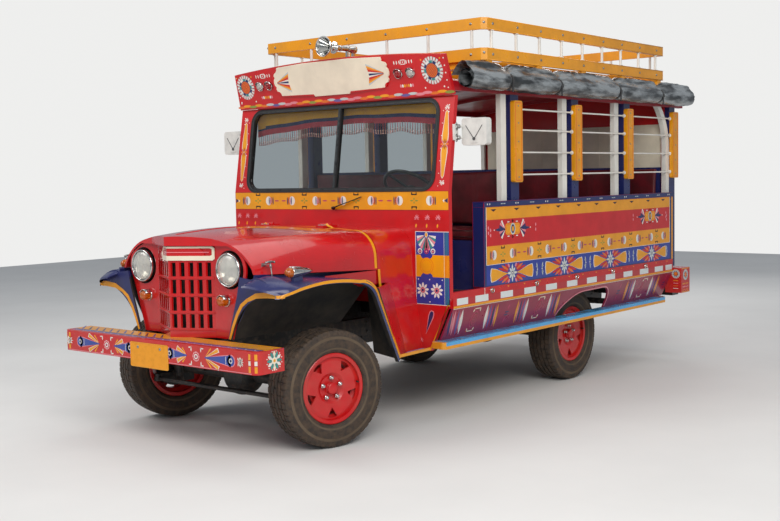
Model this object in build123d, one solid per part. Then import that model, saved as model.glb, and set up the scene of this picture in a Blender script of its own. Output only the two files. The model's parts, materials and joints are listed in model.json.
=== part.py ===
"""Chiva bus: an open-sided wooden bus body on a light bonneted truck chassis.

Millimetres. +X points forward, +Y to the vehicle's left, +Z up. The origin is
on the ground, under the middle of the overall length and width.
"""
from build123d import *
import math
import os

# Driving dimensions of the whole vehicle
WHEELBASE = 2642
FRONT_REACH = 710
REAR_REACH = 4354
FRONT_AXLE_X = (REAR_REACH - FRONT_REACH) / 2
REAR_AXLE_X = FRONT_AXLE_X - WHEELBASE
FIT = 0.3
RUNNING_FIT = 0.08

# Wheels and tyres
TYRE_RADIUS = 345
TYRE_WIDTH = 205
TYRE_WALL = 14
TREAD_HALF = 84
RIM_SEAT_RADIUS = 190.5
RIM_FLANGE_RADIUS = 208
RIM_HALF_WIDTH = 80
RIM_WALL = 5
RIM_WELL_RADIUS = 165
WHEEL_DISC_FACE = 58
WHEEL_DISC_THICK = 9
WHEEL_OPENINGS = 5
HUB_RADIUS = 62
DRUM_RADIUS = 140
DRUM_DEPTH = 62
SPINDLE_RADIUS = 20
TRACK_HALF = 724

# Steering, with the front wheels turned to the right as they stand
REST_STEER = -13.6
KINGPIN_Y = 610
KINGPIN_RADIUS = 15
KNUCKLE_RADIUS = 45
KNUCKLE_HALF_HEIGHT = 62
YOKE_THICK = 24
YOKE_GAP = 3
STEERING_ARM = 165
STEERING_ARM_DROP = 45
ROD_RADIUS = 14
ROD_EYE_RADIUS = 24
ROD_EYE_HEIGHT = 26
STUD_RADIUS = 9

# Chassis frame
RAIL_BOTTOM = 529
RAIL_TOP = 644
RAIL_OUTER_Y = 370
RAIL_WIDTH = 50
RAIL_WALL = 6
RAIL_REAR = 4180
BEARERS = (1000, 1650, 2230, 3080, 3800)
ENGINE_BOTTOM = RAIL_BOTTOM + 30
AXLE_TUBE_RADIUS = 40
PINION = 190
SHAFT_TOP = 480
SPRING_WIDTH = 58
SPRING_LEAF = 9
SPRING_LEAVES = 5
SPRING_PAD = 10
FRONT_SPRING_HALF = 470
REAR_SPRING_HALF = 600
SPRING_EYE_RADIUS = 22
SPRING_EYE_Z = 494

# Front end
BUMPER_PLATE = 5
BUMPER_DEPTH = 202
BUMPER_HALF_WIDTH = 865
BUMPER_CORNER = 45
PLATE_Y = -32
PLATE_HOLE_SPACING = 200
PLATE_HOLE_Z = 600
PLATE_HOLE_RADIUS = 3.5
PANEL_THICK = 12
PANEL_TIP = 576
PANEL_SHOULDER = 446
PANEL_SHOULDER_Y = 250
PANEL_EDGE_Y = 520
PANEL_TOP = 1212
GRILLE_BOTTOM = 705
GRILLE_TOP = 1088
GRILLE_ROWS = 4
GRILLE_COLUMNS = 5
GRILLE_BAR = 20
HEADLAMP_Y = 385
HEADLAMP_Z = 1050
HEADLAMP_RADIUS = 89
HEADLAMP_RECESS = 112

# Bonnet, cowl and fenders, measured behind the front axle
BONNET_REAR = 500
SEAM = 6
COWL_SIDE_FRONT = 575
BONNET_THICK = 14
BONNET_EDGE_FRONT_Z = 1028
BONNET_EDGE_REAR_Z = 992
FENDER_OUTER_Y = 842
FENDER_INNER_Y = 600
FENDER_THICK = 9
FENDER_LIP = 22

# Body
BODY_HALF_WIDTH = 972
WALL = 32
FRONT_WALL = 869
FOOT_TIP_Y = BODY_HALF_WIDTH - 160
DOORWAY_REAR = 1248
BEARER_REACH = BODY_HALF_WIDTH - 72
WINDSCREEN_BOTTOM = 1469
WINDSCREEN_TOP = 2068
WINDSCREEN_RAKE = 91
WINDSCREEN_HALF_WIDTH = BODY_HALF_WIDTH - 117
TOP_HALF_WIDTH = BODY_HALF_WIDTH - 7
WINDSCREEN_CORNER = 95
SEAL = 26
HEADER_TOP = 2317
HEADER_LEAN = 69
HEADER_CROWN = 44
FLOOR_TOP = 800
FLOOR_THICK = 40
SILL_TOP = 826
SILL_BOTTOM = 722
SILL_THICK = 30
PANEL_WALL = 89
PANEL_CAP = 1388
ROOF_EDGE_Y = BODY_HALF_WIDTH - 34
ROOF_EDGE_TOP = 2160
ROOF_CROWN = 2262
ROOF_THICK = 30
ROOF_REAR = 4300
CANTRAIL_BOTTOM = 2100
CANTRAIL_WIDTH = 44
STEP_TOP = 512
STEP_THICK = 44
STEP_OUTER_Y = BODY_HALF_WIDTH - 17
STEP_INNER_Y = BODY_HALF_WIDTH - 127
STEP_REAR = 3930
SKIRT_THICK = 14
SKIRT_BOTTOM_Y = BODY_HALF_WIDTH - 104

# Posts, rods and benches
POST_WIDTH = 62
POST_THICK = 38
POST_INNER_Y = BODY_HALF_WIDTH - 72
BENCH_PITCH = 806
FIRST_BENCH = 1620
BENCH_ROWS = 4
BENCH_POST = 100
BODY_REAR = FIRST_BENCH + (BENCH_ROWS - 1) * BENCH_PITCH
ROD_LEVELS = (1561, 1713, 1865, 2005)
WINDOW_ROD_RADIUS = 6
SEAT_TOP = 1215
SEAT_DEPTH = 380
CUSHION = 85
BACK_CUSHION = 50
BENCH_BACK = 30
BENCH_TOP = 1600
BOARD_FACE_Y = BODY_HALF_WIDTH + 4
BENCH_RIGHT_Y = POST_INNER_Y - 10

# Roof rack, rolled side sheets and mirrors
RACK_FRONT = 1242
RACK_REAR = 3796
RACK_HALF_WIDTH = BODY_HALF_WIDTH + 29
RACK_RAIL = 24
RACK_LOW = (2305, 2383)
RACK_HIGH = (2501, 2576)
RACK_POST_RADIUS = 10
DECK_THICK = 18
RACK_FOOT_Y = (ROOF_EDGE_Y - 158, ROOF_EDGE_Y - 108)
ROLL_RADIUS = 62
ROLL_Z = 2158
FRINGE_BOTTOM = 1900
MIRROR_REACH = BODY_HALF_WIDTH + 218
MIRROR_FOOT = (1785, 1885)
HORN_Z = HEADER_TOP + HEADER_CROWN + 79


def ahead(distance):
    """X of a point that lies ahead of the front axle."""
    return FRONT_AXLE_X + distance


def behind(distance):
    """X of a point that lies behind the front axle."""
    return FRONT_AXLE_X - distance


def block(x, y, z):
    """A block between two values on each axis."""
    size = (abs(x[1] - x[0]), abs(y[1] - y[0]), abs(z[1] - z[0]))
    centre = (sum(x) / 2, sum(y) / 2, sum(z) / 2)
    return Pos(*centre) * Box(*size)


def outline(points):
    """A flat face from 3-D points, where a triple of points in a list is an arc's middle."""
    edges = []
    here = points[0]
    middle = None
    for point in list(points[1:]) + [points[0]]:
        if isinstance(point, list):
            middle = point[0]
            continue
        if middle is not None:
            edges.append(Edge.make_three_point_arc(Vector(*here), Vector(*middle), Vector(*point)))
            middle = None
        elif (Vector(*here) - Vector(*point)).length > 1e-6:
            edges.append(Edge.make_line(Vector(*here), Vector(*point)))
        here = point
    return Face(Wire(edges))


def spread(points, place):
    """Turn flat (a, b) points into 3-D ones, arcs' middles too."""
    turned = []
    for point in points:
        if isinstance(point, list):
            turned.append([place(*point[0])])
        else:
            turned.append(place(*point))
    return turned


def prism_x(points, x0, x1):
    """Extrude a (y, z) outline from x0 to x1."""
    face = outline(spread(points, lambda y, z: (x0, y, z)))
    return extrude(face, amount=x1 - x0, dir=(1, 0, 0))


def prism_y(points, y0, y1):
    """Extrude an (x, z) outline from y0 to y1."""
    face = outline(spread(points, lambda x, z: (x, y0, z)))
    return extrude(face, amount=y1 - y0, dir=(0, 1, 0))


def prism_z(points, z0, z1):
    """Extrude an (x, y) outline from z0 to z1."""
    face = outline(spread(points, lambda x, y: (x, y, z0)))
    return extrude(face, amount=z1 - z0, dir=(0, 0, 1))


def rod(start, end, radius):
    """A round bar between two points."""
    start = Vector(*start)
    run = Vector(*end) - start
    return Solid.make_cylinder(radius, run.length, Plane(origin=start, z_dir=run))


def ring_y(profile, x=0.0, z=0.0):
    """Revolve a (radius, y) outline about the Y line through x, z."""
    face = outline(spread(profile, lambda radius, y: (radius, y, 0)))
    turned = revolve(face, axis=Axis.Y, revolution_arc=360)
    return Pos(x, 0, z) * turned


def rounded_rectangle(half_y, z0, z1, radius):
    """A (y, z) outline with round corners, arcs' middles in lists."""
    inset = radius * (1 - math.sqrt(0.5))
    return [
        (-half_y + radius, z0), (half_y - radius, z0),
        [(half_y - inset, z0 + inset)], (half_y, z0 + radius), (half_y, z1 - radius),
        [(half_y - inset, z1 - inset)], (half_y - radius, z1), (-half_y + radius, z1),
        [(-half_y + inset, z1 - inset)], (-half_y, z1 - radius), (-half_y, z0 + radius),
        [(-half_y + inset, z0 + inset)],
    ]


def both_sides(shapes):
    """The left-hand shapes and their mirror images."""
    if not isinstance(shapes, (list, tuple)):
        shapes = [shapes]
    return list(shapes) + [mirror(shape, about=Plane.XZ) for shape in shapes]


def fuse(shapes):
    """One body from several that touch."""
    whole = shapes[0]
    for shape in shapes[1:]:
        whole = whole + shape
    return whole


# Wheels

def tyre():
    """Hollow tyre about the Y axis, its outer side towards +Y."""
    half = TYRE_WIDTH / 2
    bulge_radius = RIM_SEAT_RADIUS + 0.48 * (TYRE_RADIUS - RIM_SEAT_RADIUS)
    bead_half = RIM_HALF_WIDTH - RIM_WALL - FIT
    inner = half - TYRE_WALL
    profile = [
        (RIM_SEAT_RADIUS + FIT, bead_half),
        (RIM_FLANGE_RADIUS + 1, bead_half),
        [(bulge_radius, half)],
        (TYRE_RADIUS - 22, TREAD_HALF + 10),
        (TYRE_RADIUS - 4, TREAD_HALF),
        [(TYRE_RADIUS, 0)],
        (TYRE_RADIUS - 4, -TREAD_HALF),
        (TYRE_RADIUS - 22, -TREAD_HALF - 10),
        [(bulge_radius, -half)],
        (RIM_FLANGE_RADIUS + 1, -bead_half),
        (RIM_SEAT_RADIUS + FIT, -bead_half),
        (RIM_SEAT_RADIUS + FIT, -bead_half + TYRE_WALL),
        (RIM_FLANGE_RADIUS + 6, -inner + 8),
        (TYRE_RADIUS - 22 - TYRE_WALL / 2, -TREAD_HALF + 6),
        (TYRE_RADIUS - TYRE_WALL - 4, -TREAD_HALF + 20),
        (TYRE_RADIUS - TYRE_WALL - 4, TREAD_HALF - 20),
        (TYRE_RADIUS - 22 - TYRE_WALL / 2, TREAD_HALF - 6),
        (RIM_FLANGE_RADIUS + 6, inner - 8),
        (RIM_SEAT_RADIUS + FIT, bead_half - TYRE_WALL),
    ]
    return ring_y(profile)


def rim():
    """Steel wheel with five openings, its drum and its hub, about the Y axis."""
    wall = RIM_WALL
    half = RIM_HALF_WIDTH
    seat = RIM_SEAT_RADIUS
    barrel = ring_y([
        (RIM_FLANGE_RADIUS, half), (seat, half - wall), (seat, 44), (RIM_WELL_RADIUS, 26),
        (RIM_WELL_RADIUS, -22), (seat, -44), (seat, -half + wall), (RIM_FLANGE_RADIUS, -half),
        (RIM_FLANGE_RADIUS - wall, -half - 3), (seat - wall, -half + 1), (seat - wall, -42),
        (RIM_WELL_RADIUS - wall, -24), (RIM_WELL_RADIUS - wall, 28), (seat - wall, 46),
        (seat - wall, half - 1), (RIM_FLANGE_RADIUS - wall, half + 3),
    ])
    face = WHEEL_DISC_FACE
    back = face - WHEEL_DISC_THICK
    disc = ring_y([
        (SPINDLE_RADIUS + RUNNING_FIT, face - 12), (72, face - 12), (92, face), (162, face + 6),
        (seat - wall + 1, face + 2), (seat - wall + 1, back + 2), (160, back + 2), (92, back - 4),
        (72, back - 16), (SPINDLE_RADIUS + RUNNING_FIT, back - 16),
    ])
    opening = outline([(112, 0, 0), (164, 0, -34), [(172, 0, 0)], (164, 0, 34)])
    cutter = extrude(opening, amount=2 * half, dir=(0, 1, 0))
    for index in range(WHEEL_OPENINGS):
        disc = disc - Rot(0, 360 / WHEEL_OPENINGS * index + 90, 0) * cutter
    drum_back = back - 16 - DRUM_DEPTH
    drum = ring_y([
        (SPINDLE_RADIUS + RUNNING_FIT, back - 15), (DRUM_RADIUS, back - 15),
        (DRUM_RADIUS, drum_back), (DRUM_RADIUS - 10, drum_back), (DRUM_RADIUS - 10, back - 27),
        (HUB_RADIUS, back - 27), (HUB_RADIUS, drum_back + 8),
        (SPINDLE_RADIUS + RUNNING_FIT, drum_back + 8),
    ])
    cap = ring_y([(0, face + 14), (22, face + 12), (34, face - 2), (34, face - 12), (0, face - 12)])
    return fuse([barrel, disc, drum, cap])


def wheel_place(shape, x, y, side, steer):
    """Set a wheel piece on its axle, outer face outwards, turned about its kingpin."""
    turned = shape if side > 0 else Rot(0, 0, 180) * shape
    if steer is None:
        return Pos(x, side * y, TYRE_RADIUS) * turned
    offset = Pos(0, side * (y - KINGPIN_Y), 0) * turned
    return Pos(x, side * KINGPIN_Y, TYRE_RADIUS) * (Rot(0, 0, steer) * offset)


def spindle(inner_y, outer_y, x=0.0, z=0.0):
    """Spindle with its brake backing plate, between two distances along +Y."""
    drum_back = WHEEL_DISC_FACE - WHEEL_DISC_THICK - 16 - DRUM_DEPTH
    plate_y = outer_y + drum_back - 4
    plate = rod((x, plate_y - 5, z), (x, plate_y, z), DRUM_RADIUS)
    stub = rod((x, inner_y, z), (x, plate_y + 4, z), SPINDLE_RADIUS + 12)
    shaft_end = outer_y + WHEEL_DISC_FACE - 12 - 1
    shaft = rod((x, inner_y, z), (x, shaft_end, z), SPINDLE_RADIUS)
    return fuse([stub, plate, shaft])


# Chassis

def chassis_frame():
    """Two channel rails, with the crossmembers, spring hangers, outriggers and bearers that meet them."""
    front = ahead(FRONT_REACH - BUMPER_PLATE)
    rear = behind(RAIL_REAR)
    inner = RAIL_OUTER_Y - RAIL_WIDTH
    pieces = []
    for side in (1, -1):
        outer = block((rear, front), (side * inner, side * RAIL_OUTER_Y), (RAIL_BOTTOM, RAIL_TOP))
        hollow = block(
            (rear - 1, front + 1),
            (side * (inner - 1), side * (RAIL_OUTER_Y - RAIL_WALL)),
            (RAIL_BOTTOM + RAIL_WALL, RAIL_TOP - RAIL_WALL),
        )
        pieces.append(outer - hollow)
    low = RAIL_BOTTOM + RAIL_WALL + FIT
    high = RAIL_TOP - RAIL_WALL - FIT
    reach = RAIL_OUTER_Y - RAIL_WALL - FIT
    # columns: distance behind the front axle, length along X, top
    crossmembers = (
        (-390, 60, high), (-150, 70, ENGINE_BOTTOM), (900, 70, ENGINE_BOTTOM), (2050, 60, high),
        (3250, 60, high), (4150, 60, high),
    )
    for distance, length, top in crossmembers:
        centre = behind(distance)
        pieces.append(block((centre - length / 2, centre + length / 2), (-reach, reach), (low, top)))
    for axle_x, half in ((FRONT_AXLE_X, FRONT_SPRING_HALF), (REAR_AXLE_X, REAR_SPRING_HALF)):
        for end in (1, -1):
            for side in (1, -1):
                pieces.append(spring_hanger(axle_x + end * half, side * (RAIL_OUTER_Y - SPRING_WIDTH / 2)))
    hanger_y = (STEP_INNER_Y + 1, SKIRT_BOTTOM_Y - SKIRT_THICK - 1)
    for distance in BEARERS:
        x = behind(distance)
        for side in (1, -1):
            arm = block(
                (x - 25, x + 25), (side * (RAIL_OUTER_Y + FIT), side * hanger_y[1]),
                (RAIL_BOTTOM + 5, RAIL_BOTTOM + 45),
            )
            drop = block(
                (x - 25, x + 25), (side * hanger_y[0], side * hanger_y[1]), (STEP_TOP, RAIL_BOTTOM + 6),
            )
            pieces.append(arm + drop)
        pieces.append(block(
            (x - 30, x + 30), (-BEARER_REACH, BEARER_REACH), (RAIL_TOP + FIT, FLOOR_TOP - FLOOR_THICK),
        ))
    return pieces


def spring_hanger(x, centre):
    """Two cheeks under a rail that hold a spring's eye."""
    reach = SPRING_WIDTH / 2
    top = RAIL_BOTTOM - FIT
    pieces = [block((x - 24, x + 24), (centre - reach - 8, centre + reach + 8), (top - 8, top))]
    for cheek in (1, -1):
        pieces.append(block(
            (x - 24, x + 24),
            (centre + cheek * (reach + FIT), centre + cheek * (reach + FIT + 8)),
            (SPRING_EYE_Z - 26, top),
        ))
    return fuse(pieces)


def leaf_spring(half):
    """One leaf spring about its axle, along X."""
    pad_top = TYRE_RADIUS + AXLE_TUBE_RADIUS + SPRING_PAD
    sag = SPRING_EYE_Z - (pad_top + (SPRING_LEAVES - 0.5) * SPRING_LEAF)
    leaves = []
    for index in range(SPRING_LEAVES):
        reach = half * (1 - 0.17 * index)
        rise = sag * (reach / half) ** 2
        low = pad_top + (SPRING_LEAVES - index - 1) * SPRING_LEAF
        leaves.append(prism_y([
            (-reach, low + rise), [(0, low)], (reach, low + rise),
            (reach, low + rise + SPRING_LEAF), [(0, low + SPRING_LEAF)], (-reach, low + rise + SPRING_LEAF),
        ], -SPRING_WIDTH / 2, SPRING_WIDTH / 2))
    for end in (1, -1):
        x = end * half
        reach = SPRING_WIDTH / 2
        leaves.append(rod((x, -reach, SPRING_EYE_Z), (x, reach, SPRING_EYE_Z), SPRING_EYE_RADIUS))
    return fuse(leaves)


def leaf_springs():
    """Four springs, two on each axle."""
    springs = []
    for axle_x, half in ((FRONT_AXLE_X, FRONT_SPRING_HALF), (REAR_AXLE_X, REAR_SPRING_HALF)):
        for side in (1, -1):
            springs.append(Pos(axle_x, side * (RAIL_OUTER_Y - SPRING_WIDTH / 2), 0) * leaf_spring(half))
    return springs


def axle_beam(axle_x, half_length, nose):
    """Axle tube with its differential; nose is +1 where the pinion points forward."""
    z = TYRE_RADIUS
    tube = rod((axle_x, -half_length, z), (axle_x, half_length, z), AXLE_TUBE_RADIUS)
    bowl = Pos(axle_x, 0, z) * Sphere(128)
    bowl = bowl & block((axle_x - 96, axle_x + 96), (-128, 128), (z - 128, z + 128))
    pinion = Solid.make_cone(74, 44, PINION, Plane(origin=(axle_x, 0, z), z_dir=(nose, 0, 0)))
    pads = []
    for side in (1, -1):
        y = side * (RAIL_OUTER_Y - SPRING_WIDTH / 2)
        pad_top = z + AXLE_TUBE_RADIUS + SPRING_PAD
        pads.append(block((axle_x - 60, axle_x + 60), (y - 30, y + 30), (z, pad_top)))
    return fuse([tube, bowl, pinion] + pads)


def front_axle():
    """Front axle with a forked yoke for each knuckle."""
    z = TYRE_RADIUS
    web_y = KINGPIN_Y - KNUCKLE_RADIUS - 10
    beam = axle_beam(FRONT_AXLE_X, web_y - 4, -1)
    ear_low = KNUCKLE_HALF_HEIGHT + YOKE_GAP
    ear_high = ear_low + YOKE_THICK
    pieces = [beam]
    for side in (1, -1):
        web = block(
            (FRONT_AXLE_X - 45, FRONT_AXLE_X + 45),
            (side * (web_y - 26), side * web_y),
            (z - ear_high, z + ear_high),
        )
        pieces.append(web)
        for level in (1, -1):
            arm = block(
                (FRONT_AXLE_X - 34, FRONT_AXLE_X + 34),
                (side * (web_y - 10), side * KINGPIN_Y),
                (z + level * ear_low, z + level * ear_high),
            )
            eye = rod(
                (FRONT_AXLE_X, side * KINGPIN_Y, z + level * ear_low),
                (FRONT_AXLE_X, side * KINGPIN_Y, z + level * ear_high),
                34,
            )
            pieces += [arm, eye]
    whole = fuse(pieces)
    for side in (1, -1):
        bore = rod(
            (FRONT_AXLE_X, side * KINGPIN_Y, z - ear_high - 5),
            (FRONT_AXLE_X, side * KINGPIN_Y, z + ear_high + 5),
            KINGPIN_RADIUS + RUNNING_FIT,
        )
        whole = whole - bore
    return whole


def rear_axle():
    """Rear axle with its spindles."""
    beam = axle_beam(REAR_AXLE_X, 560, 1)
    ends = both_sides(spindle(540, TRACK_HALF, REAR_AXLE_X, TYRE_RADIUS))
    return fuse([beam] + ends)


def knuckle(side):
    """Steering knuckle with its kingpins, spindle and arm, at the rest steering angle."""
    block_body = rod((0, 0, -KNUCKLE_HALF_HEIGHT), (0, 0, KNUCKLE_HALF_HEIGHT), KNUCKLE_RADIUS)
    pin_reach = KNUCKLE_HALF_HEIGHT + YOKE_GAP + YOKE_THICK
    pin = rod((0, 0, -pin_reach), (0, 0, pin_reach), KINGPIN_RADIUS)
    stub = spindle(0, TRACK_HALF - KINGPIN_Y)
    if side < 0:
        stub = mirror(stub, about=Plane.XZ)
    arm = block((0, STEERING_ARM), (-14, 14), (-STEERING_ARM_DROP - 10, -STEERING_ARM_DROP + 10))
    arm_end = rod(
        (STEERING_ARM, 0, -STEERING_ARM_DROP - 10),
        (STEERING_ARM, 0, -STEERING_ARM_DROP + 10),
        20,
    )
    stud = rod(
        (STEERING_ARM, 0, -STEERING_ARM_DROP),
        (STEERING_ARM, 0, -STEERING_ARM_DROP - 12 - ROD_EYE_HEIGHT),
        STUD_RADIUS,
    )
    whole = fuse([block_body, pin, stub, arm, arm_end, stud])
    return Pos(FRONT_AXLE_X, side * KINGPIN_Y, TYRE_RADIUS) * (Rot(0, 0, REST_STEER) * whole)


def tie_rod():
    """Rod between the two steering arms."""
    turn = math.radians(REST_STEER)
    x = FRONT_AXLE_X + STEERING_ARM * math.cos(turn)
    shift = STEERING_ARM * math.sin(turn)
    top = TYRE_RADIUS - STEERING_ARM_DROP - 10 - 1
    z = top - ROD_EYE_HEIGHT / 2
    bar = rod((x, shift - KINGPIN_Y, z), (x, shift + KINGPIN_Y, z), ROD_RADIUS)
    pieces = [bar]
    for side in (1, -1):
        y = shift + side * KINGPIN_Y
        pieces.append(rod((x, y, top), (x, y, top - ROD_EYE_HEIGHT), ROD_EYE_RADIUS))
    whole = fuse(pieces)
    for side in (1, -1):
        y = shift + side * KINGPIN_Y
        whole = whole - rod((x, y, top + 1), (x, y, top - ROD_EYE_HEIGHT - 1), STUD_RADIUS + RUNNING_FIT)
    return whole


GEARBOX_REAR = 1250


def engine_and_radiator():
    """Engine with its gearbox as plain blocks, and the radiator behind the grille."""
    engine = block((behind(480), ahead(280)), (-180, 180), (ENGINE_BOTTOM, 1090))
    housing = block((behind(960), behind(478)), (-150, 150), (ENGINE_BOTTOM, 730))
    gearbox = block((behind(GEARBOX_REAR), behind(959)), (-130, 130), (ENGINE_BOTTOM, RAIL_TOP - 4))
    radiator = block((ahead(352), ahead(412)), (-270, 270), (RAIL_TOP - RAIL_WALL, 1140))
    return [fuse([engine, housing, gearbox]), radiator]


def drive_shafts():
    """Transfer case below the gearbox, and the shafts to both axles."""
    z = TYRE_RADIUS
    case = block((behind(1235), behind(1010)), (-110, 110), (420, ENGINE_BOTTOM))
    shafts = []
    # columns: pinion's end, case's end, radius
    runs = ((behind(PINION), behind(1010), 28), (REAR_AXLE_X + PINION, behind(1235), 32))
    for pinion_x, case_x, radius in runs:
        slope = math.atan2(SHAFT_TOP - z, abs(case_x - pinion_x))
        start = pinion_x + math.copysign(radius * math.sin(slope) + FIT, case_x - pinion_x)
        shafts.append(rod((start, 0, z), (case_x, 0, SHAFT_TOP), radius))
    return fuse([case] + shafts)


def exhaust_pipe():
    """Exhaust from the engine's side, through its silencer, to the tail."""
    y = -240
    silencer = rod((behind(1350), y, 470), (behind(1850), y, 470), 75)
    head = rod((behind(300), -180 - FIT, 700), (behind(300), y - 8, 700), 24)
    down = rod((behind(300), y, 700), (behind(520), y, 470), 24)
    front = rod((behind(505), y, 470), (behind(1360), y, 470), 24)
    return fuse([silencer, head, down, front])


def fuel_tank():
    """Tank hung under the floor, behind the rear axle."""
    tank = block((behind(4050), behind(3420)), (-290, 290), (RAIL_BOTTOM - 90, RAIL_BOTTOM + 70))
    tank = fillet(tank.edges().filter_by(Axis.Y), 40)
    strap = block((behind(3800), behind(3740)), (-RAIL_OUTER_Y, RAIL_OUTER_Y), (RAIL_BOTTOM - 8, RAIL_BOTTOM))
    return fuse([tank, strap])


# Front end

def front_bumper():
    """Deep channel bumper with chamfered corners."""
    face = ahead(FRONT_REACH)
    back = face - BUMPER_DEPTH
    low = RAIL_BOTTOM - BUMPER_PLATE
    high = RAIL_TOP + BUMPER_PLATE
    half = BUMPER_HALF_WIDTH
    cut = BUMPER_CORNER
    solid = prism_z([
        (back, -half), (face - cut, -half), [(face - 0.3 * cut, -half + 0.3 * cut)], (face, -half + cut),
        (face, half - cut), [(face - 0.3 * cut, half - 0.3 * cut)], (face - cut, half), (back, half),
    ], low, high)
    half = half - BUMPER_PLATE
    face = face - BUMPER_PLATE
    hollow = prism_z([
        (back - 1, -half), (face - cut, -half), [(face - 0.3 * cut, -half + 0.3 * cut)], (face, -half + cut),
        (face, half - cut), [(face - 0.3 * cut, half - 0.3 * cut)], (face - cut, half), (back - 1, half),
    ], RAIL_BOTTOM, RAIL_TOP)
    whole = solid - hollow
    for end in (1, -1):
        y = PLATE_Y + end * PLATE_HOLE_SPACING / 2
        whole = whole - rod((face - 1, y, PLATE_HOLE_Z), (face + 10, y, PLATE_HOLE_Z), PLATE_HOLE_RADIUS)
    return whole


def panel_band(thick, grow=0.0):
    """Plan outline of the front panel's V, with its thickness, as (x, y)."""
    tip = ahead(PANEL_TIP + grow)
    shoulder = ahead(PANEL_SHOULDER + grow)
    return [
        (shoulder, -PANEL_EDGE_Y), (shoulder, -PANEL_SHOULDER_Y), (tip, 0),
        (shoulder, PANEL_SHOULDER_Y), (shoulder, PANEL_EDGE_Y),
        (shoulder - thick, PANEL_EDGE_Y), (shoulder - thick, PANEL_SHOULDER_Y - thick * 0.3),
        (tip - thick * 1.1, 0), (shoulder - thick, -PANEL_SHOULDER_Y + thick * 0.3),
        (shoulder - thick, -PANEL_EDGE_Y),
    ]


def grille_panel():
    """V-shaped front panel with four rows of slots and round headlamp recesses."""
    low = RAIL_TOP + BUMPER_PLATE + FIT
    band = prism_z(panel_band(PANEL_THICK), low, PANEL_TOP)
    shape = prism_x([
        (-392, low), (392, low), (470, 905), (PANEL_EDGE_Y - 8, 1010), [(505, 1110)], (430, 1180),
        (280, PANEL_TOP), (-280, PANEL_TOP), (-430, 1180), [(-505, 1110)], (-PANEL_EDGE_Y + 8, 1010),
        (-470, 905),
    ], ahead(300), ahead(650))
    panel = band & shape
    row_pitch = (GRILLE_TOP - GRILLE_BOTTOM + GRILLE_BAR) / GRILLE_ROWS
    column_pitch = (PANEL_SHOULDER_Y - 8) / GRILLE_COLUMNS
    slots = []
    for row in range(GRILLE_ROWS):
        z0 = GRILLE_BOTTOM + row * row_pitch
        z1 = z0 + row_pitch - GRILLE_BAR
        for column in range(GRILLE_COLUMNS):
            y0 = 12 + column * column_pitch
            y1 = y0 + column_pitch - GRILLE_BAR
            slots += both_sides(block((ahead(380), ahead(620)), (y0, y1), (z0, z1)))
    panel = panel - slots
    for side in (1, -1):
        hole = rod(
            (ahead(400), side * HEADLAMP_Y, HEADLAMP_Z), (ahead(480), side * HEADLAMP_Y, HEADLAMP_Z),
            HEADLAMP_RECESS,
        )
        panel = panel - hole
    above = block((ahead(300), ahead(650)), (-700, 700), (BONNET_EDGE_FRONT_Z - 2, 1400))
    panel = panel - (above - bonnet_body(BONNET_THICK + SEAM))
    badge = prism_z(panel_band(PANEL_THICK, 9), 1100, 1180)
    badge = badge & prism_x([
        (-205, 1116), [(-199, 1104)], (-185, 1100), (185, 1100), [(199, 1104)], (205, 1116),
        (205, 1146), (170, 1180), (-170, 1180), (-205, 1146),
    ], ahead(300), ahead(650))
    return panel + badge


def headlamps():
    """Two headlamps, each a bowl with a domed glass, held in the panel's recess."""
    lamps = []
    proud = 18
    face = ahead(PANEL_SHOULDER + proud)
    seat = proud + PANEL_THICK
    bowl = ring_y([
        (0, 0), (HEADLAMP_RADIUS + 9, 0), (HEADLAMP_RADIUS + 11, -14), (HEADLAMP_RADIUS + 4, -30),
        (60, -96), (0, -100),
    ])
    dome = ring_y([(0, 26), [(50, 18)], (HEADLAMP_RADIUS, 0), (0, 0)])
    back_plate = ring_y([
        (60, -seat - FIT), (HEADLAMP_RECESS + 10, -seat - FIT), (HEADLAMP_RECESS + 10, -38), (60, -38),
    ])
    lamp = Rot(0, 0, -90) * fuse([bowl, dome, back_plate])
    for side in (1, -1):
        lamps.append(Pos(face, side * HEADLAMP_Y, HEADLAMP_Z) * lamp)
    return lamps


INDICATOR_Y = 348
INDICATOR_Z = 870
TORPEDO_Y = 737
TORPEDO_Z = 1038


def marker_lamps():
    """Indicators beside the grille, torpedo lamps on the fenders, side and tail lamps."""
    lamps = []
    base = ahead(PANEL_SHOULDER)
    lens = ring_y([(0, 62), (20, 58), (27, 44), (30, 0), (0, 0)])
    hood = block((-34, 34), (0, 50), (20, 36))
    indicator = Rot(0, 0, -90) * fuse([lens, hood])
    for side in (1, -1):
        lamps.append(Pos(base, side * INDICATOR_Y, INDICATOR_Z) * indicator)
    torpedo = ring_y([(0, 24), [(22, 14)], (32, -16), (30, -70), (4, -200), (0, -200)])
    torpedo = Pos(ahead(330), TORPEDO_Y, TORPEDO_Z) * (Rot(0, 0, -90) * torpedo)
    foot = block((ahead(230), ahead(300)), (TORPEDO_Y - 16, TORPEDO_Y + 16), (950, TORPEDO_Z - 10))
    under = Solid.make_loft([
        fender_section(FENDER_INNER, FENDER_INNER_Y, 90), fender_section(FENDER_OUTER, FENDER_OUTER_Y, 90),
    ], True)
    lamps += both_sides(torpedo + (foot - Pos(0, 0, FIT) * under))
    for distance in (1330, 1880, 2430, 2980, 3530):
        for side in (1, -1):
            y = side * (BODY_HALF_WIDTH + FIT)
            lamps.append(rod((behind(distance), y, 803), (behind(distance), y + side * 14, 803), 17))
    return lamps


# columns: ahead of the front axle, height
FENDER_INNER = [
    (560, 976), [(440, 1003)], (256, 1008), [(60, 993)], (-120, 972), [(-330, 952)], (-505, 900),
    (-560, 470),
]
FENDER_OUTER = [
    (498, 927), [(330, 962)], (143, 982), [(0, 980)], (-165, 963), [(-268, 925)], (-330, 838),
    (-520, 450),
]


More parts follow.
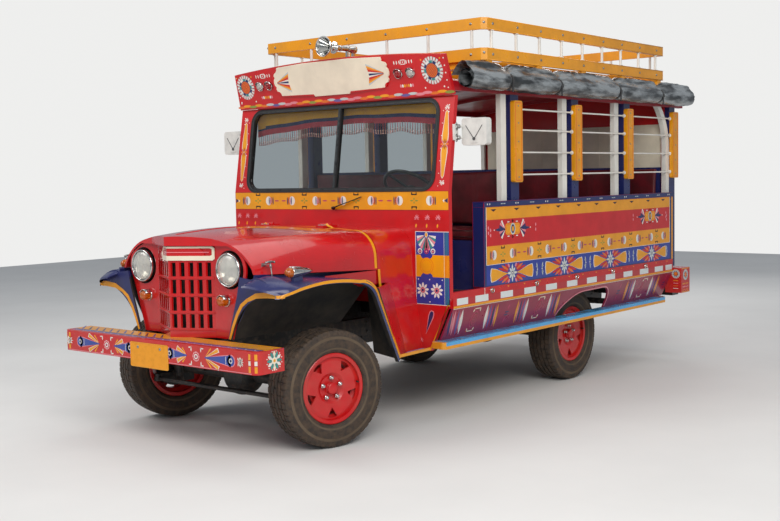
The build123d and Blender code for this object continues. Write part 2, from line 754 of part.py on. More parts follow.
def fender_section(points, y, drop):
    """Closed band at one distance from the middle; the drop leans forward with the height."""
    top = [((ahead(p[0][0]), y, p[0][1]),) if isinstance(p, list) else (ahead(p[0]), y, p[1]) for p in points]
    edges = []
    here = None
    middle = None
    for point in top:
        if len(point) == 1:
            middle = point[0]
            continue
        if here is not None and middle is not None:
            edges.append((here, middle, point))
        elif here is not None:
            edges.append((here, None, point))
        here = point
        middle = None
    lower = []
    for start, mid, end in reversed(edges):
        shift = lambda p: (p[0] + 0.7 * drop, p[1], p[2] - drop)
        lower.append((shift(end), shift(mid) if mid else None, shift(start)))
    made = []
    tail_end = [(edges[-1][2], None, lower[0][0])]
    nose_end = [(lower[-1][2], None, edges[0][0])]
    for start, mid, end in edges + tail_end + lower + nose_end:
        if mid:
            made.append(Edge.make_three_point_arc(Vector(*start), Vector(*mid), Vector(*end)))
        else:
            made.append(Edge.make_line(Vector(*start), Vector(*end)))
    return Wire(made)


def front_fender():
    """Left fender: arch band, rolled lip, front face, inner flange, apron and tail."""
    inner = fender_section(FENDER_INNER, FENDER_INNER_Y, FENDER_THICK)
    outer = fender_section(FENDER_OUTER, FENDER_OUTER_Y, FENDER_THICK)
    band = Solid.make_loft([inner, outer], True)
    lip_wire = fender_section(FENDER_OUTER, FENDER_OUTER_Y, FENDER_LIP)
    lip = extrude(Face(lip_wire), amount=26, dir=(0, -1, 0))
    front_face = prism_x([
        (PANEL_EDGE_Y - 125, RAIL_TOP + 12), (PANEL_EDGE_Y - 45, 905), (PANEL_EDGE_Y - 20, 1015),
        (FENDER_INNER_Y + 20, 1000), (FENDER_OUTER_Y - 6, 925), (FENDER_OUTER_Y - 6, 905),
        (640, 905), [(520, 830)], (PANEL_EDGE_Y - 100, RAIL_TOP + 12),
    ], ahead(470), ahead(482))
    flange = prism_y([
        (ahead(468), BONNET_EDGE_FRONT_Z - SEAM), (ahead(468), 985), (ahead(256), 995),
        (behind(120), 955), (behind(500), 890), (behind(500), BONNET_EDGE_REAR_Z - SEAM),
    ], FENDER_INNER_Y, FENDER_INNER_Y + 6)
    front = ahead(PANEL_SHOULDER - PANEL_THICK) - FIT
    apron = Solid.make_loft([
        Wire.make_polygon([
            (behind(500), RAIL_OUTER_Y - 6, RAIL_TOP), (front, RAIL_OUTER_Y - 6, RAIL_TOP),
            (front, RAIL_OUTER_Y, RAIL_TOP), (behind(500), RAIL_OUTER_Y, RAIL_TOP),
        ]),
        Wire.make_polygon([
            (behind(500), FENDER_INNER_Y, 900), (front, FENDER_INNER_Y, 995),
            (front, FENDER_INNER_Y + 6, 995), (behind(500), FENDER_INNER_Y + 6, 900),
        ]),
    ], True)
    tail = Solid.make_loft([
        Wire.make_polygon([
            (behind(520), FENDER_OUTER_Y - 2, 450), (behind(690), 742 + FIT + 12, 450),
            (behind(690), 742 + FIT, 450), (behind(510), FENDER_OUTER_Y - 14, 450),
        ]),
        Wire.make_polygon([
            (behind(330), FENDER_OUTER_Y - 2, 900), (behind(600), 690 + FIT + 12, 900),
            (behind(600), 690 + FIT, 900), (behind(320), FENDER_OUTER_Y - 14, 900),
        ]),
    ], True)
    return fuse([band, lip, front_face, flange, apron, tail])


# columns for each section: ahead of the front axle, crown z, shoulder y and z, corner's middle
# y and z, side's top y and z, bottom edge y and z
BONNET_SECTIONS = (
    (-BONNET_REAR, 1252, 500, 1234, 640, 1180, 684, 1060, 688, BONNET_EDGE_REAR_Z),
    (40, 1272, 430, 1234, 580, 1168, 640, 1065, 648, 1014),
    (600, 1240, 330, 1196, 450, 1135, 540, 1055, 560, BONNET_EDGE_FRONT_Z + 6),
)


def bonnet_wire(row, shrink):
    """Closed bonnet section; shrink gives the inside."""
    distance, crown, shoulder_y, shoulder_z, mid_y, mid_z, side_y, side_z, edge_y, edge_z = row
    x = ahead(distance)
    crown -= shrink
    shoulder_z -= shrink
    mid_y -= 0.7 * shrink
    mid_z -= 0.7 * shrink
    side_y -= shrink
    edge_y -= shrink
    if shrink:
        edge_z -= shrink
    points = [
        (x, -shoulder_y, shoulder_z), [(x, 0, crown)], (x, shoulder_y, shoulder_z),
        [(x, mid_y, mid_z)], (x, side_y, side_z), (x, edge_y, edge_z), (x, -edge_y, edge_z),
        (x, -side_y, side_z), [(x, -mid_y, mid_z)],
    ]
    return outline(points).outer_wire()


def bonnet_body(shrink):
    """Solid under the bonnet's outer face, or under its inside where it is shrunk."""
    return Solid.make_loft([bonnet_wire(row, shrink) for row in BONNET_SECTIONS])


def bonnet_plan(x_back, grow=0.0):
    """Plan outline of the bonnet's front, which overhangs the panel's V."""
    return [
        (x_back, -720), (ahead(430 + grow), -720), (ahead(452 + grow), -470),
        (ahead(474 + grow), -268), (ahead(602 + grow), 0), (ahead(474 + grow), 268),
        (ahead(452 + grow), 470), (ahead(430 + grow), 720), (x_back, 720),
    ]


HINGE_RADIUS = 9
HINGE_Z = 1252 + HINGE_RADIUS + 4
HINGE_X = BONNET_REAR + SEAM / 2
HINGE_Y = 260


def bonnet():
    """Crowned bonnet with a V-shaped front edge, and its hinge eyes."""
    outer = bonnet_body(0)
    shell = outer - bonnet_body(BONNET_THICK)
    shell = shell & prism_z(bonnet_plan(behind(BONNET_REAR)), 900, 1400)
    lip = outer & prism_z(bonnet_plan(behind(BONNET_REAR)), 1186, 1400)
    lip = lip - prism_z(bonnet_plan(behind(BONNET_REAR) - 1, -14), 900, 1400)
    pieces = [shell, lip]
    for side in (1, -1):
        y = side * HINGE_Y
        x = behind(HINGE_X)
        pieces.append(rod((x, y - 30, HINGE_Z), (x, y + 30, HINGE_Z), HINGE_RADIUS))
        pieces.append(block((x + 1, x + 60), (y - 30, y + 30), (1238, HINGE_Z - 3)))
    whole = fuse(pieces)
    for side in (1, -1):
        y = side * HINGE_Y
        whole = whole - rod(
            (behind(HINGE_X), y - 40, HINGE_Z), (behind(HINGE_X), y + 40, HINGE_Z), 4 + RUNNING_FIT,
        )
    return whole


def cowl():
    """Fixed scuttle behind the bonnet, with its sides and the bonnet's hinge pins."""
    front = behind(BONNET_REAR + SEAM)
    rear = behind(FRONT_WALL)
    crown = BONNET_SECTIONS[0][1]
    points = [
        (-500, 1234), [(0, crown)], (500, 1234), [(640, 1180)], (684, 1060), (690, 900), (742, 450),
        (728, 450), (676, 900), (670, 1060), [(630, 1168)], (500, 1220), [(0, crown - 14)],
        (-500, 1220), [(-630, 1168)], (-670, 1060), (-676, 900), (-728, 450), (-742, 450),
        (-690, 900), (-684, 1060), [(-640, 1180)],
    ]
    scuttle = prism_x(points, rear, front)
    scuttle = scuttle - block((behind(COWL_SIDE_FRONT), front + 1), (-800, 800), (400, 905))
    pieces = [scuttle]
    for side in (1, -1):
        y = side * HINGE_Y
        for end in (1, -1):
            near = y + end * 32
            far = y + end * 46
            x = behind(HINGE_X)
            pieces.append(rod((x, near, HINGE_Z), (x, far, HINGE_Z), HINGE_RADIUS))
            pieces.append(block((x - 60, x - 1), (near, far), (1238, HINGE_Z - 3)))
        pieces.append(rod((behind(HINGE_X), y - 46, HINGE_Z), (behind(HINGE_X), y + 46, HINGE_Z), 4))
    return fuse(pieces)


# Body

def windscreen_x(z):
    """X of the windscreen wall's front face at a height."""
    share = (z - WINDSCREEN_BOTTOM) / (WINDSCREEN_TOP - WINDSCREEN_BOTTOM)
    return behind(FRONT_WALL + WINDSCREEN_RAKE * share)


def windscreen_slab(points, front_gap, thick):
    """Extrude a (y, z) outline as a slab that leans with the windscreen."""
    low = WINDSCREEN_BOTTOM
    slope = -WINDSCREEN_RAKE / (WINDSCREEN_TOP - WINDSCREEN_BOTTOM)
    place = lambda y, z: (behind(FRONT_WALL) + (z - low) * slope - front_gap, y, z)
    face = outline(spread(points, place))
    return extrude(face, amount=thick, dir=(-1, 0, 0))


def front_wall():
    """Front wall with its quarter panels and feet, and the raked windscreen surround."""
    x1 = behind(FRONT_WALL)
    x0 = x1 - WALL
    half = BODY_HALF_WIDTH
    lower = prism_x([
        (-half, WINDSCREEN_BOTTOM), (-half, 790), (-FOOT_TIP_Y, 446), (-682, 440), (-682, 735),
        (682, 735), (682, 440), (FOOT_TIP_Y, 446), (half, 790), (half, WINDSCREEN_BOTTOM),
    ], x0, x1)
    upper = windscreen_slab([
        (-half, WINDSCREEN_BOTTOM), (half, WINDSCREEN_BOTTOM),
        (TOP_HALF_WIDTH, WINDSCREEN_TOP), (-TOP_HALF_WIDTH, WINDSCREEN_TOP),
    ], 0, WALL)
    window = windscreen_slab(
        rounded_rectangle(WINDSCREEN_HALF_WIDTH, WINDSCREEN_BOTTOM, WINDSCREEN_TOP - 10, WINDSCREEN_CORNER),
        -50, WALL + 100,
    )
    return fuse([lower, upper]) - window


def glass_outline():
    """Outline of the glass inside its seal."""
    return rounded_rectangle(
        WINDSCREEN_HALF_WIDTH - SEAL, WINDSCREEN_BOTTOM + SEAL, WINDSCREEN_TOP - 10 - SEAL,
        WINDSCREEN_CORNER - SEAL,
    )


def windscreen_seal():
    """Rubber seal round the windscreen, with its divider."""
    top = WINDSCREEN_TOP - 10
    ring = windscreen_slab(
        rounded_rectangle(WINDSCREEN_HALF_WIDTH, WINDSCREEN_BOTTOM, top, WINDSCREEN_CORNER), -4, WALL + 8,
    )
    inside = windscreen_slab(glass_outline(), -60, WALL + 120)
    divider = windscreen_slab([
        (-14, WINDSCREEN_BOTTOM + SEAL - 1), (14, WINDSCREEN_BOTTOM + SEAL - 1),
        (14, top - SEAL + 1), (-14, top - SEAL + 1),
    ], 0, WALL)
    return (ring - inside) + divider


def windscreen_glass():
    """Two flat panes."""
    pane = windscreen_slab(glass_outline(), 13, 6)
    gap = windscreen_slab([(-14, 1400), (14, 1400), (14, 2200), (-14, 2200)], -60, WALL + 120)
    return (pane - gap).solids()


HEADER_BASE = (FRONT_WALL + WINDSCREEN_RAKE - 19)


def header_plane():
    """Plane on the header board's front face, x along Y, y up its lean."""
    rise = HEADER_TOP - WINDSCREEN_TOP
    normal = Vector(rise, 0, -HEADER_LEAN)
    return Plane(origin=(behind(HEADER_BASE), 0, WINDSCREEN_TOP), x_dir=(0, 1, 0), z_dir=normal)


def header_shape(points, low, high):
    """Solid on the header's plane, from a depth behind its face to a height above it."""
    plane = header_plane()
    face = outline(spread(points, lambda a, b: tuple(plane.from_local_coords(Vector(a, b, low)))))
    return extrude(face, amount=high - low, dir=plane.z_dir)


def header_board():
    """Board over the windscreen with a crowned top, and its raised bare name panel."""
    rise = math.hypot(HEADER_TOP - WINDSCREEN_TOP, HEADER_LEAN)
    board = header_shape([
        (-TOP_HALF_WIDTH, 0), (TOP_HALF_WIDTH, 0), (TOP_HALF_WIDTH - 18, rise), [(0, rise + HEADER_CROWN)],
        (-TOP_HALF_WIDTH + 18, rise),
    ], -30, 0)
    plaque = header_shape([
        (-560, 128), [(-520, 96)], (-480, 78), (-190, 66), (120, 66), (430, 78), [(458, 96)], (466, 128),
        [(470, 190)], (455, 262), [(300, 280)], (160, 290), (-260, 290), [(-420, 280)], (-548, 262),
        [(-566, 190)],
    ], 0, 12)
    return board + plaque


def roof_height(y, edge_y, edge_z, crown):
    """Height of an arc over the body, from its edge and its crown, at a distance from the middle."""
    rise = crown - edge_z
    radius = (edge_y ** 2 + rise ** 2) / (2 * rise)
    return crown - radius + math.sqrt(radius ** 2 - y ** 2)


def roof():
    """Arched roof with its side rails."""
    x0 = behind(ROOF_REAR)
    x1 = behind(880)
    under = ROOF_THICK
    inner_y = ROOF_EDGE_Y - CANTRAIL_WIDTH
    inner_z = ROOF_EDGE_TOP - under + 8
    arch = prism_x([
        (-ROOF_EDGE_Y, ROOF_EDGE_TOP), [(0, ROOF_CROWN)], (ROOF_EDGE_Y, ROOF_EDGE_TOP),
        (ROOF_EDGE_Y, CANTRAIL_BOTTOM), (inner_y, CANTRAIL_BOTTOM),
        (inner_y, inner_z), [(0, ROOF_CROWN - under)],
        (-inner_y, inner_z), (-inner_y, CANTRAIL_BOTTOM),
        (-ROOF_EDGE_Y, CANTRAIL_BOTTOM),
    ], x0, x1)
    ahead_of_header = header_shape([(-1100, -300), (1100, -300), (1100, 600), (-1100, 600)], -30, 600)
    front_strip = windscreen_slab([
        (-1100, 2000), (1100, 2000), (1100, WINDSCREEN_TOP), (-1100, WINDSCREEN_TOP),
    ], -200, WALL + 200)
    pieces = arch - ahead_of_header - front_strip
    battens = []
    for distance in (1500, 2306, 3112, 3918):
        batten = prism_x([
            (-inner_y, inner_z), [(0, ROOF_CROWN - under)], (inner_y, inner_z), (inner_y, inner_z - 30),
            [(0, ROOF_CROWN - under - 30)], (-inner_y, inner_z - 30),
        ], behind(distance + 20), behind(distance - 20))
        battens.append(batten)
    return fuse([pieces] + battens)


def rack_ring(low, high):
    """Rectangular rail with chamfered corners."""
    x0 = behind(RACK_REAR)
    x1 = behind(RACK_FRONT)
    half = RACK_HALF_WIDTH
    cut = 30
    outer = prism_z([
        (x0, -half), (x1 - cut, -half), (x1, -half + cut), (x1, half - cut), (x1 - cut, half), (x0, half),
    ], low, high)
    x0 += RACK_RAIL
    x1 -= RACK_RAIL
    half -= RACK_RAIL
    inner = prism_z([
        (x0, -half), (x1 - cut, -half), (x1, -half + cut), (x1, half - cut), (x1 - cut, half), (x0, half),
    ], low - 1, high + 1)
    return outer - inner


def roof_rack():
    """Luggage rack: two rails, round posts, bearers on the roof and deck slats."""
    pieces = [rack_ring(*RACK_LOW), rack_ring(*RACK_HIGH)]
    post_y = RACK_HALF_WIDTH - RACK_RAIL / 2
    low = RACK_LOW[1] - 1
    high = RACK_HIGH[0] + 1
    pitch = 293
    count = int((RACK_REAR - 1336) // pitch) + 1
    for index in range(count):
        x = behind(1336 + index * pitch)
        for side in (1, -1):
            pieces.append(rod((x, side * post_y, low), (x, side * post_y, high), RACK_POST_RADIUS))
    for distance in (RACK_FRONT + RACK_RAIL / 2, RACK_REAR - RACK_RAIL / 2):
        x = behind(distance)
        for index in range(6):
            y = -893 + index * 357
            pieces.append(rod((x, y, low), (x, y, high), RACK_POST_RADIUS))
    for index in range(5):
        x = behind(RACK_FRONT + 60 + index * (RACK_REAR - RACK_FRONT - 120) / 4)
        pieces.append(block(
            (x - 30, x + 30), (-RACK_HALF_WIDTH + 4, RACK_HALF_WIDTH - 4),
            (ROOF_CROWN + FIT, RACK_LOW[0] + 1),
        ))
        for side in (1, -1):
            foot = []
            for y in RACK_FOOT_Y:
                foot.append((side * y, roof_height(y, ROOF_EDGE_Y, ROOF_EDGE_TOP, ROOF_CROWN) + FIT))
            foot += [(side * RACK_FOOT_Y[1], ROOF_CROWN + 1), (side * RACK_FOOT_Y[0], ROOF_CROWN + 1)]
            pieces.append(prism_x(foot, x - 25, x + 25))
    for index in range(9):
        y = -800 + index * 200
        pieces.append(block(
            (behind(RACK_REAR - 10), behind(RACK_FRONT + 10)), (y - 45, y + 45),
            (RACK_LOW[0], RACK_LOW[0] + DECK_THICK),
        ))
    rack = fuse(pieces)
    return [rack] + rear_ladder()


LADDER_Y = (-420, -80)


def rear_ladder():
    """Ladder up the rear wall."""
    x = behind(BODY_REAR + 60)
    pieces = []
    for y in LADDER_Y:
        pieces.append(rod((x, y, RAIL_TOP + 16), (x, y, 2090), 14))
        for z in (900, 1900):
            pieces.append(rod((x, y, z), (behind(BODY_REAR + FIT), y, z), 9))
    for index in range(5):
        z = 740 + index * 310
        pieces.append(rod((x, LADDER_Y[0], z), (x, LADDER_Y[1], z), 11))
    return [fuse(pieces)]


def side_rolls():
    """Rolled side sheets, tied along both roof edges."""
    y = ROOF_EDGE_Y + ROLL_RADIUS + FIT
    rolls = []
    for side in (1, -1):
        start = (behind(REAR_REACH), side * y, ROLL_Z)
        rolls.append(rod(start, (behind(1000), side * y, ROLL_Z), ROLL_RADIUS))
    return rolls


def air_horn():
    """Trumpet horn on two feet above the header."""
    z = HORN_Z
    tail = Pos(behind(1120), 0, z) * (Rot(0, 0, -90) * ring_y([
        (0, 0), (24, 0), (26, 30), (16, 60), (16, 160), (30, 250), (66, 320), (58, 320), (22, 250),
        (8, 160), (0, 160),
    ]))
    pieces = [tail]
    for distance in (1040, 1100):
        pieces.append(block((behind(distance + 8), behind(distance - 8)), (-8, 8), (ROOF_CROWN + FIT - 1, z)))
    horn = fuse(pieces)
    return horn - block((behind(1200), behind(900)), (-50, 50), (2200, ROOF_CROWN + FIT - 0.2))


def door_mirror():
    """Left mirror head on its two-bar arm."""
    y0 = MIRROR_REACH - 188
    head = prism_x([
        (y0, 1775), [(y0 + 6, 1757)], (y0 + 24, 1750), (MIRROR_REACH - 24, 1750),
        [(MIRROR_REACH - 6, 1757)], (MIRROR_REACH, 1775), (MIRROR_REACH, 1898),
        [(MIRROR_REACH - 6, 1914)], (MIRROR_REACH - 24, 1920), (y0 + 24, 1920), [(y0 + 6, 1914)], (y0, 1898),
    ], behind(1030), behind(975))
    lean = (BODY_HALF_WIDTH - TOP_HALF_WIDTH) / (WINDSCREEN_TOP - WINDSCREEN_BOTTOM)
    wall_y = [BODY_HALF_WIDTH - lean * (z - WINDSCREEN_BOTTOM) + FIT for z in MIRROR_FOOT]
    foot = prism_x([
        (wall_y[0], MIRROR_FOOT[0]), (BODY_HALF_WIDTH + 10, MIRROR_FOOT[0]),
        (BODY_HALF_WIDTH + 10, MIRROR_FOOT[1]), (wall_y[1], MIRROR_FOOT[1]),
    ], behind(965), behind(925))
    arms = []
    for z in (1800, 1870):
        arms.append(rod((behind(948), BODY_HALF_WIDTH + 4, z), (behind(1002), y0 + 20, z), 7))
    return fuse([head, foot] + arms)


def floor():
    """Wooden floor deck over the frame, with its front lip under the front wall."""
    reach = BODY_HALF_WIDTH - SILL_THICK
    return block(
        (behind(BODY_REAR - WALL), behind(FRONT_WALL + WALL)), (-reach, reach),
        (FLOOR_TOP - FLOOR_THICK, FLOOR_TOP),
    )


def side_panel():
    """Thick lower side wall of the driver's side, with its top cap."""
    y1 = BODY_HALF_WIDTH
    y0 = y1 - PANEL_WALL
    rear = behind(BODY_REAR - WALL)
    wall = block((rear, behind(DOORWAY_REAR)), (y0, y1), (SILL_TOP, PANEL_CAP))
    cap = block((rear, behind(DOORWAY_REAR)), (y1 - 2, y1 + 4), (PANEL_CAP - 36, PANEL_CAP))
    end = block((behind(BODY_REAR - FIT), rear + 1), (POST_INNER_Y, y1), (SILL_TOP, PANEL_CAP))
    return fuse([wall, cap, end])


def arch_cut(y_shift):
    """Cutter for the rear wheel's arch in the skirt."""
    x = REAR_AXLE_X
    return prism_y([
        (x - 372, 400), (x - 372, 540), [(x - 330, 648)], (x - 230, 684), (x + 60, 680),
        [(x + 210, 645)], (x + 330, 560), (x + 372, 400),
    ], y_shift, BODY_HALF_WIDTH + 20)


def body_sills():
    """Sill boards along both sides, with the skirts that slope in under them."""
    pieces = []
    x0 = behind(BODY_REAR)
    x1 = behind(FRONT_WALL + WALL)
    y1 = BODY_HALF_WIDTH
    sill = block((x0, x1), (y1 - SILL_THICK, y1), (SILL_BOTTOM, SILL_TOP))
    skirt = prism_x([
        (y1, SILL_BOTTOM + 1), (SKIRT_BOTTOM_Y, STEP_TOP + FIT),
        (SKIRT_BOTTOM_Y - SKIRT_THICK, STEP_TOP + FIT), (y1 - SKIRT_THICK - 2, SILL_BOTTOM + 1),
    ], x0, x1)
    whole = (sill + skirt) - arch_cut(700)
    for shape in both_sides(whole):
        pieces.append(shape)
    return pieces


def running_boards():
    """Long steps along both sides."""
    board = block(
        (behind(STEP_REAR), behind(FRONT_WALL - 24)), (STEP_INNER_Y, STEP_OUTER_Y),
        (STEP_TOP - STEP_THICK, STEP_TOP),
    )
    return both_sides(board)


def scalloped_board(x0, x1, z0, z1):
    """Board outline with stepped round ends, as (x, z)."""
    cut = 16
    return [
        (x0 + cut, z0), (x1 - cut, z0), [(x1 - cut * 0.3, z0 + cut * 0.3)], (x1, z0 + cut), (x1, z1 - cut),
        [(x1 - cut * 0.3, z1 - cut * 0.3)], (x1 - cut, z1), (x0 + cut, z1),
        [(x0 + cut * 0.3, z1 - cut * 0.3)], (x0, z1 - cut), (x0, z0 + cut),
        [(x0 + cut * 0.3, z0 + cut * 0.3)],
    ]


POST_FRONTS = (1511, 2303, 3088)
POST_BEND_Z = 1760


def bend_middle(x, top_x):
    """Middle of an arc that starts upright at the bend's height and ends under the roof rail."""
    run = top_x - x
    rise = CANTRAIL_BOTTOM - POST_BEND_Z
    radius = (run ** 2 + rise ** 2) / (2 * run)
    half_turn = math.asin(rise / radius) / 2
    return x + radius * (1 - math.cos(half_turn)), POST_BEND_Z + radius * math.sin(half_turn)


def body_posts():
    """White roof posts on both sides, and the window rods of the driver's side."""
    y0 = POST_INNER_Y
    y1 = y0 + POST_THICK
    pieces = []
    for side, base in ((1, PANEL_CAP), (-1, FLOOR_TOP)):
        for distance in POST_FRONTS:
            pieces.append(block(
                (behind(distance + POST_WIDTH), behind(distance)), (side * y0, side * y1),
                (base, CANTRAIL_BOTTOM),
            ))
        rear = behind(BODY_REAR - FIT)
        front = rear + POST_WIDTH
        pieces.append(prism_y([
            (rear, base), (rear, POST_BEND_Z), [bend_middle(rear, rear + 150)],
            (rear + 150, CANTRAIL_BOTTOM), (rear + 217, CANTRAIL_BOTTOM),
            [bend_middle(front, rear + 217)], (front, POST_BEND_Z), (front, base),
        ], min(side * y0, side * y1), max(side * y0, side * y1)))
    for level in ROD_LEVELS:
        for row in range(BENCH_ROWS - 1):
            front = behind(FIRST_BENCH + row * BENCH_PITCH + BENCH_POST)
            rear = behind(FIRST_BENCH + (row + 1) * BENCH_PITCH)
            y = y1 + WINDOW_ROD_RADIUS + FIT
            pieces.append(rod((rear, y, level), (front, y, level), WINDOW_ROD_RADIUS))
    return pieces


def bench_back_x(row):
    """X range of a bench's back panel: inside its end posts, or against the rear wall."""
    if row == BENCH_ROWS - 1:
        rear = behind(BODY_REAR - WALL) + FIT
    else:
        rear = behind(FIRST_BENCH + row * BENCH_PITCH + BENCH_POST) + 20
    return rear, rear + BENCH_BACK


def bench_frames():
    """Four wooden benches: end posts with their boards, back panel, seat box."""
    pieces = []
    left_inner = BODY_HALF_WIDTH - PANEL_WALL - FIT
    post_y = BODY_HALF_WIDTH - SILL_THICK - FIT
    for row in range(BENCH_ROWS):
        front = behind(FIRST_BENCH + row * BENCH_PITCH)
        rear = front - BENCH_POST
        last = row == BENCH_ROWS - 1
        bench = []
        posts = []
        for side in (1, -1):
            base = PANEL_CAP if side > 0 else FLOOR_TOP
            if last:
                base = FLOOR_TOP - FLOOR_THICK
            post = block((rear, front), (side * (POST_INNER_Y - 20), side * post_y), (base, CANTRAIL_BOTTOM))
            board = prism_y(
                scalloped_board(rear, front, 1510, 2060),
                min(side * (post_y - 1), side * BOARD_FACE_Y), max(side * (post_y - 1), side * BOARD_FACE_Y),
            )
            posts.append(post + board)
        back_x = bench_back_x(row)
        seat_front = back_x[1] + SEAT_DEPTH
        seat_low = SEAT_TOP - CUSHION
        across = (-BENCH_RIGHT_Y, left_inner)
        bench.append(block(back_x, across, (FLOOR_TOP, BENCH_TOP)))
        bench.append(block((back_x[0] + 10, seat_front), across, (seat_low - 22, seat_low)))
        bench.append(block((seat_front - 24, seat_front), across, (FLOOR_TOP, seat_low - 10)))
        if last:
            pieces += posts
        else:
            bench.append(block(back_x, (left_inner - 60, POST_INNER_Y), (PANEL_CAP, BENCH_TOP)))
            bench += posts
        pieces.append(fuse(bench))
    return pieces


def bench_seats():
    """Seat and back cushions of the four benches."""
    cushions = []
    y = (-BENCH_RIGHT_Y + 20, BODY_HALF_WIDTH - PANEL_WALL - 12)
    low = SEAT_TOP - CUSHION + FIT
    for row in range(BENCH_ROWS):
        face = bench_back_x(row)[1] + FIT
        seat = block((face + BACK_CUSHION + 4, face + SEAT_DEPTH - 4), y, (low, SEAT_TOP))
        back = block((face, face + BACK_CUSHION), y, (low, BENCH_TOP - 10))
        cushions += [fillet(seat.edges().filter_by(Axis.Y), 18), fillet(back.edges().filter_by(Axis.Y), 18)]
    return cushions


COLUMN_ANGLE = 50
STEERING_Y = 420
STEERING_CENTRE = (1200, 1470)
STEERING_RADIUS = 200


def column_axis():
    """Unit vector up the steering column."""
    angle = math.radians(COLUMN_ANGLE)
    return Vector(-math.cos(angle), 0, math.sin(angle))


def dashboard():
    """Dash panel behind the front wall, with the steering column."""
    x0 = behind(FRONT_WALL + WALL + 100)
    x1 = behind(FRONT_WALL + WALL)
    reach = BODY_HALF_WIDTH - 122
    dash = block((x0, x1), (-reach, reach), (1200, 1400))
    dash = fillet(dash.edges().filter_by(Axis.Y).group_by(Axis.X)[0], 30)
    centre = Vector(behind(STEERING_CENTRE[0]), STEERING_Y, STEERING_CENTRE[1])
    axis = column_axis()
    top = centre - axis * 40
    foot = centre - axis * 470
    column = rod(tuple(top), tuple(foot), 22)
    shaft = rod(tuple(top), tuple(centre + axis * 5), STUD_RADIUS)
    whole = fuse([dash, column, shaft])
    return whole - block((behind(FRONT_WALL + WALL), behind(600)), (300, 600), (900, 1500))


def steering_wheel():
    """Three-spoke wheel about its column."""
    centre = Vector(behind(STEERING_CENTRE[0]), STEERING_Y, STEERING_CENTRE[1])
    pieces = [Torus(STEERING_RADIUS, 12), Pos(0, 0, -12) * Cylinder(34, 44)]
    for index in range(3):
        spoke = block((20, STEERING_RADIUS - 6), (-10, 10), (-5, 3))
        pieces.append(Rot(0, 0, 120 * index + 90) * spoke)
    whole = fuse(pieces) - Pos(0, 0, -18) * Cylinder(STUD_RADIUS + RUNNING_FIT, 48)
    return Plane(origin=centre, z_dir=column_axis()) * whole


def rear_wall():
    """Closed rear wall up to the roof."""
    half = ROOF_EDGE_Y - CANTRAIL_WIDTH - 2
    edge = POST_INNER_Y - FIT
    x0 = behind(BODY_REAR)
    x1 = x0 + WALL
    wall = prism_x([
        (-edge, FLOOR_TOP - FLOOR_THICK), (edge, FLOOR_TOP - FLOOR_THICK), (edge, CANTRAIL_BOTTOM),
        (half, CANTRAIL_BOTTOM), (half, ROOF_EDGE_TOP - ROOF_THICK + 8 - FIT),
        [(0, ROOF_CROWN - ROOF_THICK - FIT)], (-half, ROOF_EDGE_TOP - ROOF_THICK + 8 - FIT),
        (-half, CANTRAIL_BOTTOM), (-edge, CANTRAIL_BOTTOM),
    ], x0, x1)
    return wall


def tail_lamp_box():
    """Left tail-lamp box at the sill's rear corner."""
    across = (BODY_HALF_WIDTH - 68, BODY_HALF_WIDTH + 78)
    return block((behind(4200), behind(BODY_REAR + FIT)), across, (540, 750))


def rear_bumper():
    """Step bumper on the frame's tail, and the two tail-lamp boxes."""
    reach = BODY_HALF_WIDTH - 70
    bar = block(
        (behind(4295), behind(RAIL_REAR + FIT)), (-reach, reach), (RAIL_BOTTOM - 30, RAIL_BOTTOM + 50),
    )
    return [bar] + both_sides(tail_lamp_box())


def windscreen_fringe():
    """Fringed curtain hung from the roof's front, behind the top of the windscreen."""
    x = windscreen_x(WINDSCREEN_TOP) - WALL - 8
    half = WINDSCREEN_HALF_WIDTH
    crown = ROOF_CROWN - ROOF_THICK
    top = roof_height(half, ROOF_EDGE_Y - CANTRAIL_WIDTH, ROOF_EDGE_TOP - ROOF_THICK + 8, crown)
    return prism_x([
        (-half, FRINGE_BOTTOM), (half, FRINGE_BOTTOM), (half, top - FIT), [(0, crown - FIT)],
        (-half, top - FIT),
    ], x - 14, x)


